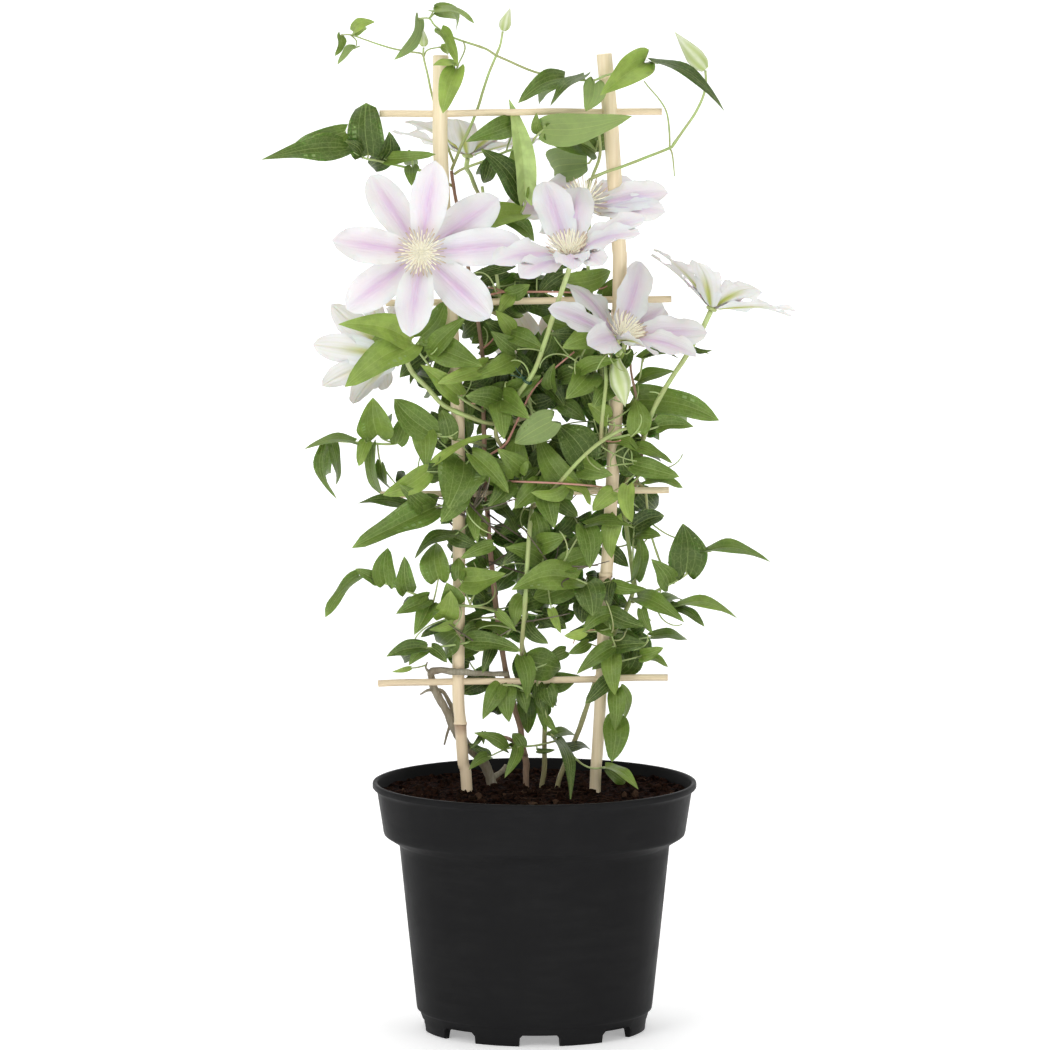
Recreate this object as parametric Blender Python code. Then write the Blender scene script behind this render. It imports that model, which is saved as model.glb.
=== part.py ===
"""Clematis in a nursery pot, trained on a bamboo trellis.

Metres, +Z up; the viewer stands on the -Y side. The origin is on the ground, under the middle of the pot.
The plant's places are in millimetres: (x, z, depth), where x and z are read on the trellis plane as the
viewer sees them, and depth is the distance behind that plane, or in front of it if negative.
"""

import math
import random

import bmesh
import bpy
import numpy as np
from mathutils.bvhtree import BVHTree

for held in list(bpy.data.objects):
    bpy.data.objects.remove(held)

MM = 0.001

# Driving sizes, in millimetres
RIM_RADIUS = 115.0
POT_HEIGHT = 177.0
WALL = 1.8
FOOT_RADIUS = 78.5
FOOT_HEIGHT = 8.6
FLOOR = 2.4
NOTCH_COUNT = 8
NOTCH_WIDTH = 37.0
NOTCH_HEIGHT = 8.0
SOIL_TOP = 169.0
SOIL_LUMP = 1.2
CANE_FOOT = 45.0
RUNG_RADIUS = 2.2
PITH_RADIUS = 2.0
PITH_DEPTH = 9.0
FIT = 0.3
GUARD = 0.45
BLADE = 0.8
STALK_HALF = 0.55
SHORT_STALK = 4.0
ROOT_INSET = 1.3
EYE = np.array([-6.75, -5500.0, 1002.0])

SHARP_ANGLE = 40.0
POT_SIDES = 28
SOIL_SIDES = 20
CANE_SIDES = 8
LEAF_STATIONS = (0.20, 0.52, 0.82)
SMALL_LEAF_STATIONS = (0.30, 0.72)
WIDE_LEAF = 17.0
SEPAL_STATIONS = (0.28, 0.58, 0.86)
REAR_SEPAL_STATIONS = (0.36, 0.80)


def at(x, z, depth=0.0):
    """The place, in mm, seen at x, z on the trellis plane, moved by depth along the line of sight."""
    seen = np.array([x, 0.0, z])
    return EYE + (seen - EYE) * (1 + depth / -EYE[1])


def unit(v):
    v = np.asarray(v, float)
    return v / np.linalg.norm(v)


# Materials

def finish(name, colour, roughness):
    made = bpy.data.materials.new(name)
    made.use_nodes = True
    shader = made.node_tree.nodes["Principled BSDF"]
    shader.inputs["Base Color"].default_value = (*colour, 1)
    shader.inputs["Roughness"].default_value = roughness
    shader.inputs["Metallic"].default_value = 0
    return made


def object_of(name, points, faces, material):
    """A mesh object from points in millimetres."""
    mesh = bpy.data.meshes.new(name)
    mesh.from_pydata([tuple(p * MM) for p in np.asarray(points, float)], [], faces)
    mesh.materials.append(material)
    made = bpy.data.objects.new(name, mesh)
    bpy.context.scene.collection.objects.link(made)
    return made


# Shapes, each as (points, faces) in millimetres

def lathe(profile, sides):
    """A profile of (radius, height), run up its outside, turned about Z; points on the axis become poles."""
    points, rings = [], []
    for r, z in profile:
        if r < 1e-6:
            rings.append([len(points)])
            points.append((0, 0, z))
            continue
        rings.append([len(points) + k for k in range(sides)])
        for k in range(sides):
            a = 2 * math.pi * k / sides
            points.append((r * math.cos(a), r * math.sin(a), z))
    faces = []
    for low, high in zip(rings, rings[1:] + rings[:1]):
        for k in range(sides):
            n = (k + 1) % sides
            if len(low) > 1 and len(high) > 1:
                faces.append((low[k], low[n], high[n], high[k]))
            elif len(low) > 1:
                faces.append((low[k], low[n], high[0]))
            elif len(high) > 1:
                faces.append((low[0], high[n], high[k]))
    return np.array(points, float), faces


def tube(path, radii, sides):
    """A closed tube along a path, its ring carried from point to point without twisting."""
    path = [np.asarray(p, float) for p in path]
    radii = np.interp(np.linspace(0, 1, len(path)), np.linspace(0, 1, len(radii)), radii)
    points, across = [], None
    for i, p in enumerate(path):
        ahead = unit(path[min(i + 1, len(path) - 1)] - path[max(i - 1, 0)])
        if across is None:
            across = unit(np.cross(ahead, (0.3, 1.0, 0.1)))
        across = unit(across - ahead * (across @ ahead))
        other = np.cross(ahead, across)
        for k in range(sides):
            a = 2 * math.pi * k / sides
            points.append(p + radii[i] * (math.cos(a) * across + math.sin(a) * other))
    faces = [tuple(range(sides - 1, -1, -1))]
    for i in range(len(path) - 1):
        for k in range(sides):
            n = (k + 1) % sides
            faces.append((i * sides + k, i * sides + n, (i + 1) * sides + n, (i + 1) * sides + k))
    last = (len(path) - 1) * sides
    faces.append(tuple(last + k for k in range(sides)))
    return np.array(points), faces


def ring_band(path, radius, sides):
    """A closed loop of cord along a path that returns to its start."""
    points, faces = [], []
    count = len(path)
    middle = np.mean(path, axis=0)
    for i, p in enumerate(path):
        ahead = unit(path[(i + 1) % count] - path[i - 1])
        up = unit(np.cross(ahead, p - middle))
        out = np.cross(up, ahead)
        for k in range(sides):
            a = 2 * math.pi * k / sides
            points.append(p + radius * (math.cos(a) * out + math.sin(a) * up))
    for i in range(count):
        for k in range(sides):
            n, j = (k + 1) % sides, (i + 1) % count
            faces.append((i * sides + k, i * sides + n, j * sides + n, j * sides + k))
    return np.array(points), faces


def leaf_outline(u):
    """Half width of a leaflet along its midrib, as a share of its most: broad by the stalk, then a point."""
    return np.sin(np.pi * np.asarray(u, float) ** 0.62) ** 0.95


def sepal_outline(u):
    """Half width of a sepal: a narrow claw, widest past the middle, with a short point."""
    return np.sin(np.pi * (0.12 + 0.88 * np.asarray(u, float)) ** 1.12) ** 0.8


def blade_frame(base, tip, roll, facing):
    """Length, and the directions along, across and out of a blade turned from facing by roll degrees."""
    along = tip - base
    length = np.linalg.norm(along)
    along = along / length
    face = unit(facing - along * (facing @ along))
    across = np.cross(along, face)
    if across @ np.array([0.3 * np.sign(base[0] + 0.1), 0.0, 1.0]) < 0:
        across = -across
    turn = math.radians(roll)
    out = face * math.cos(turn) + across * math.sin(turn)
    return length, along, np.cross(along, out), out


def leaf_surface(base, tip, width, roll, u, v):
    """The leaflet's middle surface: u runs from stalk to tip, v from edge to edge.

    The blade arches, folds a little at the midrib, waves at its edges, and has two round lobes by the stalk.
    """
    length, along, across, out = blade_frame(base, tip, roll, np.array([0.0, -1.0, 0.15]))
    u, v = np.broadcast_arrays(np.asarray(u, float), np.asarray(v, float))
    half = width / 2 * leaf_outline(u)
    phase = 1.7 * base[0] + 0.9 * base[2]
    lobe = 0.10 * length * v**2 * (1 - u) ** 4
    rise = 0.11 * length * np.sin(np.pi * u) + 0.10 * half * np.abs(v)
    wave = 0.16 * half * np.abs(v) ** 1.5 * np.sin(7.5 * u + phase + 0.8 * v)
    return (
        base
        + along * (u * length - lobe)[..., None]
        + across * (v * half)[..., None]
        + out * (rise + wave)[..., None]
    )


def sepal_surface(centre, tip, width, axis, cup, u, v):
    """A sepal's middle surface, bowed by cup times its length towards the flower's axis."""
    along = tip - centre
    length = np.linalg.norm(along)
    along = along / length
    out = unit(axis - along * (axis @ along))
    across = np.cross(along, out)
    u, v = np.broadcast_arrays(np.asarray(u, float), np.asarray(v, float))
    half = width / 2 * sepal_outline(u)
    phase = 0.13 * tip[0] + 0.07 * tip[2]
    rise = cup * length * np.sin(np.pi * u) + 0.10 * half * v**2
    wave = 0.10 * half * np.abs(v) ** 2 * np.sin(8 * u + phase + 1.5 * v)
    return (
        centre
        + along * (u * length)[..., None]
        + across * (v * half)[..., None]
        + out * (rise + wave)[..., None]
    )


def blade(surface, stations, thick):
    """A thin closed blade from a surface function: sharp at its edges, and thick at its midrib."""
    u = np.array(stations)
    base, end = surface(0.0, 0.0), surface(1.0, 0.0)
    return strip(base, surface(u, -1.0), surface(u, 0.0), surface(u, 1.0), end, thick)


def stalked_blade(root, surface, stations, thick):
    """A blade whose base runs on as a thin stalk to the root. At a sharp turn the stalk is its own rod."""
    u = np.array(stations)
    left, middle, right = surface(u, -1.0), surface(u, 0.0), surface(u, 1.0)
    base, end = surface(0.0, 0.0), surface(1.0, 0.0)
    if np.linalg.norm(base - root) > SHORT_STALK:
        if unit(base - root) @ unit(middle[0] - base) < 0.5:
            rod = tube([root, base, surface(0.14, 0.0)], [STALK_HALF + 0.1, STALK_HALF], 3)
            return [blade(surface, stations, thick), rod]
        side = unit(right[0] - left[0]) * STALK_HALF
        left, right = np.vstack([base - side, left]), np.vstack([base + side, right])
        middle = np.vstack([base, middle])
    return [strip(root, left, middle, right, end, thick)]


def strip(first, left, middle, right, last, thick):
    """A closed strip with a flat rhombic section at each station and a point at both ends."""
    out = np.cross(right - left, last - first)
    out = out / np.linalg.norm(out, axis=1)[:, None]
    n = len(left)
    points = np.vstack([first, last, left, right, middle + out * thick / 2, middle - out * thick / 2])
    a, b, l, r, t, d = 0, 1, 2, 2 + n, 2 + 2 * n, 2 + 3 * n
    faces = []
    for side, flip in ((t, False), (d, True)):
        half = [(a, side, l), (a, r, side)]
        for i in range(n - 1):
            half += [
                (l + i, side + i, l + i + 1), (l + i + 1, side + i, side + i + 1),
                (side + i, r + i, side + i + 1), (side + i + 1, r + i, r + i + 1),
            ]
        half += [(b, l + n - 1, side + n - 1), (b, side + n - 1, r + n - 1)]
        faces += [f[::-1] if flip else f for f in half]
    return points, faces


def bud_shape(base, tip, radius, sides):
    """A pointed bud: a profile swollen near its stalk, turned about the line from base to tip."""
    axis = tip - base
    steps = (0.0, 0.12, 0.35, 0.62, 0.85)
    shares = (0.42, 0.86, 1.0, 0.62, 0.24)
    path = [base + axis * s for s in steps]
    points, faces = tube(path, [radius * s for s in shares], sides)
    faces = faces[:-1]
    last = len(points) - sides
    points = np.vstack([points, tip])
    faces += [(last + k, last + (k + 1) % sides, len(points) - 1) for k in range(sides)]
    return points, faces


# Joining and clearance

def outward(shape):
    """The shape with its faces pointing out, from the sign of its volume."""
    points, faces = shape
    volume = 0.0
    for f in faces:
        for i in range(1, len(f) - 1):
            volume += np.dot(points[f[0]], np.cross(points[f[i]], points[f[i + 1]]))
    return (points, [f[::-1] for f in faces]) if volume < 0 else shape


def boolean(target, operation, shapes, solver):
    """One Boolean of the target with a collection of shapes, applied; the shapes are then removed."""
    group = bpy.data.collections.new("operands")
    bpy.context.scene.collection.children.link(group)
    for shape in shapes:
        points, faces = outward(shape)
        piece = object_of("operand", points, faces, target.data.materials[0])
        bpy.context.scene.collection.objects.unlink(piece)
        group.objects.link(piece)
    change = target.modifiers.new("join", "BOOLEAN")
    change.operation = operation
    change.operand_type = "COLLECTION"
    change.collection = group
    change.solver = solver
    bpy.context.view_layer.update()
    graph = bpy.context.evaluated_depsgraph_get()
    result = bpy.data.meshes.new_from_object(target.evaluated_get(graph))
    target.modifiers.remove(change)
    old = target.data
    target.data = result
    bpy.data.meshes.remove(old)
    for piece in list(group.objects):
        bpy.data.objects.remove(piece)
    bpy.data.collections.remove(group)


def fused(name, shapes, material, solver="MANIFOLD"):
    """One solid from overlapping shapes; the first is the body that the rest grow from."""
    points, faces = outward(shapes[0])
    made = object_of(name, points, faces, material)
    if len(shapes) > 1:
        boolean(made, "UNION", shapes[1:], solver)
        keep_main_body(made)
    return made


def keep_main_body(made):
    """Keeps the largest closed surface: this fills pockets that the union closed in, and drops crumbs."""
    work = bmesh.new()
    work.from_mesh(made.data)
    seen, bodies = set(), []
    for first in work.faces:
        if first in seen:
            continue
        body, waiting = [], [first]
        seen.add(first)
        while waiting:
            face = waiting.pop()
            body.append(face)
            for edge in face.edges:
                for other in edge.link_faces:
                    if other not in seen:
                        seen.add(other)
                        waiting.append(other)
        bodies.append(body)
    bodies.sort(key=len)
    spare = [face for body in bodies[:-1] for face in body]
    bmesh.ops.delete(work, geom=spare, context="FACES")
    work.to_mesh(made.data)
    work.free()


def tree_of(shape):
    points, faces = shape
    return BVHTree.FromPolygons([tuple(p) for p in points], faces)


class Space:
    """What is already placed, for telling whether a new shape is clear of it."""

    def __init__(self):
        self.held = []

    def add(self, node, shape):
        points = shape[0]
        self.held.append((node, points.min(0), points.max(0), tree_of(shape)))

    def hits(self, shape, node):
        """The first node other than this one that the shape crosses, or None."""
        low, high = shape[0].min(0), shape[0].max(0)
        tree = None
        for other, near, far, held in self.held:
            if other == node or (near > high).any() or (far < low).any():
                continue
            if tree is None:
                tree = tree_of(shape)
            if held.overlap(tree):
                return other
        return None


space = Space()

# Materials of the part

BLACK_PLASTIC = finish("black_plastic", (0.018, 0.018, 0.019), 0.42)
PEAT = finish("peat", (0.060, 0.032, 0.024), 0.95)
BAMBOO = finish("bamboo", (0.72, 0.57, 0.40), 0.55)
OLD_WOOD = finish("old_wood", (0.32, 0.26, 0.19), 0.85)
BROWN_BARK = finish("brown_bark", (0.30, 0.15, 0.10), 0.7)
GREEN_STEM = finish("green_stem", (0.33, 0.45, 0.14), 0.5)
LEAF_GREEN = finish("leaf_green", (0.10, 0.20, 0.03), 0.45)
YOUNG_GREEN = finish("young_green", (0.20, 0.33, 0.05), 0.45)
PETAL = finish("petal", (0.86, 0.83, 0.87), 0.5)
CREAM = finish("cream", (0.82, 0.76, 0.50), 0.6)
BUD_GREEN = finish("bud_green", (0.62, 0.70, 0.42), 0.5)
TIE_GREEN = finish("tie_green", (0.03, 0.09, 0.05), 0.4)


# Pot and soil

LIP_TURN = 3.2
POT_OUTSIDE = (
    (FOOT_RADIUS, 0.0), (80.0, 7.0), (82.0, 13.6), (83.6, 14.6), (96.0, 132.0), (106.8, 139.5),
    (107.8, 143.0),
    (111.8, 171.0), (RIM_RADIUS, 173.2), (RIM_RADIUS, POT_HEIGHT - 1.0), (RIM_RADIUS - 1.2, POT_HEIGHT),
)
NOTCH_TURN = math.radians(2.6)
INSIDE_HEIGHTS = (143.0, 139.0, 133.0, FOOT_HEIGHT + FLOOR + 6.0)


def pot_inside_radius(z):
    """The inner wall's radius at a height: the outer wall less its thickness."""
    heights = [p[1] for p in POT_OUTSIDE]
    radii = [p[0] for p in POT_OUTSIDE]
    return float(np.interp(z, heights, radii)) - WALL


def pot():
    inside = [(RIM_RADIUS - LIP_TURN, POT_HEIGHT)]
    for z in (171.0,) + INSIDE_HEIGHTS:
        inside.append((pot_inside_radius(z) - 0.3, z))
    floor = FOOT_HEIGHT + FLOOR
    inside += [(76.0, floor), (0.0, floor)]
    underside = [(0.0, FOOT_HEIGHT), (FOOT_RADIUS - 4.5, FOOT_HEIGHT), (FOOT_RADIUS - 3.0, 0.0)]
    points, faces = lathe(underside + list(POT_OUTSIDE) + inside, POT_SIDES)
    made = object_of("pot", points, faces, BLACK_PLASTIC)
    boolean(made, "DIFFERENCE", [foot_notch(k) for k in range(NOTCH_COUNT)], "EXACT")
    return made


def foot_notch(k):
    """An arch through the foot ring, wide outside and narrow inside."""
    turn = 2 * math.pi * k / NOTCH_COUNT - math.pi / 2 + NOTCH_TURN
    out = np.array([math.cos(turn), math.sin(turn), 0.0])
    side = np.array([-math.sin(turn), math.cos(turn), 0.0])
    points = []
    for radius, half in ((FOOT_RADIUS - 9.0, NOTCH_WIDTH * 0.22), (FOOT_RADIUS + 6.0, NOTCH_WIDTH * 0.5)):
        points.append(out * radius - side * half + (0, 0, -4.0))
        points.append(out * radius + side * half + (0, 0, -4.0))
        points.append(out * radius + side * half + (0, 0, NOTCH_HEIGHT - 2.5))
        points.append(out * radius + side * (half - 2.5) + (0, 0, NOTCH_HEIGHT))
        points.append(out * radius - side * (half - 2.5) + (0, 0, NOTCH_HEIGHT))
        points.append(out * radius - side * half + (0, 0, NOTCH_HEIGHT - 2.5))
    faces = [(0, 1, 2, 3, 4, 5), (11, 10, 9, 8, 7, 6)]
    for i in range(6):
        j = (i + 1) % 6
        faces.append((j, i, i + 6, j + 6))
    return np.array(points), faces


def soil(holes):
    """Peat filling the pot, lumpy on top, with a plain hole for each stem that stands in it."""
    draw = random.Random(7)
    floor = FOOT_HEIGHT + FLOOR + FIT
    profile = [(0.0, floor), (75.0, floor)]
    for z in INSIDE_HEIGHTS[::-1]:
        profile.append((pot_inside_radius(z) - 1.1, z))
    profile.append((pot_inside_radius(SOIL_TOP) - 1.4, SOIL_TOP - 2.0))
    for share in (0.90, 0.62, 0.34):
        profile.append((pot_inside_radius(SOIL_TOP) * share, SOIL_TOP))
    profile.append((0.0, SOIL_TOP))
    points, faces = lathe(profile, SOIL_SIDES)
    for p in points:
        if p[2] > SOIL_TOP - 1.0:
            p[2] += draw.uniform(-SOIL_LUMP, SOIL_LUMP)
            p[:2] *= draw.uniform(0.985, 1.015)
    made = object_of("soil", points, faces, PEAT)
    boolean(made, "DIFFERENCE", holes, "EXACT")
    return made


# Trellis. Each cane is (x, z, radius) up its middle; each rung is its left end and its right end.

CANES = {
    "cane_left": (
        (-44.5, CANE_FOOT, 4.0), (-48.0, 171.0, 4.0), (-50.5, 190.0, 4.1), (-52.3, 214.5, 4.2),
        (-52.5, 218.0, 4.9),
        (-52.7, 221.5, 4.2), (-54.0, 240.0, 4.3), (-53.7, 300.0, 4.4), (-53.5, 340.0, 4.5),
        (-54.0, 430.0, 4.7),
        (-56.0, 464.0, 4.8), (-56.3, 467.5, 5.4), (-56.6, 471.0, 4.8), (-62.0, 550.0, 5.1),
        (-66.0, 620.0, 5.3),
        (-66.5, 650.0, 5.4), (-66.0, 692.0, 5.5),
    ),
    "cane_right": (
        (39.0, CANE_FOOT, 4.0), (43.0, 171.0, 4.0), (44.8, 200.0, 4.1), (47.0, 240.0, 4.2),
        (50.0, 320.0, 4.4),
        (50.4, 323.5, 5.0), (50.8, 327.0, 4.4), (52.5, 350.0, 4.5), (57.5, 440.0, 4.8), (60.0, 540.0, 5.0),
        (59.3, 560.0, 5.1), (55.3, 620.0, 5.3), (53.0, 650.0, 5.4), (48.7, 693.0, 5.5),
    ),
}
RUNGS = {
    "rung_low": ((-111.0, 246.7), (94.5, 251.0)),
    "rung_second": ((-109.0, 381.0), (95.0, 385.0)),
    "rung_third": ((-105.0, 517.5), (96.5, 520.5)),
    "rung_top": ((-109.0, 651.3), (89.5, 653.0)),
}


def rung_shape(ends, radius, reach=0.0):
    (x0, z0), (x1, z1) = ends
    a, b = at(x0 - reach, z0), at(x1 + reach, z1)
    return tube([a, b], [radius, radius], 8)


def cane_path(points):
    return [at(x, z) for x, z, _ in points], [r for _, _, r in points]


def tube_with(path, radii, sides):
    """A tube with a radius of its own at each point of the path."""
    points, faces = tube(path, [1.0], sides)
    for i, (p, r) in enumerate(zip(path, radii)):
        ring = points[i * sides : (i + 1) * sides]
        ring[:] = p + (ring - p) * r
    return points, faces


def cane(name):
    path, radii = cane_path(CANES[name])
    points, faces = tube_with(path, radii, CANE_SIDES)
    made = object_of(name, points, faces, BAMBOO)
    top, below = path[-1], path[-2]
    down = unit(below - top)
    cutters = [rung_shape(ends, RUNG_RADIUS + FIT, 5.0) for ends in RUNGS.values()]
    cutters.append(tube([top + down * PITH_DEPTH, top - down * 5], [PITH_RADIUS, PITH_RADIUS], 8))
    boolean(made, "DIFFERENCE", cutters, "EXACT")
    space.add(name, (points, faces))
    return path, radii


def soil_hole(path, radii, sides):
    """The hole in the soil for a stem: its own shape, wider by the fit, from just below its foot."""
    foot = path[0] - unit(path[1] - path[0]) * FIT
    return tube_with([foot] + list(path[1:]), [r + FIT for r in radii], sides)


# Stems. Each path is (x, z, depth) points with the radius at its start and end.

STEMS = {
    "stem_old_wood": (OLD_WOOD, 5, (
        (4.4, 1.7, ((-28, 140, 28), (-30, 173, 24), (-36, 190, 19), (-45, 200, 14), (-53, 208, 10.5),
                    (-58, 218, 8.5), (-63, 228, 7.5), (-68, 237, 7), (-71, 243, 6.8), (-72.5, 249, 6.2),
                    (-73.5, 254.5, 3), (-68, 256.5, -3), (-60, 255.6, -7.2), (-50, 255, -7.4),
                    (-42, 254.2, -5),
                    (-32, 253.8, -1), (-18, 253.6, 0))),
        (2.0, 1.4, ((-47, 202, 13), (-52, 214, 14), (-58, 228, 13), (-64, 240, 10), (-70, 243, 7))),
        (1.3, 0.6, ((-71, 242, 7), (-76, 242, 4), (-81, 239, 1))),
        (1.3, 0.6, ((-59, 219, 8.5), (-62, 211, 11), (-64, 203, 13))),
        (1.2, 0.5, ((-73.5, 254, 3), (-77, 258, 0), (-76, 262, -3))),
        (2.6, 1.6, ((-32, 178, 22), (-24, 183, 26), (-20, 188, 31))),
    )),
    "stem_brown": (BROWN_BARK, 5, (
        (2.4, 1.2, ((-5, 138, 25), (-6, 172, 22), (-6, 190, 20), (-8, 200, 18), (-10, 215, 16),
                    (-14, 230, 14),
                    (-18, 245, 12), (-22, 265, 10), (-27, 300, 10), (-32, 350, 10), (-35, 400, 10),
                    (-36, 440, 9),
                    (-36, 470, 8), (-37, 483, 8), (-37.3, 486, 8), (-40, 505, 8), (-48, 550, 8),
                    (-56, 594, 9),
                    (-57, 600, 9), (-58.6, 611, 9))),
        (0.9, 0.6, ((-36, 408, 9), (-28, 412, -2), (-20, 418, -4), (-15, 428, -5), (-8, 443, -5),
                    (-2, 455, -6),
                    (8, 466, -7), (28, 483, -8))),
        (0.9, 0.5, ((-37, 485, 8), (-31, 490, 8), (-28, 494, 7))),
        (0.8, 0.6, ((-42, 514, 8), (-36, 521, 5.5), (-25, 525, 4.6), (-10, 525.5, 3), (10, 525.5, 1),
                    (30, 525, 0))),
        (1.8, 0.9, ((-6, 195, 19), (-12, 203, 12), (-20, 208, 6), (-30, 209, 3))),
    )),
    "vine_middle": (GREEN_STEM, 5, (
        (1.9, 1.2, ((5, 140, 33), (5, 171, 30), (7, 185, 26), (7, 205, 20), (7, 220, 16), (3, 235, 12),
                    (0, 245, 9),
                    (-5, 262, 6.5), (-9, 275, 6.5), (-7, 285, 6.5), (-6, 300, 6.5), (-6, 325, 7),
                    (-4, 350, 8),
                    (-2, 370, 8), (0, 385, 8), (1, 405, 8), (0, 430, 8), (-4, 448, 8), (-10, 470, 8),
                    (-18, 490, 8), (-23, 510, 8), (-25, 525, 9), (-28, 545, 9), (-33, 575, 9),
                    (-37, 600, 9))),
        (1.5, 1.9, ((1, 405, 8), (-8, 408, 5), (-20, 413, 1), (-27, 423, -3), (-25, 434, -8), (-10, 455, -15),
                    (0, 470, -19), (8, 492, -27), (13, 508, -36), (17, 520, -44), "bloom_middle")),
        (1.4, 1.9, ((-1, 438, 8), (-14, 434, 4), (-30, 432, -1), (-44, 436, -8.8), (-64, 445, -9.4),
                    (-75, 457, -10),
                    (-86, 468, -13), "bloom_left")),
        (1.3, 1.7, ((-22, 507, 8), (-32, 512, 4), (-44, 516, -4), (-54, 521, -9.6), (-64, 529, -12),
                    (-72, 540, -22), "bloom_front")),
        (1.3, 1.7, ((-35, 588, 9), (-38, 592, 14), (-42, 600, 26), (-45, 608, 44), "bloom_top")),
        (1.3, 1.6, ((-4, 447, 8), (-3, 453, 15), (2, 462, 16), "bloom_back")),
    )),
    "vine_right": (GREEN_STEM, 5, (
        (1.9, 1.1, ((16, 140, 32), (16, 171, 26), (22, 190, 22), (32, 215, 18), (42, 245, 14), (55, 280, 11),
                    (66, 302, 10), (70, 318, 9), (66, 350, 9), (63, 370, 9.5), (59, 388, 10), (54, 402, 10),
                    (50, 415, 9), (48, 430, 9), (48, 455, 9.5), (46, 480, 10.5), (42, 510, 13), (38, 540, 17),
                    (36, 562, 20), (34, 585, 22), (40, 605, 18), (46, 622, 14), (45, 640, 13))),
        (1.4, 1.9, ((60.5, 383, 9.5), (66, 393, 7), (72, 408, 2), (77, 421, -2), (82, 437, -6), (88, 450, -8),
                    (97, 465, -9), (107, 480, -10), (118, 499, -11), "bloom_right")),
        (1.2, 1.6, ((36, 560, 20), (38, 566, 15), (38.5, 574, 12), "bloom_behind")),
        (1.2, 1.7, ((46.5, 474, 10), (48, 478, 4), (49, 481, -8), "bloom_low_right")),
        (1.2, 1.5, ((46, 488, 10.5), (48, 497, 3), (54, 500, -7), (62, 496, -15), (63.5, 489, -17),
                    (61, 483, -17.5), (57.6, 479.6, -18))),
        (1.1, 0.6, ((60, 385, 9.8), (65, 386.5, 10), (72, 389.5, 8), (78, 385, 5), (80, 370, 3), (82, 355, 2),
                    (88, 336, 1), (91, 330, 0), (90, 318, -1), (88, 308, -2))),
    )),
    "stem_right_brown": (BROWN_BARK, 4, (
        (1.2, 0.8, ((65.6, 372, 9.6), (70, 385, 12.5), (74.5, 402, 9), (76.5, 420, 6), (74, 440, 3),
                    (71, 455, 0),
                    (68, 470, -1), (67, 488, -2))),
    )),
}
TWIST_TIE = ((-10, 455, -15), (0, 470, -19), 1.9, 0.45)

# Blooms: the receptacle, the axis it faces along, the sepals' length, how much they bow, then each sepal as
# (x, z, side, width): where its tip is seen, and whether it lies on the near side (-1) or the far side (1).

BLOOMS = {
    "bloom_front": ((-80, 553, -45), (0.0, -1.0, 0.10), 68, 0.03, 15, (
        (-70, 618, -1, 27), (-25, 592, 1, 29), (-8, 560, -1, 27), (-31, 507, 1, 30), (-88, 494, -1, 27),
        (-133, 513, 1, 28), (-142.5, 562, -1, 26), (-116, 608, 1, 26))),
    "bloom_top": ((-47, 622, 64), (0.08, 0.26, 0.96), 58, 0.05, 8, ("ring", 75, 10, 8, 24)),
    "bloom_middle": ((24.5, 549, -56), (0.0, -0.62, 0.78), 66, 0.08, 12, (
        (6, 604, 1, 28), (32, 600, 1, 26), (78, 578, -1, 27), (74, 567, -1, 24), (48, 545, -1, 24),
        (27, 541.5, -1, 26), (-10, 536, -1, 25), (-30, 546, -1, 28))),
    "bloom_behind": ((36, 586, -2), (-0.15, -0.85, 0.5), 64, 0.05, 8, (
        (97, 596, -1, 24), (84, 604, 1, 26), (8, 603, 1, 22), (-24, 584, 1, 24), (92, 582, -1, 22),
        (4, 570, 1, 22))),
    "bloom_right": ((125, 514, -10), (0.40, 0.18, 0.90), 62, 0.05, 8, ("ring", 71, 25, 8, 25)),
    "bloom_low_right": ((58, 492, -28), (0.62, -0.6, 0.5), 64, 0.07, 10, (
        (10, 514, -1, 22), (22, 531, 1, 24), (71, 533, 1, 27), (98, 518, 1, 24), (122, 497, 1, 26),
        (114, 480, -1, 26), (84, 482, -1, 22), (38, 488, -1, 24))),
    "bloom_left": ((-97, 480, -12), (-0.6, 0.79, 0.08), 61, 0.04, 4, ("ring", 42, -5, 8, 22)),
    "bloom_back": ((6, 471, 30), (0.02, 0.97, 0.23), 58, 0.03, 4, ("ring", 40, 22, 7, 20)),
}
RECEPTACLE = 4.2
RECEPTACLE_BACK = 2.2
RECEPTACLE_FRONT = 3.0
STALK_NECK = 7.0
CLAW = 2.0
HEAD_RADIUS = 3.0
HEAD_HEIGHT = 5.0
STAMEN_RADIUS = 0.55
STAMEN_LENGTH = 13.0
OUTER_EXTRA = 6.5

# Buds: base, tip, radius.

BUDS = {
    "bud_top": ((-22.2, 709.6, 3.0), (-17, 726, 1), 4.5),
    "bud_small": ((-78, 698.4, 1.5), (-78, 710.5, 1), 3.7),
    "bud_right": ((119.8, 682.4, -2), (98, 709, -4), 7.0),
    "bud_nodding": ((57.4, 478.0, -18), (64, 444, -22), 7.6),
}

# Leafy shoots. Stems as above, then leaflets: base (x, z, depth), tip (x, z, depth), width, roll.

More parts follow.
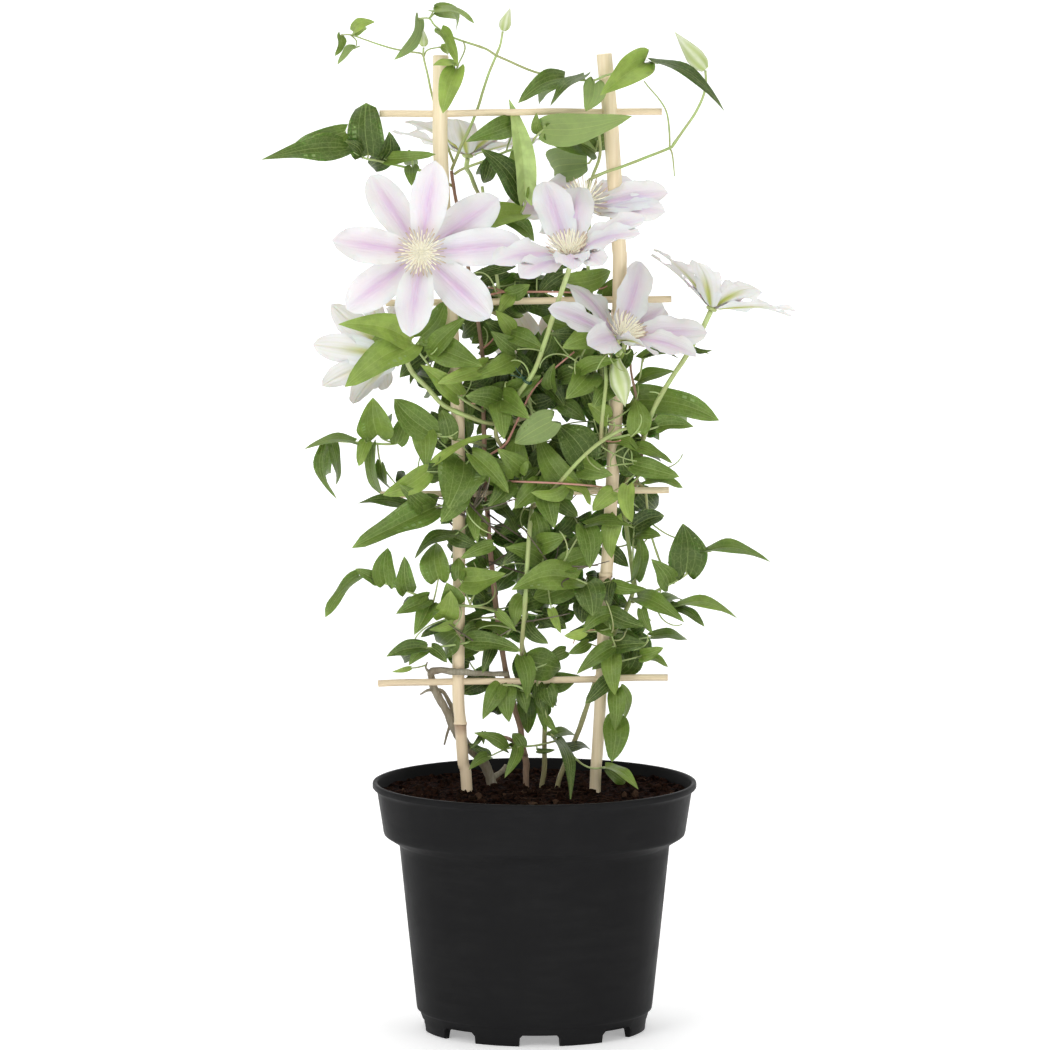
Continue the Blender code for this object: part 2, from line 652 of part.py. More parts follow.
SPRAYS = {
    "shoot_right_bud": (GREEN_STEM, (
        (1.2, 0.9, ((40, 604.5, 16.4), (38, 603, 8), (37, 603, -1), (41, 606, -8), (50, 610, -10),
                    (62, 614, -9),
                    (80, 621, -5), (95, 627, -2), (98, 630, -2), (105, 640, -2), (112, 650, -2),
                    (118, 662, -2),
                    (120.3, 672, -2), (120, 681.6, -2))),
        (0.7, 0.5, ((95, 627, -2), (95, 632, -2), (94.5, 642, -1), (92.5, 653, -1), (87, 662, -3),
                    (80, 670, -2),
                    (77, 674, 0))),
        (0.7, 0.4, ((95, 627, -2), (97, 622, -2), (98.5, 607, -3))),
    ), ()),
    "shoot_top": (YOUNG_GREEN, (
        (1.2, 0.8, ((-58.5, 611.5, 9), (-55, 620, 8), (-51, 630, 6), (-46, 640, 5), (-40, 655, 5),
                    (-36, 668, 6),
                    (-32, 680, 7), (-27, 692, 5), (-24, 700, 4), (-22.4, 708.9, 3))),
        (0.9, 0.6, ((-27, 692, 5), (-35, 697, 5), (-50, 702, 8), (-60, 706, 8), (-70, 713, 6), (-74, 718, 5),
                    (-82, 718, 4))),
        (0.9, 0.7, ((-27, 692, 5), (-20, 689, 5), (0, 680.5, 4), (21, 676, 3), (28, 675, 2), (38, 674.5, -4),
                    (43, 675, -8), (50, 678, -9), (62, 681, -7), (76, 685, -2), (82, 687, -2))),
        (0.6, 0.5, ((-50, 702, 8), (-49, 696, 0), (-54, 685, -9))),
    ), (
        ((-71, 723.5, 5), (-42, 716.5, -4), 15, 62), ((-82, 717, 4), (-91.5, 690, -6), 14, -55),
        ((-66, 709, 6), (-53, 687, -4), 12, 35), ((-55, 682, -10), (-65, 653, -16), 16, 10),
        ((-56, 685, -10), (-70, 688, -14), 10, 55), ((21, 676, 2), (-11, 659.5, -10), 15, 10),
        ((35, 678, -2), (10.5, 657, -12), 16, 58), ((42, 672, -7), (36, 653, -10), 17, 0),
        ((77, 687, -3), (48, 666, -15), 22, 0), ((82.5, 687.5, -2), (137, 665.5, -8), 16, 58),
    )),
    "shoot_small_bud": (YOUNG_GREEN, (
        (1.0, 0.7, ((-57, 617, 11.9), (-62, 630, 13.5), (-67, 645, 12), (-71, 660, 9), (-73, 668, 6),
                    (-75, 678, 4), (-78, 691, 2), (-78, 697.7, 1.5))),
        (0.7, 0.5, ((-78, 691, 2), (-80, 693.5, 2), (-90, 695, 0), (-100, 697, -2), (-110, 700, -3),
                    (-120, 703.5, -4), (-129, 706.5, -5), (-136, 706.5, -5))),
        (0.6, 0.5, ((-78, 691, 2), (-75, 696, 1), (-66, 698, 0))),
        (0.6, 0.4, ((-129, 706.5, -5), (-125, 702, -5), (-126, 697, -5))),
    ), (
        ((-127, 708.5, -5), (-114.5, 716, -12), 10, 25), ((-136.5, 706, -5), (-138, 692.5, -10), 9, -50),
        ((-126, 697.5, -4), (-139, 687, -12), 10, 50), ((-66, 698, 0), (-60, 692, 6), 7, 20),
    )),
    "spray_upper_left": (LEAF_GREEN, (
        (1.1, 0.7, ((-57.6, 600, 11.6), (-66, 605, 11.5), (-76, 610, 7), (-89, 613, 3), (-100, 615.5, 0),
                    (-110, 618, -3), (-120, 620, -6), (-132, 627.5, -8))),
        (0.8, 0.6, ((-100, 615.5, 0), (-106, 620, 0), (-110, 620, -2))),
    ), (
        ((-131, 627.5, -8), (-192, 619.5, -18), 19, 10), ((-117, 622, -5), (-118.5, 659, -8), 26, 0),
        ((-103, 620, 0), (-118, 613, 7), 15, 0), ((-106, 620, 0), (-102, 637, 6), 17, -20),
        ((-104, 619, -1), (-71, 624, -9), 11, 25), ((-86, 613, 2), (-87, 601, -3), 11, 20),
        ((-122, 622, -6), (-131, 632, 2), 10, 30),
    )),
    "spray_top_middle": (LEAF_GREEN, (
        (1.0, 0.8, ((-56.5, 608.5, 6.1), (-50, 612.5, 4), (-35, 618, 1), (-20, 624.5, -1), (-3, 630, -3),
                    (0, 634, -4), (6, 640, -5))),
        (0.7, 0.5, ((-20, 624.5, -1), (-18, 631, 1), (-14, 642, 4))),
    ), (
        ((6, 640, -5), (67, 650.5, -14), 24, 8), ((13, 639, -3), (45, 624, 2), 13, 50),
        ((6, 639, -3), (40, 640, 4), 16, -30), ((3, 638, -3), (1.5, 650, 4), 8, 0),
        ((-14, 644, 4), (-46, 634, -4), 17, 10), ((-30, 620, 0), (-37, 600, 4), 12, 0),
    )),
    "spray_behind_blooms": (LEAF_GREEN, (
        (1.0, 0.7, ((-34.5, 589, 7.2), (-30, 585, 2), (-20, 578, 0), (-10, 581, -3), (-6, 589, -6))),
        (0.7, 0.5, ((-20, 578, 0), (-12, 574, 4), (-4, 573, 6))),
    ), (
        ((-7, 591, -7), (-13, 663, -18), 17, -25), ((-8, 591, -5), (-37, 627, -1), 20, 15),
        ((-9, 580, -3), (-51, 561, -16), 18, 20), ((-22, 578, 1), (2, 562, 4), 14, 20),
        ((-18, 578, 2), (-30, 590, 12), 13, 0),
    )),
    "spray_upper_right": (LEAF_GREEN, (
        (1.0, 0.7, ((44.8, 632, 15.8), (43, 626, 19), (40, 619, 23), (38, 616, 26))),
    ), (
        ((37, 616, 27), (9, 603, 66), 26, 0), ((44, 628, 18), (57, 634, 26), 14, 10),
        ((42, 624, 20), (28, 634, 30), 15, 20),
    )),
    "spray_left": (LEAF_GREEN, (
        (1.2, 0.7, ((-36, 441, 5.9), (-42, 444, -3), (-50, 449, -9), (-62, 458, -10), (-78, 478, -12),
                    (-87, 490, -14))),
        (0.7, 0.5, ((-78, 478, -12), (-74, 482, -12), (-70, 486, -12))),
        (0.7, 0.5, ((-83, 484.5, -13), (-82, 490, -12), (-80, 494, -11))),
    ), (
        ((-88, 491, -14), (-134, 504, -24), 22, 12), ((-87, 489, -15), (-132, 463, -27), 25, 10),
        ((-70, 486, -12), (-37, 473, -20), 21, 8), ((-80, 494, -11), (-63, 519, -14), 16, 0),
        ((-73, 483, -11), (-52, 506, 2), 15, 10), ((-66, 463, -10), (-84, 468, 4), 15, -20),
        ((-54, 452, -9), (-76, 472, 8), 16, 10),
    )),
    "spray_left_upper": (LEAF_GREEN, (
        (1.2, 0.7, ((-35, 416, 6.0), (-44, 419, -6), (-55, 421, -9), (-70, 425, -7), (-90, 425, -4),
                    (-98, 418, -4),
                    (-115, 418, -6), (-129, 419, -8), (-147, 420, -8))),
        (0.7, 0.5, ((-98, 418, -4), (-107, 421, -3), (-111, 426, -2))),
        (0.7, 0.5, ((-111, 418, -6), (-109, 405, -4), (-102, 394, -2), (-97, 388, -1))),
    ), (
        ((-111, 424, -2), (-114, 449, 3), 26, 0), ((-97, 418, -5), (-92, 438, -10), 14, 10),
        ((-78, 426, -6), (-78, 403, -14), 18, 10), ((-72, 425, -7), (-99, 450, -12), 22, 10),
        ((-127, 419, -8), (-162, 418.5, -15), 15, 60), ((-147, 419.5, -8), (-141, 378, -12), 15, 55),
        ((-144, 420, -8), (-139, 388, 2), 12, -55), ((-119, 418.5, -7), (-124.5, 403, -11), 10, 10),
        ((-114, 418, -6), (-112, 377, 0), 15, 50), ((-108, 404, -4), (-102, 383, 2), 11, 55),
        ((-60, 422, -9), (-66, 442, -14), 15, 10), ((-97, 389, -1), (-88, 394, 8), 12, 10),
    )),
    "spray_left_middle": (LEAF_GREEN, (
        (1.1, 0.7, ((-33.2, 371, 7.6), (-40, 373, -4), (-50, 377, -9), (-60, 375, -10), (-70, 373, -10),
                    (-85, 371, -8))),
        (0.8, 0.6, ((-50, 377, -9), (-48, 390, -12), (-50, 403, -12))),
        (0.8, 0.5, ((-43, 374.5, -6), (-46, 362, -8), (-56, 353, -9))),
    ), (
        ((-50, 405, -12), (-61, 373, -24), 37, 10), ((-70, 373, -10), (-128, 348, -20), 21, 15),
        ((-85, 371, -8), (-125, 378, -8), 15, 52), ((-56, 353, -9), (-86, 340, -14), 14, 50),
        ((-41, 373, -6), (-41, 349, -14), 12, 10), ((-49, 392, -11), (-30, 404, -16), 15, 0),
        ((-46, 365, -8), (-30, 352, 2), 14, 10), ((-76, 372.5, -9), (-92, 386, 6), 15, 0),
    )),
    "spray_left_lower": (LEAF_GREEN, (
        (1.1, 0.6, ((-26.6, 299, 6.3), (-35, 301, -3), (-45, 302, -8), (-55, 303, -9), (-72, 304, -8),
                    (-83, 310, -7), (-105, 318, -7), (-124, 323.5, -8))),
        (0.8, 0.6, ((-45, 302, -8), (-49, 312, -10), (-53, 322, -10))),
        (0.7, 0.5, ((-72, 304, -8), (-70, 312, -9), (-68, 322, -9))),
    ), (
        ((-68, 322, -9), (-70, 348, -13), 21, 5), ((-54, 322, -10), (-54, 337, -13), 11, 10),
        ((-105, 319, -7), (-104, 343, -4), 17, 0), ((-112, 320.5, -7), (-126, 329, -12), 10, 20),
        ((-124, 323.5, -8), (-149, 295, -16), 15, 52), ((-76, 307, -8), (-98, 297, -15), 13, 20),
        ((-50, 320, -10), (-22, 326, -15), 20, 10), ((-58, 303.5, -9), (-62, 318, -2), 18, 0),
        ((-90, 313, -7), (-92, 334, 6), 15, 0),
    )),
    "spray_low_left": (LEAF_GREEN, (
        (1.1, 0.7, ((-23, 271, 6.4), (-34, 274, -4), (-46, 276, -8), (-60, 274, -8.5), (-78, 272, -8))),
        (0.7, 0.5, ((-50, 275.6, -8), (-58, 286, -9), (-66, 297, -9), (-74, 303, -9))),
        (0.8, 0.5, ((-28, 272.5, 1), (-18, 284, 0), (-9, 302, -1), (-8, 309, -2))),
    ), (
        ((-78, 272, -8), (-105, 266.5, -12), 12, 20), ((-76, 272, -8), (-89, 260, -10), 9, 0),
        ((-73, 272.5, -8), (-62, 262, -11), 9, 0), ((-74, 303, -9), (-85, 283, -17), 16, 10),
        ((-64, 294, -9), (-60, 311, -14), 18, 0), ((-55, 282, -9), (-68, 273, 4), 20, 0),
        ((-46, 276.5, -8), (-11, 272, -15), 14, 15), ((-30, 273, -1), (-37, 256, -6), 10, 10),
        ((-20, 282, 0), (-46, 291, 6), 14, 52), ((-8, 308, -2), (-14, 289, -8), 13, 10),
        ((-9, 303, -1), (12, 311, 3), 14, 20),
    )),
    "spray_low_middle": (LEAF_GREEN, (
        (1.0, 0.6, ((2.6, 234, 9.3), (-3, 239, 3), (-12, 245, 0), (-24, 246, -2))),
        (0.7, 0.5, ((-3, 239, 3), (2, 248, -2), (1, 258, -4), (-8, 266, -5))),
        (0.7, 0.5, ((-1, 237, 5), (5, 238, -1), (9, 243.5, -6))),
    ), (
        ((-24, 246, -2), (-37, 222, -7), 14, 10), ((-19, 244.5, -3), (-18, 220, -8), 15, 0),
        ((-9, 266, -5), (-6, 237, -10), 14, 5), ((-10, 242, -2), (-6, 226, -5), 11, 0),
        ((3, 246, -2), (7, 225, -6), 9, 10), ((5, 237.5, 1), (8, 213, -3), 9, 0),
        ((-5, 263, -5), (21, 257, 2), 24, 0), ((9, 243, -6), (13, 230, -3), 15, 0),
    )),
    "spray_low_front": (LEAF_GREEN, (
        (1.1, 0.6, ((9.6, 212, 16.5), (16, 206, 10), (25, 197, 2), (34, 189, -8), (42, 186, -13),
                    (50, 187, -15))),
        (0.8, 0.5, ((16, 206, 10), (4, 203, 6), (-8, 201.5, 2), (-20, 200, 0), (-33, 194, -3))),
    ), (
        ((50, 187, -15), (74, 174, -26), 13, 52), ((22, 200, 5), (41, 202, 12), 12, 52),
        ((15, 206.5, 10), (30, 172.5, -14), 12, 40), ((12, 209, 13), (33, 213, 24), 11, 50),
        ((-20, 200, 0), (-40, 212, -5), 10, 20), ((-8, 201.5, 2), (-16, 212, -2), 9, 0),
        ((-12, 201, 1), (-20, 182, -8), 9, 0), ((-33, 194, -3), (-46, 186, -10), 9, 20),
        ((-33, 194.5, -3), (-47, 204, 6), 8, 30),
    )),
    "spray_low_right": (LEAF_GREEN, (
        (1.1, 0.7, ((54, 273.5, 8.8), (57, 275, 1), (58, 272, -6), (57, 256, -9.5), (58, 243, -9.5),
                    (58, 221, -9))),
        (0.7, 0.5, ((57, 262, -8), (66, 264, -8), (76, 266.5, -7))),
        (0.7, 0.5, ((57, 275, 1), (70, 278, 4), (84, 280.5, 5))),
        (0.7, 0.5, ((57.5, 272, -6), (54, 284, -10), (53, 297, -11))),
    ), (
        ((55, 268, -9), (57, 241, -15), 15, 0), ((54, 250, -10), (36, 233, -14), 12, 10),
        ((57.5, 242, -10), (57, 214, -15), 13, 0), ((60, 243, -9), (63, 219, -4), 12, 45),
        ((58, 221, -9), (55, 191, -16), 19, 0), ((55, 273, -7), (31, 256, -13), 13, 10),
        ((58, 274, -5), (79, 275.5, -11), 14, 10), ((76, 267, -7), (90, 272, -11), 10, 0),
        ((75, 266, -7), (95, 259, -10), 12, 55), ((84, 280.5, 5), (110, 282, 9), 14, 52),
        ((53, 297, -11), (77, 288, -16), 14, 10), ((53, 297, -11), (34, 284, -15), 12, 10),
        ((55, 285, -10), (38, 296, -2), 15, 0),
    )),
    "spray_middle_right": (LEAF_GREEN, (
        (1.1, 0.7, ((47, 466, 6.9), (42, 466, -2), (36, 467, -9), (30, 470, -11), (24, 473, -11))),
        (0.7, 0.5, ((30, 470, -11), (34, 482, -13), (42, 494, -13))),
        (0.8, 0.5, ((42, 466, -2), (37, 474, 8), (33, 490, 13), (30, 505, 14), (28, 530, 12),
                    (23, 531.5, 8))),
    ), (
        ((42, 494, -13), (22, 487, -19), 18, 0), ((43, 495, -13), (57, 483, -17), 15, 0),
        ((33, 500, 12), (5, 508, 14), 17, 20), ((24, 531.5, 8), (55, 541, 4), 17, 0),
        ((32, 469, -12), (57, 477, -16), 12, 10), ((38, 467, -8), (24, 452, -16), 22, 0),
        ((28, 524, 12), (12, 538, 8), 15, 0), ((34, 487, 12), (14, 482, 14), 15, 10),
        ((33, 470, -10), (14, 462, -2), 14, 0),
    )),
    "spray_right_back": (LEAF_GREEN, (
        (1.1, 0.7, ((50.4, 424, 10.6), (56, 430, 12), (64, 440, 12), (70, 450, 10), (74, 463, 7),
                    (76, 476, 5))),
        (0.7, 0.5, ((56, 430, 12), (52, 445, 15), (53, 470, 14), (56, 500, 12), (57, 518, 11))),
    ), (
        ((71, 449, 9), (131, 435, 10), 22, 15), ((73, 462, 7), (98, 472, 6), 15, 48),
        ((76, 478, 5), (124, 485, 8), 14, 52), ((55, 519, 11), (62, 537, 13), 19, 0),
        ((64, 440, 12), (90, 420, 18), 18, 10), ((54, 490, 13), (34, 502, 22), 17, 0),
    )),
    "spray_right_middle": (LEAF_GREEN, (
        (1.2, 0.7, ((49.3, 415, 6.0), (47, 418, 0), (46, 420, -8), (52, 421, -10), (62, 423, -10),
                    (70, 425, -10),
                    (88, 430, -10))),
        (0.9, 0.6, ((46, 420, -8), (38, 411, -12), (31, 400, -14), (28, 386, -14))),
        (0.7, 0.5, ((62, 423, -10), (68, 414, -10), (70, 403, -11), (79, 392, -11))),
        (0.7, 0.5, ((50, 421, -9), (52, 440, -11), (54, 458, -12))),
    ), (
        ((28, 384, -14), (2, 426, -25), 20, 0), ((38, 406, -12), (17, 431, -17), 28, 0),
        ((73, 426, -10), (71, 450, -15), 18, 0), ((88, 430, -10), (111, 432, -14), 14, 25),
        ((54, 419, -10), (75, 414, -14), 12, 45), ((72, 416, -10), (98, 407, -14), 12, 45),
        ((70, 403, -11), (102, 395, -16), 15, 10), ((79, 391.5, -11), (105, 387, -14), 12, 50),
        ((33, 402, -13), (54, 396, -20), 17, 0), ((54, 458, -12), (42, 444, -18), 16, 0),
        ((51, 436, -10), (38, 446, -4), 15, 0),
    )),
    "spray_right_lower": (LEAF_GREEN, (
        (1.1, 0.6, ((69.4, 305, 8.7), (76, 308, 2), (84, 312, -3), (96, 318, -6), (105, 323, -7),
                    (114, 331, -8),
                    (122, 341, -8))),
        (0.7, 0.5, ((76, 308, 2), (88, 305, 0), (99, 301, -2))),
        (0.7, 0.5, ((74, 307, 4), (70, 330, 5), (70, 350, 3), (71, 359, 1))),
    ), (
        ((107, 327, -7), (105, 362, -13), 28, 0), ((122, 341, -8), (165, 342.5, -16), 16, 58),
        ((72, 352, 3), (89, 353, -3), 13, 45), ((71, 322, 5), (79, 351, 11), 16, 48),
        ((73, 308.5, 3), (103, 294, -16), 15, 15), ((90, 305, 0), (106, 310, 8), 12, 52),
        ((99, 301, -2), (142, 302, -9), 14, 58), ((97, 301.5, -2), (121, 290, -8), 12, 48),
        ((95, 318, -6), (84, 334, 4), 16, 0), ((71, 359, 1), (92, 368, 8), 14, 10),
    )),
    "spray_middle_lower": (LEAF_GREEN, (
        (1.1, 0.7, ((-5.8, 317, 4.0), (4, 321, -4), (16, 324, -8), (28, 322, -10), (37, 318, -11))),
        (0.8, 0.5, ((16, 324, -8), (24, 340, -11), (35, 358, -12))),
        (0.7, 0.5, ((4, 321, -4), (6, 334, -6), (4, 346, -7))),
    ), (
        ((30, 321, -10), (-16, 314, -19), 23, 10), ((37, 318, -11), (41, 296, -16), 23, 0),
        ((36, 358, -12), (39, 329, -18), 18, 0), ((37, 360, -12), (69, 361, -16), 14, 50),
        ((4, 346, -7), (22, 352, -12), 16, 0), ((5, 334, -6), (-18, 344, -12), 17, 10),
        ((4, 346, -7), (0, 370, -12), 16, 0), ((20, 332, -9), (44, 340, -4), 17, 0),
    )),
    "spray_centre": (LEAF_GREEN, (
        (1.1, 0.7, ((-8.2, 462, 5.3), (-15, 467, -4), (-24, 473, -8), (-34, 474, -9))),
        (0.7, 0.5, ((-20, 470.5, -6), (-17, 484, -5), (-16, 496, -4))),
        (0.7, 0.5, ((-15, 467, -4), (-18, 456, -7), (-24, 447, -8))),
    ), (
        ((-17, 496, -4), (6, 486, -9), 15, 15), ((-14, 478, -5), (-46, 467, -15), 15, 20),
        ((-34, 474, -9), (-67, 464, -16), 13, 20), ((-24, 447, -8), (-48, 452, -14), 18, 10),
        ((-22, 449, -8), (-4, 436, -14), 20, 0), ((-19, 454, -7), (4, 466, -12), 15, 0),
        ((-16, 498, -4), (-27, 512, 0), 12, 0), ((-24, 448, -8), (-22, 426, -15), 17, 0),
        ((-14, 484, -5), (-30, 497, 3), 14, 0),
    )),
    "spray_centre_lower": (LEAF_GREEN, (
        (1.1, 0.7, ((1, 398, 4.9), (-4, 400, -3), (-12, 398, -9), (-20, 392, -12))),
        (0.7, 0.5, ((-4, 400, -3), (2, 392, -9), (8, 384, -12))),
    ), (
        ((-20, 392, -12), (-38, 412, -18), 19, 0), ((-19, 391, -12), (-32, 374, -18), 17, 0),
        ((-12, 398, -9), (-12, 424, -14), 18, 0), ((8, 384, -12), (14, 358, -18), 18, 0),
        ((7, 386, -12), (22, 402, -16), 15, 0), ((4, 389, -10), (-14, 372, -14), 16, 0),
        ((-8, 399, -6), (-26, 414, 2), 15, 0),
    )),
}
# Ways to free a leaflet that touches another node: its tip's shift along the line of sight, and its turn
LEAF_TRIES = (
    (0, 0), (-6, 0), (6, 0), (-12, 0), (12, 0), (0, 20), (0, -20), (-18, 0), (18, 0), (-8, 20), (-8, -20),
    (8, 20),
    (8, -20), (-25, 10), (25, 10), (-33, 0), (33, 0), (-25, -30), (25, -30), (-42, 0), (42, 0), (0, 50),
    (0, -50),
)
LEAN = 2.2
LEAN_BACK = 1.2
UPRIGHT = 0.6
BACK_EVERY = 5
BACK_SEED = 11


def places(path):
    """A path's points in space. A bloom's name as its last point brings it to its seat behind that bloom."""
    if not isinstance(path[-1], str):
        return [at(*p) for p in path]
    centre, axis = BLOOMS[path[-1]][:2]
    centre, axis = at(*centre), unit(axis)
    seat = RECEPTACLE_BACK + FIT
    return [at(*p) for p in path[:-1]] + [centre - axis * (seat + STALK_NECK), centre - axis * seat]


def bowed(path, by):
    """A path whose middle is moved along the line of sight, most at half its length, with its ends kept."""
    length = len(path) - 1
    moved = []
    for i, p in enumerate(path):
        away = unit(p - EYE)
        moved.append(p + away * by * math.sin(math.pi * i / length))
    return moved


def clear_tube(name, path, r0, r1, sides):
    """A tube along the path, bowed by the least amount that keeps it clear of the other nodes."""
    first_hit = None
    for by in (0, -3, 3, -6, 6, -9, 9, -13, 13, -18, 18):
        now = bowed(path, by)
        grown = tube([now[0] + unit(now[1] - now[0]) * 2.5] + now[1:], [r0 + GUARD, r1 + GUARD], sides)
        shape = tube(now, [r0, r1], sides)
        hit = space.hits(grown, name) or space.hits(shape, name)
        if hit is None:
            return now, shape
        first_hit = first_hit or hit
    print("stem left as it is:", name, [round(float(c)) for c in path[0]], first_hit)
    return path, tube(path, [r0, r1], sides)


def nearest_on(paths, point):
    """The point nearest to this one on any of the paths, kept a little inside each stretch's far end."""
    best, found = 1e9, None
    for path in paths:
        for a, b in zip(path, path[1:]):
            most = 1 - ROOT_INSET / np.linalg.norm(b - a)
            share = np.clip((point - a) @ (b - a) / ((b - a) @ (b - a)), 0, most)
            on = a + (b - a) * share
            if np.linalg.norm(point - on) < best:
                best, found = np.linalg.norm(point - on), on
    return found


def leaflet(name, paths, base, tip, width, roll, own):
    """A stalked leaflet, its tip moved along the line of sight, or turned, until it is clear; else None."""
    stations = LEAF_STATIONS if width > WIDE_LEAF else SMALL_LEAF_STATIONS
    root = nearest_on(paths, base)
    for shift, turn in LEAF_TRIES:
        moved = tip + unit(tip - EYE) * shift

        def surface(u, v, moved=moved, turn=turn):
            return leaf_surface(base, moved, width, roll + turn, u, v)

        grown = stalked_blade(root, surface, stations, BLADE + 2 * GUARD)
        if any(space.hits(shape, name) for shape in grown):
            continue
        outer = blade(lambda u, v: surface(0.2 + 0.8 * np.asarray(u, float), v), stations, BLADE)
        tree = tree_of(outer)
        if any(tree.overlap(other) for other in own):
            continue
        return stalked_blade(root, surface, stations, BLADE)
    return None


def sepal_tips(name):
    """Where each sepal of a bloom starts and ends: a measured list, or a ring round the axis."""
    centre, axis, length, _, _, tips = BLOOMS[name]
    centre, axis = at(*centre), unit(axis)
    found = []
    if tips[0] == "ring":
        _, opening, phase, count, width = tips
        right = unit(np.cross(axis, (0.0, 0.0, 1.0) if abs(axis[2]) < 0.8 else (0.0, 1.0, 0.0)))
        if right[0] < 0:
            right = -right
        up = np.cross(right, axis)
        tilt = math.radians(opening)
        for k in range(count):
            around = math.radians(phase) + 2 * math.pi * k / count
            out = right * math.cos(around) + up * math.sin(around)
            found.append((centre + length * (axis * math.cos(tilt) + out * math.sin(tilt)), width))
    else:
        for x, z, side, width in tips:
            found.append((reach(centre, x, z, length, side), width))
    return centre, axis, found


def sepals_of(name):
    """The sepals of one bloom and the dome they spring from, each sepal's tip moved until it is clear."""
    cup = BLOOMS[name][3]
    centre, axis, tips = sepal_tips(name)
    shapes = [bud_shape(centre - axis * RECEPTACLE_BACK, centre + axis * RECEPTACLE_FRONT, RECEPTACLE, 6)]
    stations = REAR_SEPAL_STATIONS if axis[1] > 0.5 else SEPAL_STATIONS
    surfaces = []
    for i, (tip, width) in enumerate(tips):
        layer = 1.0 if i % 2 else -1.0
        start = centre + axis * (0.5 * layer - 0.5)
        bow = cup + 0.012 * layer
        for shift in (0, 5, -5, 10, -10, 15, -15, 20, -20, 27, -27, 35, -35):
            way = unit(tip + unit(tip - EYE) * shift - start)
            moved = start + way * np.linalg.norm(tip - start)
            root = start + way * CLAW

            def surface(u, v, moved=moved, root=root, bow=bow):
                return sepal_surface(root, moved, width, axis, bow, u, v)

            grown = blade(surface, stations, BLADE + 2 * GUARD)
            if space.hits(grown, name) is None:
                break
        else:
            print("sepal left out:", name, i, space.hits(grown, name))
            continue
        shapes.append(blade(surface, stations, BLADE))
        surfaces.append(surface)
    return shapes, surfaces


def reach(start, x, z, length, side):
    """The point seen at x, z that lies this far from the start, on its near or its far side."""
    seen = at(x, z)
    sight = unit(seen - EYE)
    foot = EYE + sight * ((start - EYE) @ sight)
    gap = np.linalg.norm(start - foot)
    return foot + sight * side * math.sqrt(max(length**2 - gap**2, 0.0))


def stamens_of(name):
    """A bloom's head: a dome with stamens in a golden-angle spiral, each kept off the sepals."""
    centre, axis, _, _, count, _ = BLOOMS[name]
    centre, axis = at(*centre), unit(axis)
    seat = centre + axis * (RECEPTACLE_FRONT + FIT)
    side = unit(np.cross(axis, (0.31, 0.2, 0.9)))
    other = np.cross(axis, side)
    shapes = [bud_shape(seat, seat + axis * HEAD_HEIGHT, HEAD_RADIUS, 6)]
    for k in range(count):
        share = (k + 0.5) / count
        around = k * math.pi * (3 - math.sqrt(5))
        size = STAMEN_LENGTH + OUTER_EXTRA * share
        for lean in (0, -8, -16, -24, -32, -40):
            tilt = math.radians(max(12 + 64 * share**0.7 + lean, 3))
            out = side * math.cos(around) + other * math.sin(around)
            way = axis * math.cos(tilt) + out * math.sin(tilt)
            bend = unit(way + axis * 0.25)
            root = seat + axis * 1.6 + out * 1.2 * share
            path = [root, root + way * size * 0.7, root + way * size * 0.7 + bend * size * 0.3]
            grown = tube(path, [STAMEN_RADIUS + GUARD] * 3, 3)
            if space.hits(grown, name) is None:
                shapes.append(stamen_shape(path))
                break
    return shapes


def stamen_shape(path):
    """A filament that widens into its anther, with a pointed end."""
    points, faces = tube_with(path[:2], [STAMEN_RADIUS * 0.7, STAMEN_RADIUS], 3)
    faces = faces[:-1]
    points = np.vstack([points, path[2]])
    faces += [(3, 4, 6), (4, 5, 6), (5, 3, 6)]
    return points, faces


def add_all(name, shapes):
    for shape in shapes:
        space.add(name, shape)


def trellis():
    holes = []
    for name in CANES:
        path, radii = cane(name)
        holes.append(soil_hole(path[:3], radii[:3], CANE_SIDES))
    for name, ends in RUNGS.items():
        shape = outward(rung_shape(ends, RUNG_RADIUS))
        object_of(name, shape[0], shape[1], BAMBOO)
        space.add(name, shape)
    return holes


def stems():
    """The shapes of each stem and branch, and the holes that those in the soil stand in."""
    shapes, holes = {}, []
    for name, (_, sides, paths) in STEMS.items():
        shapes[name] = []
        for r0, r1, path in paths:
            path = places(path)
            if shapes[name] and path[0][2] > SOIL_TOP:
                sides = 4
            shapes[name].append(tube(path, [r0, r1], sides))
            if path[0][2] < SOIL_TOP:
                radii = np.interp(range(4), (0, len(path) - 1), (r0, r1))
                holes.append(soil_hole(path[:4], list(radii), sides))
        for shape in shapes[name]:
            hit = space.hits(shape, name)
            if hit:
                print("stem crosses:", name, hit)
        add_all(name, shapes[name])
    return shapes, holes


def twist_tie():
    """A ring of plastic-coated wire round the front flower's stalk, with its two twisted ends."""
    a, b, around, thick = TWIST_TIE
    a, b = at(*a), at(*b)
    middle, along = (a + b) / 2, unit(b - a)
    side = unit(np.cross(along, (0.0, 1.0, 0.0)))
    other = np.cross(along, side)
    reach_out = around + FIT + thick + 0.5
    loop = []
    for k in range(8):
        angle = 2 * math.pi * k / 8
        loop.append(middle + reach_out * (math.cos(angle) * side + math.sin(angle) * other))
    ends = []
    for turn in (-0.5, 0.5):
        root = middle + side * reach_out
        ends.append(tube([root, root + side * 5 + along * turn * 3, root + side * 9 + along * turn * 7],
                         [thick, thick * 0.8], 3))
    return [ring_band(loop, thick, 4)] + ends


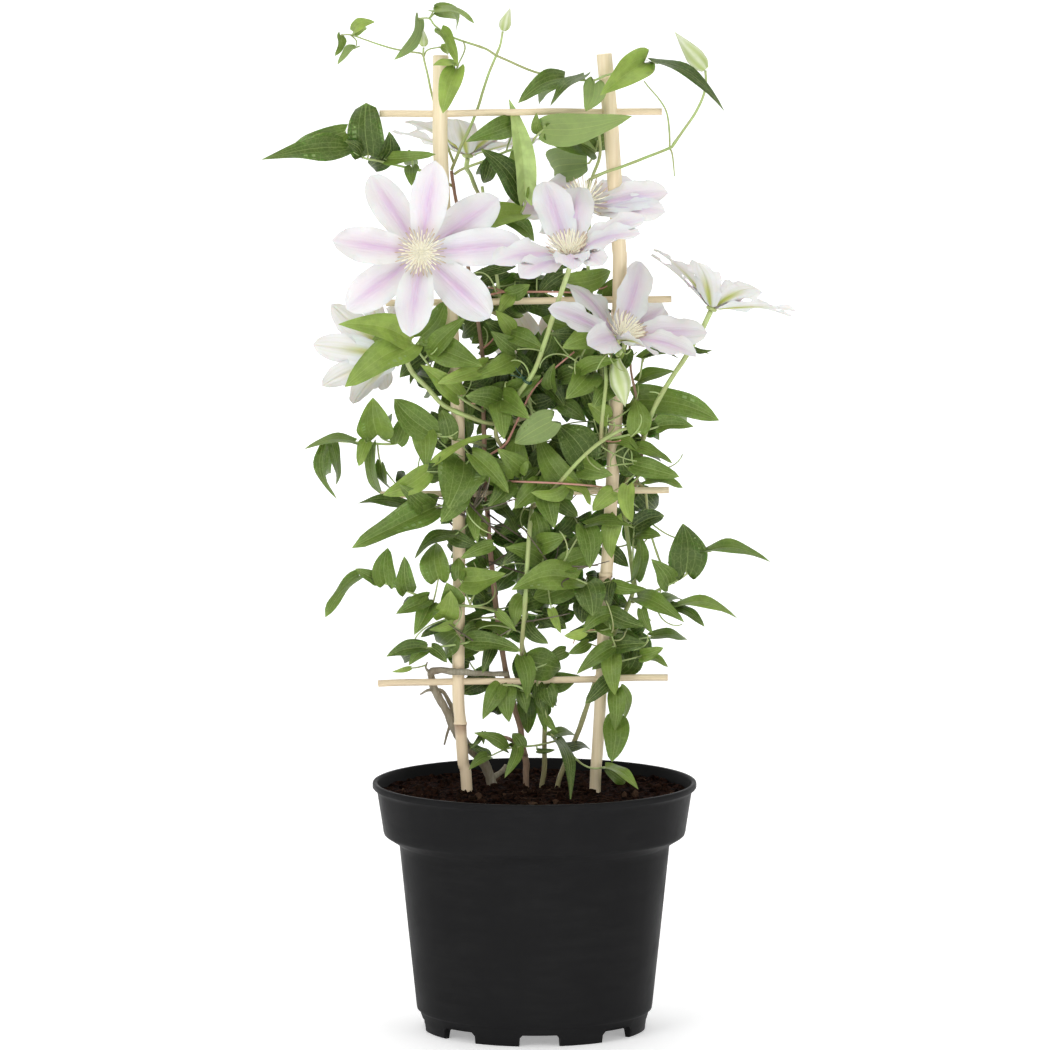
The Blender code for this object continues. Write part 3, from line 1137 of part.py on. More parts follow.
def back_leaves(name, paths, own, draw):
    """Leaflets behind those of the view, so that the spray is leafy from every side."""
    made = []
    for base, tip, width, roll in SPRAYS[name][2][::BACK_EVERY]:
        root, end = at(*base), at(*tip)
        share = draw.uniform(0.55, 0.8)
        behind = root + (end - root) * share + unit(root - EYE) * draw.uniform(24, 52)
        behind[2] -= draw.uniform(0, 10)
        start = root + unit(behind - root) * 3
        found = leaflet(name, paths, start, behind, max(width * 0.85, 10), draw.uniform(-25, 40), own)
        if found:
            made += found
            own.append(tree_of(found[0]))
    return made


def leaning(base, tip):
    """A leaflet's tip in space. One that points up leans back and others forward, so their faces see the sky."""
    x, z, depth = tip
    rises = z - base[1] > UPRIGHT * math.hypot(x - base[0], z - base[1])
    return at(x, z, base[2] + (depth - base[2]) * (-LEAN_BACK if rises else LEAN))


def spray(name):
    colour, paths, leaves = SPRAYS[name]
    shapes, lines = [], []
    for r0, r1, path in paths:
        path = places(path)
        if lines:
            path[0] = nearest_on(lines, path[0])
        line, shape = clear_tube(name, path, r0, r1, 3 if shapes else 4)
        shapes.append(shape)
        lines.append(line)
    own = []
    for i, (base, tip, width, roll) in enumerate(leaves):
        found = leaflet(name, lines, at(*base), leaning(base, tip), width, roll, own)
        if found is None:
            print("leaflet left out:", name, i)
            continue
        shapes += found
        own.append(tree_of(found[0]))
    draw = random.Random(BACK_SEED + len(name))
    shapes += back_leaves(name, lines, own, draw)
    add_all(name, shapes)
    fused(name, shapes, colour)


def main():
    holes = trellis()
    shapes, stem_holes = stems()
    tie = twist_tie()
    add_all("twist_tie", tie)
    sepals = {}
    for name in BLOOMS:
        sepals[name] = sepals_of(name)[0]
        add_all(name + "_sepals", sepals[name])
    for name in BLOOMS:
        fused(name + "_sepals", sepals[name], PETAL)
        head = stamens_of(name)
        add_all(name + "_stamens", head)
        fused(name + "_stamens", head, CREAM)
    for name, (base, tip, radius) in BUDS.items():
        shape = outward(bud_shape(at(*base), at(*tip), radius, 8))
        object_of(name, shape[0], shape[1], BUD_GREEN)
        space.add(name, shape)
    for name in SPRAYS:
        spray(name)
    for name, (colour, _, _) in STEMS.items():
        fused(name, shapes[name], colour)
    fused("twist_tie", tie, TIE_GREEN)
    pot()
    soil(holes + stem_holes)
    for node in bpy.data.objects:
        node.data.shade_smooth()
        node.data.set_sharp_from_angle(angle=math.radians(SHARP_ANGLE))


main()
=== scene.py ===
# %% [markdown]
# # A clematis on a bamboo trellis
# This lesson dresses a potted climber: eight pale blooms and several hundred leaflets on thin stems, two
# bamboo canes with four rungs, a black nursery pot and its peat. The solids that carry it are already packed
# as a fixed frame, so every piece here is made in that frame's own metres and needs no fitting.

# %% The frame
import math
import random

import bpy
import numpy as np
from mathutils.bvhtree import BVHTree
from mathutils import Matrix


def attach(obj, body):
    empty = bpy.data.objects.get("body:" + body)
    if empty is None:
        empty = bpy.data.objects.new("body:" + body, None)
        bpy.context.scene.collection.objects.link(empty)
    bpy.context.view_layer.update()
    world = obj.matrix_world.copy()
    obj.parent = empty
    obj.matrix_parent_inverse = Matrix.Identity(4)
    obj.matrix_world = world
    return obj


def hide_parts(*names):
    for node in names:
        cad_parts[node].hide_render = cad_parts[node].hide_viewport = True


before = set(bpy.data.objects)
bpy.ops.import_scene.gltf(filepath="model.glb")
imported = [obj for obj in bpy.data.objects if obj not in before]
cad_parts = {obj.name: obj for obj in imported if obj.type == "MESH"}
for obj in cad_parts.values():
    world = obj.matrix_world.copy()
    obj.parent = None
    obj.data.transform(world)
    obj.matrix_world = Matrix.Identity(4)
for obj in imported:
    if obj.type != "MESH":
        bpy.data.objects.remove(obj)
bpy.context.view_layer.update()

print("frame:", len(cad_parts), "nodes")

# %% [markdown]
# ## The view
# The plant was seen from straight ahead, a little above the middle, with a long lens. A long lens from far
# away keeps the canes nearly parallel. The same eye point also serves later: the plant's places were read
# along the lines of sight from it, so the code that puts a leaf in its place starts from there.

# %% Camera
MM = 0.001
EYE = np.array([-6.75, -5500.0, 1002.0])
AIM_HEIGHT = 0.360
LENS, FILM_WIDTH, FARTHEST = 268.4, 36, 60  # mm, mm and m

lens = bpy.data.cameras.new("camera")
lens.lens = LENS
lens.sensor_width = FILM_WIDTH
lens.clip_end = FARTHEST
camera = bpy.data.objects.new("camera", lens)
bpy.context.scene.collection.objects.link(camera)
camera.location = EYE * MM
camera.rotation_euler = (math.pi / 2 - math.atan2(EYE[2] * MM - AIM_HEIGHT, -EYE[1] * MM), 0, 0)
bpy.context.scene.camera = camera
print("camera at", tuple(round(c, 3) for c in camera.location))

# %% [markdown]
# ## The studio
# A product shot of a plant is lit from all round so that no leaf falls into deep shade. One pale sheet runs
# from the floor up far behind the pot with no corner, so far that the plant can also be seen from behind.
# Large soft lamps stand at both sides of the camera and above, and a weak one stands low in front for the
# foot of the pot. They hardly reach the far part of the sheet, so the paper glows more there than near the
# pot.

# %% Backdrop and lamps
SWEEP_FRONT, SWEEP_BACK, SWEEP_RADIUS, SWEEP_TOP, SWEEP_HALF = -21.0, 5.4, 3.6, 13.0, 21.0
GLOW_NEAR, GLOW_FAR = (1.2, 0.34), (3.6, 0.64)
PAPER = (0.93, 0.93, 0.93)
LAMPS_AIM = (0.0, 0.0, 0.4)
AMBIENT = 0.36


def sweep_profile(steps):
    """Depth and height along the sheet: flat floor, then a quarter circle, then straight up."""
    turn = np.linspace(0, np.pi / 2, steps)
    curve = np.stack([SWEEP_BACK + SWEEP_RADIUS * np.sin(turn), SWEEP_RADIUS * (1 - np.cos(turn))], axis=1)
    return np.vstack([[SWEEP_FRONT, 0.0], curve, [SWEEP_BACK + SWEEP_RADIUS, SWEEP_TOP]])


def paper_finish(name, colour):
    """Matt paper that glows faintly: each GLOW pair is a distance from the middle and the glow there."""
    made = bpy.data.materials.new(name)
    made.use_nodes = True
    tree = made.node_tree
    shader = tree.nodes["Principled BSDF"]
    shader.inputs["Base Color"].default_value = (*colour, 1)
    shader.inputs["Roughness"].default_value = 0.9
    shader.inputs["Emission Strength"].default_value = 1.0
    away = tree.nodes.new("ShaderNodeVectorMath")
    away.operation = "LENGTH"
    tree.links.new(tree.nodes.new("ShaderNodeTexCoord").outputs["Object"], away.inputs[0])
    glow = tree.nodes.new("ShaderNodeMapRange")
    for socket, value in zip(("From Min", "To Min", "From Max", "To Max"), GLOW_NEAR + GLOW_FAR):
        glow.inputs[socket].default_value = value
    tree.links.new(away.outputs["Value"], glow.inputs["Value"])
    tree.links.new(glow.outputs["Result"], shader.inputs["Emission Color"])
    return made


profile = sweep_profile(24)
count = len(profile)
sheet_points = np.zeros((count, 2, 3))
sheet_points[:, 0, 0], sheet_points[:, 1, 0] = -SWEEP_HALF, SWEEP_HALF
sheet_points[:, :, 1:] = profile[:, None, :]
row = np.arange(count - 1) * 2
sheet_mesh = bpy.data.meshes.new("backdrop")
sheet_faces = np.stack([row, row + 1, row + 3, row + 2], axis=1)
sheet_mesh.from_pydata(sheet_points.reshape(-1, 3).tolist(), [], sheet_faces.tolist())
sheet_mesh.shade_smooth()
sheet_mesh.materials.append(paper_finish("backdrop", PAPER))
backdrop = bpy.data.objects.new("backdrop", sheet_mesh)
bpy.context.scene.collection.objects.link(backdrop)


def lamp(name, place, size, power):
    """A square area lamp at a place, turned to look at the plant's middle."""
    light = bpy.data.lights.new(name, "AREA")
    light.shape = "SQUARE"
    light.size = size
    light.energy = power
    made = bpy.data.objects.new(name, light)
    bpy.context.scene.collection.objects.link(made)
    away = np.array(place) - np.array(LAMPS_AIM)
    made.location = place
    made.rotation_euler = (math.acos(away[2] / np.linalg.norm(away)), 0, math.atan2(away[0], -away[1]))
    return made


lamp("key", (-2.2, -3.0, 2.3), 2.0, 56)
lamp("fill", (2.6, -2.6, 1.5), 2.0, 24)
lamp("top", (0.0, 0.2, 3.2), 2.4, 34)
lamp("front", (0.2, -3.4, 0.15), 1.2, 15)
world = bpy.data.worlds.new("studio")
world.use_nodes = True
world.node_tree.nodes["Background"].inputs["Color"].default_value = (1, 1, 1, 1)
world.node_tree.nodes["Background"].inputs["Strength"].default_value = AMBIENT
bpy.context.scene.world = world
bpy.context.scene.view_settings.view_transform = "Standard"

# %% [markdown]
# ## From arrays to a piece
# Every surface below is worked out as whole numpy arrays in millimetres. One helper turns such arrays into a
# mesh, writes values per point for the shader to read, sets the finish, and lets the piece ride on the
# plant's only body. Hundreds of small shapes, such as leaflets, are gathered first and become one mesh.

# %% Gathering shapes and making pieces
class Gather:
    """Collects shapes, each as points, faces and values per point, into one set of arrays."""

    def __init__(self):
        self.points, self.faces, self.values, self.count = [], [], [], 0

    def add(self, points, faces, **values):
        points = np.asarray(points, float).reshape(-1, 3)
        self.points.append(points)
        self.faces += [[self.count + int(i) for i in face] for face in faces]
        self.values.append(values)
        self.count += len(points)

    def value(self, key):
        """One value for every point of every shape; a single number is repeated over its shape."""
        rows = []
        for points, values in zip(self.points, self.values):
            given = np.asarray(values[key], float)
            rows.append(np.full(len(points), given) if given.ndim == 0 else given)
        return np.concatenate(rows)


def piece(name, gathered, finish, slot, *nodes):
    """A mesh piece from gathered shapes, with their values as attributes; it stands for the nodes named."""
    mesh = bpy.data.meshes.new(name)
    points = np.concatenate(gathered.points) * MM
    mesh.from_pydata(points.tolist(), [], gathered.faces)
    mesh.shade_smooth()
    for key in gathered.values[0]:
        values = gathered.value(key)
        if key == "rim":
            ends = np.array([edge.vertices[:] for edge in mesh.edges])
            sharp = values[ends].all(axis=1)
            mesh.attributes.new("sharp_edge", "BOOLEAN", "EDGE").data.foreach_set("value", sharp)
            continue
        kind, field = ("FLOAT_VECTOR", "vector") if values.ndim == 2 else ("FLOAT", "value")
        mesh.attributes.new(key, kind, "POINT").data.foreach_set(field, values.astype(np.float32).ravel())
    mesh.materials.append(finish)
    made = bpy.data.objects.new(name, mesh)
    bpy.context.scene.collection.objects.link(made)
    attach(made, "root")
    if nodes:
        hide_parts(*nodes)
    return made


def ring_quads(rings, sides):
    """Corner numbers of the quads between rings; each ring's last point is joined to its first."""
    i, j = np.meshgrid(np.arange(rings - 1) * sides, np.arange(sides), indexing="ij")
    k = (j + 1) % sides
    return np.stack([i + j, i + k, i + sides + k, i + sides + j], -1).reshape(-1, 4).tolist()


def pole_faces(rings, sides):
    """Quads between rings, and a fan from each end ring to a pole; both poles come after all the rings."""
    n, k = rings * sides, np.arange(sides)
    j, last = (k + 1) % sides, n - sides
    foot = np.stack([j, k, np.full(sides, n)], -1)
    end = np.stack([last + k, last + j, np.full(sides, n + 1)], -1)
    return ring_quads(rings, sides) + foot.tolist() + end.tolist()


def unit(v):
    v = np.asarray(v, float)
    return v / np.linalg.norm(v, axis=-1, keepdims=True)


def at(x, z, depth=0.0):
    """The place, in mm, seen at x, z on the trellis plane, moved by depth along the line of sight."""
    seen = np.array([x, 0.0, z])
    return EYE + (seen - EYE) * (1 + depth / -EYE[1])


# %% [markdown]
# ## Tubes
# Stems, canes, stalks and stamens are all one thing: a ring carried along a path. If each ring found its own
# sideways direction, neighbours could disagree and the tube would pinch. So the first ring picks a direction,
# and each next one keeps as much of it as its own slope allows.

# %% A ring carried along a path
def carried(path):
    """Unit directions along the path and two across it; the across one is handed on without twisting."""
    ahead = np.empty_like(path)
    ahead[1:-1] = path[2:] - path[:-2]
    ahead[0], ahead[-1] = path[1] - path[0], path[-1] - path[-2]
    ahead = unit(ahead)
    across = np.empty_like(path)
    now = unit(np.cross(ahead[0], (0.3, 1.0, 0.1)))
    for i, way in enumerate(ahead):
        now = unit(now - way * (now @ way))
        across[i] = now
    return ahead, across, np.cross(ahead, across)


def ring_points(path, radii, across, other, sides):
    """Rings of points p + r (cos a * across + sin a * other), as a rings by sides by 3 array."""
    a = 2 * np.pi * np.arange(sides) / sides
    ring = np.cos(a)[:, None] * across[:, None] + np.sin(a)[:, None] * other[:, None]
    return path[:, None] + np.asarray(radii)[:, None, None] * ring


def swollen(path, rings, factor):
    """Rings whose points are moved away from the path, each by its own factor."""
    return path[:, None] + (rings - path[:, None]) * factor[..., None]


def tube_faces(rings, sides):
    """The first ring as a face turned round, the quads between the rings, and the last ring as a face."""
    start = np.arange(sides)
    return [start[::-1].tolist()] + ring_quads(rings, sides) + [(start + (rings - 1) * sides).tolist()]


def tube(path, radii, sides):
    """A closed tube with flat ends. Its radii are spread evenly over the path."""
    path = np.asarray(path, float)
    radii = np.interp(np.linspace(0, 1, len(path)), np.linspace(0, 1, len(radii)), radii)
    _, across, other = carried(path)
    return ring_points(path, radii, across, other, sides).reshape(-1, 3), tube_faces(len(path), sides)


def smooth_path(path, steps):
    """Catmull-Rom curve: through every point, leaving each along the line between its neighbours."""
    path = np.asarray(path, float)
    ends = np.vstack([2 * path[0] - path[1], path, 2 * path[-1] - path[-2]])
    t = (np.arange(steps) / steps)[:, None]
    a, b, c, d = ends[:-3, None], ends[1:-2, None], ends[2:-1, None], ends[3:, None]
    curve = b + (c - a) * t / 2 + (2 * a - 5 * b + 4 * c - d) * t**2 / 2 + (3 * b - a - 3 * c + d) * t**3 / 2
    return np.vstack([curve.reshape(-1, path.shape[1]), path[-1]])

# %% [markdown]
# ## Where everything grows
# The tables give the plant as it was read from straight ahead: x and z on the trellis plane and a depth along
# the line of sight, in millimetres. They are the same tables that the solids were built from, so the fine
# pieces take the same places. What can't be read from one side, such as how far a leaf swings behind its
# neighbour, is settled by the same simple rule as in the solids: try a few positions, and keep the first that
# touches nothing.

# %% Sizes that the solids share
RUNG_RADIUS = 2.2
FIT = 0.3
GUARD = 0.45
BLADE = 0.8
STALK_HALF = 0.55
SHORT_STALK = 4.0
ROOT_INSET = 1.3
CANE_SIDES = 8
CANE_FOOT = 45.0
LEAF_STATIONS = (0.20, 0.52, 0.82)
SMALL_LEAF_STATIONS = (0.30, 0.72)
WIDE_LEAF = 17.0
SEPAL_STATIONS = (0.28, 0.58, 0.86)
REAR_SEPAL_STATIONS = (0.36, 0.80)
SOIL_TOP = 169.0
RECEPTACLE = 4.2
RECEPTACLE_BACK = 2.2
RECEPTACLE_FRONT = 3.0
STALK_NECK = 7.0
CLAW = 2.0
HEAD_RADIUS = 3.0
HEAD_HEIGHT = 5.0
STAMEN_RADIUS = 0.55
STAMEN_LENGTH = 13.0
OUTER_EXTRA = 6.5
LEAN = 2.2
LEAN_BACK = 1.2
UPRIGHT = 0.6
BACK_EVERY = 5
BACK_SEED = 11

# %% Canes and rungs: (x, z, radius) up each cane; the left and the right end of each rung
CANES = {
    "cane_left": (
        (-44.5, CANE_FOOT, 4.0), (-48.0, 171.0, 4.0), (-50.5, 190.0, 4.1), (-52.3, 214.5, 4.2),
        (-52.5, 218.0, 4.9),
        (-52.7, 221.5, 4.2), (-54.0, 240.0, 4.3), (-53.7, 300.0, 4.4), (-53.5, 340.0, 4.5),
        (-54.0, 430.0, 4.7),
        (-56.0, 464.0, 4.8), (-56.3, 467.5, 5.4), (-56.6, 471.0, 4.8), (-62.0, 550.0, 5.1),
        (-66.0, 620.0, 5.3), (-66.5, 650.0, 5.4), (-66.0, 692.0, 5.5),
    ),
    "cane_right": (
        (39.0, CANE_FOOT, 4.0), (43.0, 171.0, 4.0), (44.8, 200.0, 4.1), (47.0, 240.0, 4.2),
        (50.0, 320.0, 4.4),
        (50.4, 323.5, 5.0), (50.8, 327.0, 4.4), (52.5, 350.0, 4.5), (57.5, 440.0, 4.8), (60.0, 540.0, 5.0),
        (59.3, 560.0, 5.1), (55.3, 620.0, 5.3), (53.0, 650.0, 5.4), (48.7, 693.0, 5.5),
    ),
}
RUNGS = {
    "rung_low": ((-111.0, 246.7), (94.5, 251.0)),
    "rung_second": ((-109.0, 381.0), (95.0, 385.0)),
    "rung_third": ((-105.0, 517.5), (96.5, 520.5)),
    "rung_top": ((-109.0, 651.3), (89.5, 653.0)),
}

# %% Stems: finish, sides, then for each branch its radius at the start and end and its points
STEMS = {
    "stem_old_wood": ("old_wood", 5, (
        (4.4, 1.7, ((-28, 140, 28), (-30, 173, 24), (-36, 190, 19), (-45, 200, 14), (-53, 208, 10.5),
            (-58, 218, 8.5), (-63, 228, 7.5), (-68, 237, 7), (-71, 243, 6.8), (-72.5, 249, 6.2),
            (-73.5, 254.5, 3), (-68, 256.5, -3), (-60, 255.6, -7.2), (-50, 255, -7.4), (-42, 254.2, -5),
            (-32, 253.8, -1), (-18, 253.6, 0))),
        (2.0, 1.4, ((-47, 202, 13), (-52, 214, 14), (-58, 228, 13), (-64, 240, 10), (-70, 243, 7))),
        (1.3, 0.6, ((-71, 242, 7), (-76, 242, 4), (-81, 239, 1))),
        (1.3, 0.6, ((-59, 219, 8.5), (-62, 211, 11), (-64, 203, 13))),
        (1.2, 0.5, ((-73.5, 254, 3), (-77, 258, 0), (-76, 262, -3))),
        (2.6, 1.6, ((-32, 178, 22), (-24, 183, 26), (-20, 188, 31))),
    )),
    "stem_brown": ("brown_bark", 5, (
        (2.4, 1.2, ((-5, 138, 25), (-6, 172, 22), (-6, 190, 20), (-8, 200, 18), (-10, 215, 16),
            (-14, 230, 14), (-18, 245, 12), (-22, 265, 10), (-27, 300, 10), (-32, 350, 10), (-35, 400, 10),
            (-36, 440, 9), (-36, 470, 8), (-37, 483, 8), (-37.3, 486, 8), (-40, 505, 8), (-48, 550, 8),
            (-56, 594, 9), (-57, 600, 9), (-58.6, 611, 9))),
        (0.9, 0.6, ((-36, 408, 9), (-28, 412, -2), (-20, 418, -4), (-15, 428, -5), (-8, 443, -5),
            (-2, 455, -6), (8, 466, -7), (28, 483, -8))),
        (0.9, 0.5, ((-37, 485, 8), (-31, 490, 8), (-28, 494, 7))),
        (0.8, 0.6, ((-42, 514, 8), (-36, 521, 5.5), (-25, 525, 4.6), (-10, 525.5, 3), (10, 525.5, 1),
            (30, 525, 0))),
        (1.8, 0.9, ((-6, 195, 19), (-12, 203, 12), (-20, 208, 6), (-30, 209, 3))),
    )),
    "vine_middle": ("green_stem", 5, (
        (1.9, 1.2, ((5, 140, 33), (5, 171, 30), (7, 185, 26), (7, 205, 20), (7, 220, 16), (3, 235, 12),
            (0, 245, 9), (-5, 262, 6.5), (-9, 275, 6.5), (-7, 285, 6.5), (-6, 300, 6.5), (-6, 325, 7),
            (-4, 350, 8), (-2, 370, 8), (0, 385, 8), (1, 405, 8), (0, 430, 8), (-4, 448, 8), (-10, 470, 8),
            (-18, 490, 8), (-23, 510, 8), (-25, 525, 9), (-28, 545, 9), (-33, 575, 9), (-37, 600, 9))),
        (1.5, 1.9, ((1, 405, 8), (-8, 408, 5), (-20, 413, 1), (-27, 423, -3), (-25, 434, -8), (-10, 455, -15),
            (0, 470, -19), (8, 492, -27), (13, 508, -36), (17, 520, -44), "bloom_middle")),
        (1.4, 1.9, ((-1, 438, 8), (-14, 434, 4), (-30, 432, -1), (-44, 436, -8.8), (-64, 445, -9.4),
            (-75, 457, -10), (-86, 468, -13), "bloom_left")),
        (1.3, 1.7, ((-22, 507, 8), (-32, 512, 4), (-44, 516, -4), (-54, 521, -9.6), (-64, 529, -12),
            (-72, 540, -22), "bloom_front")),
        (1.3, 1.7, ((-35, 588, 9), (-38, 592, 14), (-42, 600, 26), (-45, 608, 44), "bloom_top")),
        (1.3, 1.6, ((-4, 447, 8), (-3, 453, 15), (2, 462, 16), "bloom_back")),
    )),
    "vine_right": ("green_stem", 5, (
        (1.9, 1.1, ((16, 140, 32), (16, 171, 26), (22, 190, 22), (32, 215, 18), (42, 245, 14), (55, 280, 11),
            (66, 302, 10), (70, 318, 9), (66, 350, 9), (63, 370, 9.5), (59, 388, 10), (54, 402, 10),
            (50, 415, 9), (48, 430, 9), (48, 455, 9.5), (46, 480, 10.5), (42, 510, 13), (38, 540, 17),
            (36, 562, 20), (34, 585, 22), (40, 605, 18), (46, 622, 14), (45, 640, 13))),
        (1.4, 1.9, ((60.5, 383, 9.5), (66, 393, 7), (72, 408, 2), (77, 421, -2), (82, 437, -6), (88, 450, -8),
            (97, 465, -9), (107, 480, -10), (118, 499, -11), "bloom_right")),
        (1.2, 1.6, ((36, 560, 20), (38, 566, 15), (38.5, 574, 12), "bloom_behind")),
        (1.2, 1.7, ((46.5, 474, 10), (48, 478, 4), (49, 481, -8), "bloom_low_right")),
        (1.2, 1.5, ((46, 488, 10.5), (48, 497, 3), (54, 500, -7), (62, 496, -15), (63.5, 489, -17),
            (61, 483, -17.5), (57.6, 479.6, -18))),
        (1.1, 0.6, ((60, 385, 9.8), (65, 386.5, 10), (72, 389.5, 8), (78, 385, 5), (80, 370, 3), (82, 355, 2),
            (88, 336, 1), (91, 330, 0), (90, 318, -1), (88, 308, -2))),
    )),
    "stem_right_brown": ("brown_bark", 4, (
        (1.2, 0.8, ((65.6, 372, 9.6), (70, 385, 12.5), (74.5, 402, 9), (76.5, 420, 6), (74, 440, 3),
            (71, 455, 0), (68, 470, -1), (67, 488, -2))),
    )),
}
TWIST_TIE = ((-10, 455, -15), (0, 470, -19), 1.9, 0.45)

# %% Blooms: place, axis, sepal length, bow, stamens of the solid, then tips as (x, z, side, width)
BLOOMS = {
    "bloom_front": ((-80, 553, -45), (0.0, -1.0, 0.10), 68, 0.03, 15, (
        (-70, 618, -1, 27), (-25, 592, 1, 29), (-8, 560, -1, 27), (-31, 507, 1, 30), (-88, 494, -1, 27),
        (-133, 513, 1, 28), (-142.5, 562, -1, 26), (-116, 608, 1, 26))),
    "bloom_top": ((-47, 622, 64), (0.08, 0.26, 0.96), 58, 0.05, 8, ("ring", 75, 10, 8, 24)),
    "bloom_middle": ((24.5, 549, -56), (0.0, -0.62, 0.78), 66, 0.08, 12, (
        (6, 604, 1, 28), (32, 600, 1, 26), (78, 578, -1, 27), (74, 567, -1, 24), (48, 545, -1, 24),
        (27, 541.5, -1, 26), (-10, 536, -1, 25), (-30, 546, -1, 28))),
    "bloom_behind": ((36, 586, -2), (-0.15, -0.85, 0.5), 64, 0.05, 8, (
        (97, 596, -1, 24), (84, 604, 1, 26), (8, 603, 1, 22), (-24, 584, 1, 24), (92, 582, -1, 22),
        (4, 570, 1, 22))),
    "bloom_right": ((125, 514, -10), (0.40, 0.18, 0.90), 62, 0.05, 8, ("ring", 71, 25, 8, 25)),
    "bloom_low_right": ((58, 492, -28), (0.62, -0.6, 0.5), 64, 0.07, 10, (
        (10, 514, -1, 22), (22, 531, 1, 24), (71, 533, 1, 27), (98, 518, 1, 24), (122, 497, 1, 26),
        (114, 480, -1, 26), (84, 482, -1, 22), (38, 488, -1, 24))),
    "bloom_left": ((-97, 480, -12), (-0.6, 0.79, 0.08), 61, 0.04, 4, ("ring", 42, -5, 8, 22)),
    "bloom_back": ((6, 471, 30), (0.02, 0.97, 0.23), 58, 0.03, 4, ("ring", 40, 22, 7, 20)),
}

# %% Buds: base, tip, radius
BUDS = {
    "bud_top": ((-22.2, 709.6, 3.0), (-17, 726, 1), 4.5),
    "bud_small": ((-78, 698.4, 1.5), (-78, 710.5, 1), 3.7),
    "bud_right": ((119.8, 682.4, -2), (98, 709, -4), 7.0),
    "bud_nodding": ((57.4, 478.0, -18), (64, 444, -22), 7.6),
}

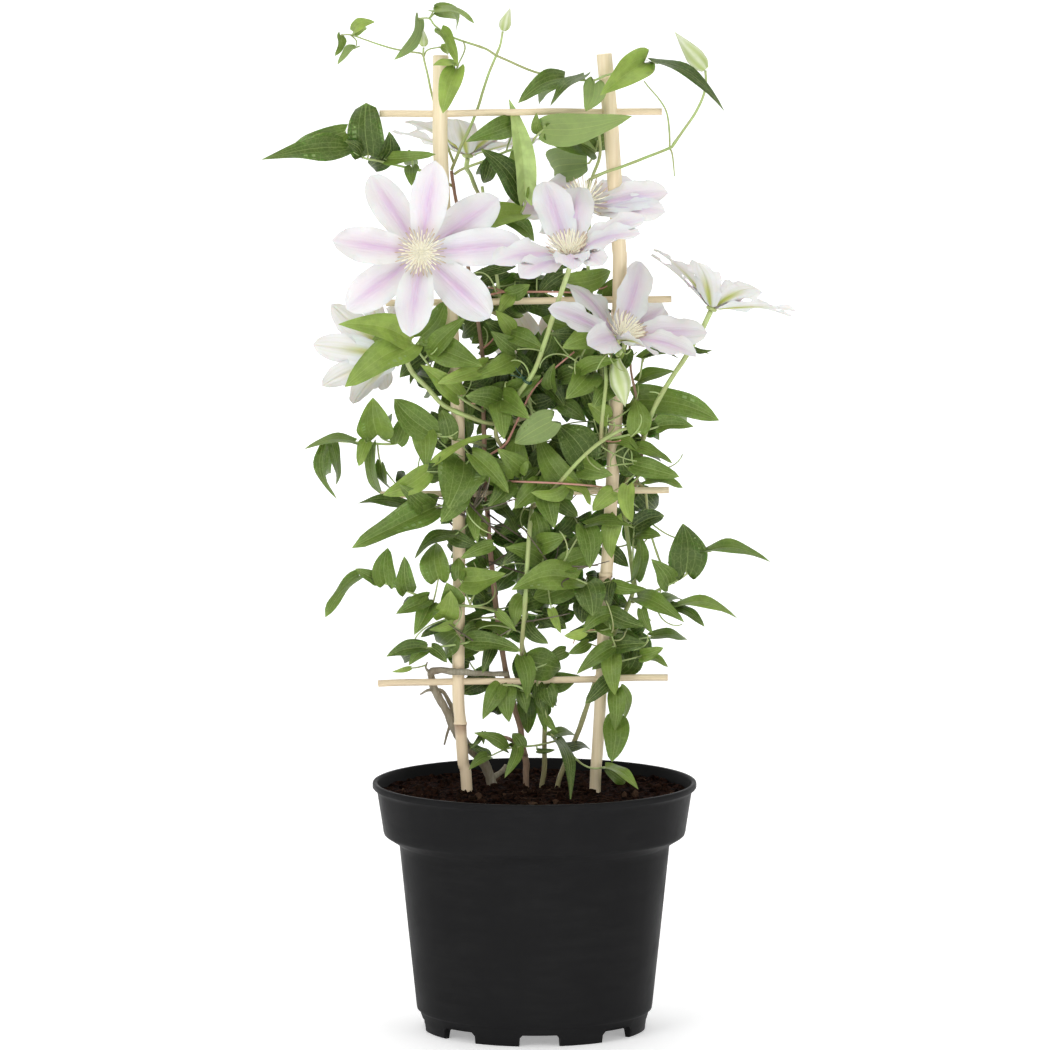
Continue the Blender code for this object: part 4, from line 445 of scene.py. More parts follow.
# %% Leafy shoots: finish, thin stems, then leaflets as base, tip, width, roll
SPRAYS = {
    "shoot_right_bud": ("green_stem", (
        (1.2, 0.9, ((40, 604.5, 16.4), (38, 603, 8), (37, 603, -1), (41, 606, -8), (50, 610, -10),
            (62, 614, -9), (80, 621, -5), (95, 627, -2), (98, 630, -2), (105, 640, -2), (112, 650, -2),
            (118, 662, -2), (120.3, 672, -2), (120, 681.6, -2))),
        (0.7, 0.5, ((95, 627, -2), (95, 632, -2), (94.5, 642, -1), (92.5, 653, -1), (87, 662, -3),
            (80, 670, -2), (77, 674, 0))),
        (0.7, 0.4, ((95, 627, -2), (97, 622, -2), (98.5, 607, -3))),
    ), ()),
    "shoot_top": ("young_green", (
        (1.2, 0.8, ((-58.5, 611.5, 9), (-55, 620, 8), (-51, 630, 6), (-46, 640, 5), (-40, 655, 5),
            (-36, 668, 6), (-32, 680, 7), (-27, 692, 5), (-24, 700, 4), (-22.4, 708.9, 3))),
        (0.9, 0.6, ((-27, 692, 5), (-35, 697, 5), (-50, 702, 8), (-60, 706, 8), (-70, 713, 6), (-74, 718, 5),
            (-82, 718, 4))),
        (0.9, 0.7, ((-27, 692, 5), (-20, 689, 5), (0, 680.5, 4), (21, 676, 3), (28, 675, 2), (38, 674.5, -4),
            (43, 675, -8), (50, 678, -9), (62, 681, -7), (76, 685, -2), (82, 687, -2))),
        (0.6, 0.5, ((-50, 702, 8), (-49, 696, 0), (-54, 685, -9))),
    ), (
        ((-71, 723.5, 5), (-42, 716.5, -4), 15, 62), ((-82, 717, 4), (-91.5, 690, -6), 14, -55),
        ((-66, 709, 6), (-53, 687, -4), 12, 35), ((-55, 682, -10), (-65, 653, -16), 16, 10),
        ((-56, 685, -10), (-70, 688, -14), 10, 55), ((21, 676, 2), (-11, 659.5, -10), 15, 10),
        ((35, 678, -2), (10.5, 657, -12), 16, 58), ((42, 672, -7), (36, 653, -10), 17, 0),
        ((77, 687, -3), (48, 666, -15), 22, 0), ((82.5, 687.5, -2), (137, 665.5, -8), 16, 58),
    )),
    "shoot_small_bud": ("young_green", (
        (1.0, 0.7, ((-57, 617, 11.9), (-62, 630, 13.5), (-67, 645, 12), (-71, 660, 9), (-73, 668, 6),
            (-75, 678, 4), (-78, 691, 2), (-78, 697.7, 1.5))),
        (0.7, 0.5, ((-78, 691, 2), (-80, 693.5, 2), (-90, 695, 0), (-100, 697, -2), (-110, 700, -3),
            (-120, 703.5, -4), (-129, 706.5, -5), (-136, 706.5, -5))),
        (0.6, 0.5, ((-78, 691, 2), (-75, 696, 1), (-66, 698, 0))),
        (0.6, 0.4, ((-129, 706.5, -5), (-125, 702, -5), (-126, 697, -5))),
    ), (
        ((-127, 708.5, -5), (-114.5, 716, -12), 10, 25), ((-136.5, 706, -5), (-138, 692.5, -10), 9, -50),
        ((-126, 697.5, -4), (-139, 687, -12), 10, 50), ((-66, 698, 0), (-60, 692, 6), 7, 20),
    )),
    "spray_upper_left": ("leaf_green", (
        (1.1, 0.7, ((-57.6, 600, 11.6), (-66, 605, 11.5), (-76, 610, 7), (-89, 613, 3), (-100, 615.5, 0),
            (-110, 618, -3), (-120, 620, -6), (-132, 627.5, -8))),
        (0.8, 0.6, ((-100, 615.5, 0), (-106, 620, 0), (-110, 620, -2))),
    ), (
        ((-131, 627.5, -8), (-192, 619.5, -18), 19, 10), ((-117, 622, -5), (-118.5, 659, -8), 26, 0),
        ((-103, 620, 0), (-118, 613, 7), 15, 0), ((-106, 620, 0), (-102, 637, 6), 17, -20),
        ((-104, 619, -1), (-71, 624, -9), 11, 25), ((-86, 613, 2), (-87, 601, -3), 11, 20),
        ((-122, 622, -6), (-131, 632, 2), 10, 30),
    )),
    "spray_top_middle": ("leaf_green", (
        (1.0, 0.8, ((-56.5, 608.5, 6.1), (-50, 612.5, 4), (-35, 618, 1), (-20, 624.5, -1), (-3, 630, -3),
            (0, 634, -4), (6, 640, -5))),
        (0.7, 0.5, ((-20, 624.5, -1), (-18, 631, 1), (-14, 642, 4))),
    ), (
        ((6, 640, -5), (67, 650.5, -14), 24, 8), ((13, 639, -3), (45, 624, 2), 13, 50),
        ((6, 639, -3), (40, 640, 4), 16, -30), ((3, 638, -3), (1.5, 650, 4), 8, 0),
        ((-14, 644, 4), (-46, 634, -4), 17, 10), ((-30, 620, 0), (-37, 600, 4), 12, 0),
    )),
    "spray_behind_blooms": ("leaf_green", (
        (1.0, 0.7, ((-34.5, 589, 7.2), (-30, 585, 2), (-20, 578, 0), (-10, 581, -3), (-6, 589, -6))),
        (0.7, 0.5, ((-20, 578, 0), (-12, 574, 4), (-4, 573, 6))),
    ), (
        ((-7, 591, -7), (-13, 663, -18), 17, -25), ((-8, 591, -5), (-37, 627, -1), 20, 15),
        ((-9, 580, -3), (-51, 561, -16), 18, 20), ((-22, 578, 1), (2, 562, 4), 14, 20),
        ((-18, 578, 2), (-30, 590, 12), 13, 0),
    )),
    "spray_upper_right": ("leaf_green", (
        (1.0, 0.7, ((44.8, 632, 15.8), (43, 626, 19), (40, 619, 23), (38, 616, 26))),
    ), (
        ((37, 616, 27), (9, 603, 66), 26, 0), ((44, 628, 18), (57, 634, 26), 14, 10),
        ((42, 624, 20), (28, 634, 30), 15, 20),
    )),
    "spray_left": ("leaf_green", (
        (1.2, 0.7, ((-36, 441, 5.9), (-42, 444, -3), (-50, 449, -9), (-62, 458, -10), (-78, 478, -12),
            (-87, 490, -14))),
        (0.7, 0.5, ((-78, 478, -12), (-74, 482, -12), (-70, 486, -12))),
        (0.7, 0.5, ((-83, 484.5, -13), (-82, 490, -12), (-80, 494, -11))),
    ), (
        ((-88, 491, -14), (-134, 504, -24), 22, 12), ((-87, 489, -15), (-132, 463, -27), 25, 10),
        ((-70, 486, -12), (-37, 473, -20), 21, 8), ((-80, 494, -11), (-63, 519, -14), 16, 0),
        ((-73, 483, -11), (-52, 506, 2), 15, 10), ((-66, 463, -10), (-84, 468, 4), 15, -20),
        ((-54, 452, -9), (-76, 472, 8), 16, 10),
    )),
    "spray_left_upper": ("leaf_green", (
        (1.2, 0.7, ((-35, 416, 6.0), (-44, 419, -6), (-55, 421, -9), (-70, 425, -7), (-90, 425, -4),
            (-98, 418, -4), (-115, 418, -6), (-129, 419, -8), (-147, 420, -8))),
        (0.7, 0.5, ((-98, 418, -4), (-107, 421, -3), (-111, 426, -2))),
        (0.7, 0.5, ((-111, 418, -6), (-109, 405, -4), (-102, 394, -2), (-97, 388, -1))),
    ), (
        ((-111, 424, -2), (-114, 449, 3), 26, 0), ((-97, 418, -5), (-92, 438, -10), 14, 10),
        ((-78, 426, -6), (-78, 403, -14), 18, 10), ((-72, 425, -7), (-99, 450, -12), 22, 10),
        ((-127, 419, -8), (-162, 418.5, -15), 15, 60), ((-147, 419.5, -8), (-141, 378, -12), 15, 55),
        ((-144, 420, -8), (-139, 388, 2), 12, -55), ((-119, 418.5, -7), (-124.5, 403, -11), 10, 10),
        ((-114, 418, -6), (-112, 377, 0), 15, 50), ((-108, 404, -4), (-102, 383, 2), 11, 55),
        ((-60, 422, -9), (-66, 442, -14), 15, 10), ((-97, 389, -1), (-88, 394, 8), 12, 10),
    )),
    "spray_left_middle": ("leaf_green", (
        (1.1, 0.7, ((-33.2, 371, 7.6), (-40, 373, -4), (-50, 377, -9), (-60, 375, -10), (-70, 373, -10),
            (-85, 371, -8))),
        (0.8, 0.6, ((-50, 377, -9), (-48, 390, -12), (-50, 403, -12))),
        (0.8, 0.5, ((-43, 374.5, -6), (-46, 362, -8), (-56, 353, -9))),
    ), (
        ((-50, 405, -12), (-61, 373, -24), 37, 10), ((-70, 373, -10), (-128, 348, -20), 21, 15),
        ((-85, 371, -8), (-125, 378, -8), 15, 52), ((-56, 353, -9), (-86, 340, -14), 14, 50),
        ((-41, 373, -6), (-41, 349, -14), 12, 10), ((-49, 392, -11), (-30, 404, -16), 15, 0),
        ((-46, 365, -8), (-30, 352, 2), 14, 10), ((-76, 372.5, -9), (-92, 386, 6), 15, 0),
    )),
    "spray_left_lower": ("leaf_green", (
        (1.1, 0.6, ((-26.6, 299, 6.3), (-35, 301, -3), (-45, 302, -8), (-55, 303, -9), (-72, 304, -8),
            (-83, 310, -7), (-105, 318, -7), (-124, 323.5, -8))),
        (0.8, 0.6, ((-45, 302, -8), (-49, 312, -10), (-53, 322, -10))),
        (0.7, 0.5, ((-72, 304, -8), (-70, 312, -9), (-68, 322, -9))),
    ), (
        ((-68, 322, -9), (-70, 348, -13), 21, 5), ((-54, 322, -10), (-54, 337, -13), 11, 10),
        ((-105, 319, -7), (-104, 343, -4), 17, 0), ((-112, 320.5, -7), (-126, 329, -12), 10, 20),
        ((-124, 323.5, -8), (-149, 295, -16), 15, 52), ((-76, 307, -8), (-98, 297, -15), 13, 20),
        ((-50, 320, -10), (-22, 326, -15), 20, 10), ((-58, 303.5, -9), (-62, 318, -2), 18, 0),
        ((-90, 313, -7), (-92, 334, 6), 15, 0),
    )),
    "spray_low_left": ("leaf_green", (
        (1.1, 0.7, ((-23, 271, 6.4), (-34, 274, -4), (-46, 276, -8), (-60, 274, -8.5), (-78, 272, -8))),
        (0.7, 0.5, ((-50, 275.6, -8), (-58, 286, -9), (-66, 297, -9), (-74, 303, -9))),
        (0.8, 0.5, ((-28, 272.5, 1), (-18, 284, 0), (-9, 302, -1), (-8, 309, -2))),
    ), (
        ((-78, 272, -8), (-105, 266.5, -12), 12, 20), ((-76, 272, -8), (-89, 260, -10), 9, 0),
        ((-73, 272.5, -8), (-62, 262, -11), 9, 0), ((-74, 303, -9), (-85, 283, -17), 16, 10),
        ((-64, 294, -9), (-60, 311, -14), 18, 0), ((-55, 282, -9), (-68, 273, 4), 20, 0),
        ((-46, 276.5, -8), (-11, 272, -15), 14, 15), ((-30, 273, -1), (-37, 256, -6), 10, 10),
        ((-20, 282, 0), (-46, 291, 6), 14, 52), ((-8, 308, -2), (-14, 289, -8), 13, 10),
        ((-9, 303, -1), (12, 311, 3), 14, 20),
    )),
    "spray_low_middle": ("leaf_green", (
        (1.0, 0.6, ((2.6, 234, 9.3), (-3, 239, 3), (-12, 245, 0), (-24, 246, -2))),
        (0.7, 0.5, ((-3, 239, 3), (2, 248, -2), (1, 258, -4), (-8, 266, -5))),
        (0.7, 0.5, ((-1, 237, 5), (5, 238, -1), (9, 243.5, -6))),
    ), (
        ((-24, 246, -2), (-37, 222, -7), 14, 10), ((-19, 244.5, -3), (-18, 220, -8), 15, 0),
        ((-9, 266, -5), (-6, 237, -10), 14, 5), ((-10, 242, -2), (-6, 226, -5), 11, 0),
        ((3, 246, -2), (7, 225, -6), 9, 10), ((5, 237.5, 1), (8, 213, -3), 9, 0),
        ((-5, 263, -5), (21, 257, 2), 24, 0), ((9, 243, -6), (13, 230, -3), 15, 0),
    )),
    "spray_low_front": ("leaf_green", (
        (1.1, 0.6, ((9.6, 212, 16.5), (16, 206, 10), (25, 197, 2), (34, 189, -8), (42, 186, -13),
            (50, 187, -15))),
        (0.8, 0.5, ((16, 206, 10), (4, 203, 6), (-8, 201.5, 2), (-20, 200, 0), (-33, 194, -3))),
    ), (
        ((50, 187, -15), (74, 174, -26), 13, 52), ((22, 200, 5), (41, 202, 12), 12, 52),
        ((15, 206.5, 10), (30, 172.5, -14), 12, 40), ((12, 209, 13), (33, 213, 24), 11, 50),
        ((-20, 200, 0), (-40, 212, -5), 10, 20), ((-8, 201.5, 2), (-16, 212, -2), 9, 0),
        ((-12, 201, 1), (-20, 182, -8), 9, 0), ((-33, 194, -3), (-46, 186, -10), 9, 20),
        ((-33, 194.5, -3), (-47, 204, 6), 8, 30),
    )),
    "spray_low_right": ("leaf_green", (
        (1.1, 0.7, ((54, 273.5, 8.8), (57, 275, 1), (58, 272, -6), (57, 256, -9.5), (58, 243, -9.5),
            (58, 221, -9))),
        (0.7, 0.5, ((57, 262, -8), (66, 264, -8), (76, 266.5, -7))),
        (0.7, 0.5, ((57, 275, 1), (70, 278, 4), (84, 280.5, 5))),
        (0.7, 0.5, ((57.5, 272, -6), (54, 284, -10), (53, 297, -11))),
    ), (
        ((55, 268, -9), (57, 241, -15), 15, 0), ((54, 250, -10), (36, 233, -14), 12, 10),
        ((57.5, 242, -10), (57, 214, -15), 13, 0), ((60, 243, -9), (63, 219, -4), 12, 45),
        ((58, 221, -9), (55, 191, -16), 19, 0), ((55, 273, -7), (31, 256, -13), 13, 10),
        ((58, 274, -5), (79, 275.5, -11), 14, 10), ((76, 267, -7), (90, 272, -11), 10, 0),
        ((75, 266, -7), (95, 259, -10), 12, 55), ((84, 280.5, 5), (110, 282, 9), 14, 52),
        ((53, 297, -11), (77, 288, -16), 14, 10), ((53, 297, -11), (34, 284, -15), 12, 10),
        ((55, 285, -10), (38, 296, -2), 15, 0),
    )),
    "spray_middle_right": ("leaf_green", (
        (1.1, 0.7, ((47, 466, 6.9), (42, 466, -2), (36, 467, -9), (30, 470, -11), (24, 473, -11))),
        (0.7, 0.5, ((30, 470, -11), (34, 482, -13), (42, 494, -13))),
        (0.8, 0.5, ((42, 466, -2), (37, 474, 8), (33, 490, 13), (30, 505, 14), (28, 530, 12),
            (23, 531.5, 8))),
    ), (
        ((42, 494, -13), (22, 487, -19), 18, 0), ((43, 495, -13), (57, 483, -17), 15, 0),
        ((33, 500, 12), (5, 508, 14), 17, 20), ((24, 531.5, 8), (55, 541, 4), 17, 0),
        ((32, 469, -12), (57, 477, -16), 12, 10), ((38, 467, -8), (24, 452, -16), 22, 0),
        ((28, 524, 12), (12, 538, 8), 15, 0), ((34, 487, 12), (14, 482, 14), 15, 10),
        ((33, 470, -10), (14, 462, -2), 14, 0),
    )),
    "spray_right_back": ("leaf_green", (
        (1.1, 0.7, ((50.4, 424, 10.6), (56, 430, 12), (64, 440, 12), (70, 450, 10), (74, 463, 7),
            (76, 476, 5))),
        (0.7, 0.5, ((56, 430, 12), (52, 445, 15), (53, 470, 14), (56, 500, 12), (57, 518, 11))),
    ), (
        ((71, 449, 9), (131, 435, 10), 22, 15), ((73, 462, 7), (98, 472, 6), 15, 48),
        ((76, 478, 5), (124, 485, 8), 14, 52), ((55, 519, 11), (62, 537, 13), 19, 0),
        ((64, 440, 12), (90, 420, 18), 18, 10), ((54, 490, 13), (34, 502, 22), 17, 0),
    )),
    "spray_right_middle": ("leaf_green", (
        (1.2, 0.7, ((49.3, 415, 6.0), (47, 418, 0), (46, 420, -8), (52, 421, -10), (62, 423, -10),
            (70, 425, -10), (88, 430, -10))),
        (0.9, 0.6, ((46, 420, -8), (38, 411, -12), (31, 400, -14), (28, 386, -14))),
        (0.7, 0.5, ((62, 423, -10), (68, 414, -10), (70, 403, -11), (79, 392, -11))),
        (0.7, 0.5, ((50, 421, -9), (52, 440, -11), (54, 458, -12))),
    ), (
        ((28, 384, -14), (2, 426, -25), 20, 0), ((38, 406, -12), (17, 431, -17), 28, 0),
        ((73, 426, -10), (71, 450, -15), 18, 0), ((88, 430, -10), (111, 432, -14), 14, 25),
        ((54, 419, -10), (75, 414, -14), 12, 45), ((72, 416, -10), (98, 407, -14), 12, 45),
        ((70, 403, -11), (102, 395, -16), 15, 10), ((79, 391.5, -11), (105, 387, -14), 12, 50),
        ((33, 402, -13), (54, 396, -20), 17, 0), ((54, 458, -12), (42, 444, -18), 16, 0),
        ((51, 436, -10), (38, 446, -4), 15, 0),
    )),
    "spray_right_lower": ("leaf_green", (
        (1.1, 0.6, ((69.4, 305, 8.7), (76, 308, 2), (84, 312, -3), (96, 318, -6), (105, 323, -7),
            (114, 331, -8), (122, 341, -8))),
        (0.7, 0.5, ((76, 308, 2), (88, 305, 0), (99, 301, -2))),
        (0.7, 0.5, ((74, 307, 4), (70, 330, 5), (70, 350, 3), (71, 359, 1))),
    ), (
        ((107, 327, -7), (105, 362, -13), 28, 0), ((122, 341, -8), (165, 342.5, -16), 16, 58),
        ((72, 352, 3), (89, 353, -3), 13, 45), ((71, 322, 5), (79, 351, 11), 16, 48),
        ((73, 308.5, 3), (103, 294, -16), 15, 15), ((90, 305, 0), (106, 310, 8), 12, 52),
        ((99, 301, -2), (142, 302, -9), 14, 58), ((97, 301.5, -2), (121, 290, -8), 12, 48),
        ((95, 318, -6), (84, 334, 4), 16, 0), ((71, 359, 1), (92, 368, 8), 14, 10),
    )),
    "spray_middle_lower": ("leaf_green", (
        (1.1, 0.7, ((-5.8, 317, 4.0), (4, 321, -4), (16, 324, -8), (28, 322, -10), (37, 318, -11))),
        (0.8, 0.5, ((16, 324, -8), (24, 340, -11), (35, 358, -12))),
        (0.7, 0.5, ((4, 321, -4), (6, 334, -6), (4, 346, -7))),
    ), (
        ((30, 321, -10), (-16, 314, -19), 23, 10), ((37, 318, -11), (41, 296, -16), 23, 0),
        ((36, 358, -12), (39, 329, -18), 18, 0), ((37, 360, -12), (69, 361, -16), 14, 50),
        ((4, 346, -7), (22, 352, -12), 16, 0), ((5, 334, -6), (-18, 344, -12), 17, 10),
        ((4, 346, -7), (0, 370, -12), 16, 0), ((20, 332, -9), (44, 340, -4), 17, 0),
    )),
    "spray_centre": ("leaf_green", (
        (1.1, 0.7, ((-8.2, 462, 5.3), (-15, 467, -4), (-24, 473, -8), (-34, 474, -9))),
        (0.7, 0.5, ((-20, 470.5, -6), (-17, 484, -5), (-16, 496, -4))),
        (0.7, 0.5, ((-15, 467, -4), (-18, 456, -7), (-24, 447, -8))),
    ), (
        ((-17, 496, -4), (6, 486, -9), 15, 15), ((-14, 478, -5), (-46, 467, -15), 15, 20),
        ((-34, 474, -9), (-67, 464, -16), 13, 20), ((-24, 447, -8), (-48, 452, -14), 18, 10),
        ((-22, 449, -8), (-4, 436, -14), 20, 0), ((-19, 454, -7), (4, 466, -12), 15, 0),
        ((-16, 498, -4), (-27, 512, 0), 12, 0), ((-24, 448, -8), (-22, 426, -15), 17, 0),
        ((-14, 484, -5), (-30, 497, 3), 14, 0),
    )),
    "spray_centre_lower": ("leaf_green", (
        (1.1, 0.7, ((1, 398, 4.9), (-4, 400, -3), (-12, 398, -9), (-20, 392, -12))),
        (0.7, 0.5, ((-4, 400, -3), (2, 392, -9), (8, 384, -12))),
    ), (
        ((-20, 392, -12), (-38, 412, -18), 19, 0), ((-19, 391, -12), (-32, 374, -18), 17, 0),
        ((-12, 398, -9), (-12, 424, -14), 18, 0), ((8, 384, -12), (14, 358, -18), 18, 0),
        ((7, 386, -12), (22, 402, -16), 15, 0), ((4, 389, -10), (-14, 372, -14), 16, 0),
        ((-8, 399, -6), (-26, 414, 2), 15, 0),
    )),
}

# %% What a leaflet tries in turn: its tip's shift along the line of sight, and its turn
LEAF_TRIES = (
    (0, 0), (-6, 0), (6, 0), (-12, 0), (12, 0), (0, 20), (0, -20), (-18, 0), (18, 0), (-8, 20), (-8, -20),
    (8, 20),
    (8, -20), (-25, 10), (25, 10), (-33, 0), (33, 0), (-25, -30), (25, -30), (-42, 0), (42, 0), (0, 50),
    (0, -50),
)

# %% [markdown]
# ## Leaf and sepal surfaces
# A leaflet and a sepal are each one surface with two parameters: u runs from stalk to tip, v from edge to
# edge. Their outlines are powers of a sine, which gives a round base and a drawn-out tip with two numbers.
# The same functions serve twice: at a few stations for the clearance test, and on a fine grid for the piece
# itself.

# %% Surfaces
def leaf_outline(u):
    """Half width along the midrib, as a share of its most: broad by the stalk, then drawn to a point."""
    return np.sin(np.pi * np.asarray(u, float) ** 0.62) ** 0.95


def sepal_outline(u):
    """Half width of a sepal: a narrow claw, widest past the middle, with a short point."""
    return np.sin(np.pi * (0.12 + 0.88 * np.asarray(u, float)) ** 1.12) ** 0.8


def blade_frame(base, tip, roll):
    """A leaflet's length and its directions along, across and out, when turned by roll degrees."""
    facing = np.array([0.0, -1.0, 0.15])
    length = np.linalg.norm(tip - base)
    along = (tip - base) / length
    face = unit(facing - along * (facing @ along))
    across = np.cross(along, face)
    if across @ np.array([0.3 * np.sign(base[0] + 0.1), 0.0, 1.0]) < 0:
        across = -across
    turn = math.radians(roll)
    out = face * math.cos(turn) + across * math.sin(turn)
    return length, along, np.cross(along, out), out


def leaf_surface(base, tip, width, roll, u, v):
    """base + along u L + across v half + out rise: arched, a little folded, and waved at the edges."""
    length, along, across, out = blade_frame(base, tip, roll)
    u, v = np.broadcast_arrays(np.asarray(u, float), np.asarray(v, float))
    half = width / 2 * leaf_outline(u)
    phase = 1.7 * base[0] + 0.9 * base[2]
    lobe = 0.10 * length * v**2 * (1 - u) ** 4
    rise = 0.11 * length * np.sin(np.pi * u) + 0.10 * half * np.abs(v)
    wave = 0.16 * half * np.abs(v) ** 1.5 * np.sin(7.5 * u + phase + 0.8 * v)
    flat = base + along * (u * length - lobe)[..., None] + across * (v * half)[..., None]
    return flat + out * (rise + wave)[..., None]


def sepal_surface(centre, tip, width, axis, cup, u, v):
    """centre + along u L + across v half + out rise, bowed by cup times its length towards the axis."""
    length = np.linalg.norm(tip - centre)
    along = (tip - centre) / length
    out = unit(axis - along * (axis @ along))
    across = np.cross(along, out)
    u, v = np.broadcast_arrays(np.asarray(u, float), np.asarray(v, float))
    half = width / 2 * sepal_outline(u)
    phase = 0.13 * tip[0] + 0.07 * tip[2]
    rise = cup * length * np.sin(np.pi * u) + 0.10 * half * v**2
    wave = 0.10 * half * np.abs(v) ** 2 * np.sin(8 * u + phase + 1.5 * v)
    flat = centre + along * (u * length)[..., None] + across * (v * half)[..., None]
    return flat + out * (rise + wave)[..., None]


# %% [markdown]
# ## Simple shapes for the clearance test
# A test on the fine surfaces would be slow and would not match the solids. So each leaf, sepal and stem is
# tested as the plain shape that its solid has: a thin strip with a flat rhombic section, or a tube of a few
# sides.

# %% Plain blades
def strip(first, left, middle, right, last, thick):
    """A closed strip with a rhombic section at each station and a point at both ends."""
    out = unit(np.cross(right - left, last - first))
    n = len(left)
    points = np.vstack([first, last, left, right, middle + out * thick / 2, middle - out * thick / 2])
    a, b = 2, 2 + n  # where the points of the left and of the right edge start
    faces = []
    for side, flip in ((2 + 2 * n, False), (2 + 3 * n, True)):
        half = [(0, side, a), (0, b, side)]
        for i in range(n - 1):
            half += [
                (a + i, side + i, a + i + 1), (a + i + 1, side + i, side + i + 1),
                (side + i, b + i, side + i + 1), (side + i + 1, b + i, b + i + 1),
            ]
        half += [(1, a + n - 1, side + n - 1), (1, side + n - 1, b + n - 1)]
        faces += [f[::-1] if flip else f for f in half]
    return points, faces


def blade(surface, stations, thick):
    """The closed strip through a surface's midrib and edges at the stations."""
    u = np.array(stations)
    base, end = surface(0.0, 0.0), surface(1.0, 0.0)
    return strip(base, surface(u, -1.0), surface(u, 0.0), surface(u, 1.0), end, thick)


def stalked_blade(root, surface, stations, thick):
    """A blade whose base runs on as a thin stalk to the root. At a sharp turn the stalk is its own rod."""
    u = np.array(stations)
    left, middle, right = surface(u, -1.0), surface(u, 0.0), surface(u, 1.0)
    base, end = surface(0.0, 0.0), surface(1.0, 0.0)
    if np.linalg.norm(base - root) > SHORT_STALK:
        if unit(base - root) @ unit(middle[0] - base) < 0.5:
            rod = tube([root, base, surface(0.14, 0.0)], [STALK_HALF + 0.1, STALK_HALF], 3)
            return [blade(surface, stations, thick), rod]
        side = unit(right[0] - left[0]) * STALK_HALF
        left, right = np.vstack([base - side, left]), np.vstack([base + side, right])
        middle = np.vstack([base, middle])
    return [strip(root, left, middle, right, end, thick)]


BUD_STEPS, BUD_SHARES = (0.0, 0.12, 0.35, 0.62, 0.85), (0.42, 0.86, 1.0, 0.62, 0.24)


def bud_shape(base, tip, radius, sides):
    """A pointed bud: a profile swollen near its stalk, turned about the line from base to tip."""
    path = [base + (tip - base) * s for s in BUD_STEPS]
    points, faces = tube(path, [radius * s for s in BUD_SHARES], sides)
    last = len(points) - sides
    points = np.vstack([points, tip])
    return points, faces[:-1] + [(last + k, last + (k + 1) % sides, len(points) - 1) for k in range(sides)]


# %% What is already placed
def tree_of(shape):
    return BVHTree.FromPolygons(np.asarray(shape[0]).tolist(), shape[1])


held = []


def hold(node, shapes):
    """Notes shapes of a node as placed."""
    for shape in shapes:
        held.append((node, shape[0].min(0), shape[0].max(0), tree_of(shape)))


def hit(shape, *nodes):
    """Whether a shape crosses anything placed for a node other than these."""
    low, high = shape[0].min(0), shape[0].max(0)
    tree = None
    for other, near, far, placed in held:
        if other in nodes or (near > high).any() or (far < low).any():
            continue
        tree = tree or tree_of(shape)
        if placed.overlap(tree):
            return True
    return False


# %% [markdown]
# ## Stems in place
# A stem's first point is its foot in the peat or its root on another stem. Where a bloom's name ends the
# list, the stem comes up behind that bloom along the bloom's own axis. A spray's thin stems may bow a little
# towards or away from the viewer, which changes nothing in the view from ahead but keeps them off the canes.

# %% Placing stems
BOWS = (0, -3, 3, -6, 6, -9, 9, -13, 13, -18, 18)


def places(path):
    """A path's points in space. A bloom's name as its last point brings it to its seat behind that bloom."""
    if not isinstance(path[-1], str):
        return [at(*p) for p in path]
    centre, axis = BLOOMS[path[-1]][:2]
    centre, axis = at(*centre), unit(axis)
    seat = RECEPTACLE_BACK + FIT
    return [at(*p) for p in path[:-1]] + [centre - axis * (seat + STALK_NECK), centre - axis * seat]


def bowed(path, by):
    """A path whose middle is moved along the line of sight, most at half its length, with its ends kept."""
    length = len(path) - 1
    return [p + unit(p - EYE) * by * math.sin(math.pi * i / length) for i, p in enumerate(path)]


def clear_line(name, path, r0, r1, sides):
    """The path bowed by the least amount that keeps a tube along it clear of the other nodes."""
    for by in BOWS:
        now = bowed(path, by)
        grown = tube([now[0] + unit(now[1] - now[0]) * 2.5] + now[1:], [r0 + GUARD, r1 + GUARD], sides)
        if not hit(grown, name) and not hit(tube(now, [r0, r1], sides), name):
            return now
    return path


def nearest_on(paths, point):
    """The point nearest to this one on any of the paths, kept a little inside each stretch's far end."""
    best, found = 1e9, None
    for path in paths:
        for a, b in zip(path, path[1:]):
            most = 1 - ROOT_INSET / np.linalg.norm(b - a)
            on = a + (b - a) * np.clip((point - a) @ (b - a) / ((b - a) @ (b - a)), 0, most)
            if np.linalg.norm(point - on) < best:
                best, found = np.linalg.norm(point - on), on
    return found


# %% [markdown]
# ## Leaflets in place
# Each leaflet tries its measured tip first, then tips further forward or back along the line of sight, and
# other turns about its midrib. All of these look much the same from ahead, which is why one photo can't tell
# them apart.

# %% Placing leaflets
def leaflet(name, lines, base, tip, width, roll, own):
    """The first clear position of a leaflet, as (root, base, tip, width, roll), and its plain shapes."""
    stations = LEAF_STATIONS if width > WIDE_LEAF else SMALL_LEAF_STATIONS
    root = nearest_on(lines, base)
    for shift, turn in LEAF_TRIES:
        moved = tip + unit(tip - EYE) * shift

        def surface(u, v, moved=moved, turn=turn):
            return leaf_surface(base, moved, width, roll + turn, u, v)

        grown = stalked_blade(root, surface, stations, BLADE + 2 * GUARD)
        if any(hit(shape, name) for shape in grown):
            continue
        outer = blade(lambda u, v: surface(0.2 + 0.8 * np.asarray(u, float), v), stations, BLADE)
        tree = tree_of(outer)
        if any(tree.overlap(other) for other in own):
            continue
        shapes = stalked_blade(root, surface, stations, BLADE)
        return (root, base, moved, width, roll + turn), shapes
    return None, None


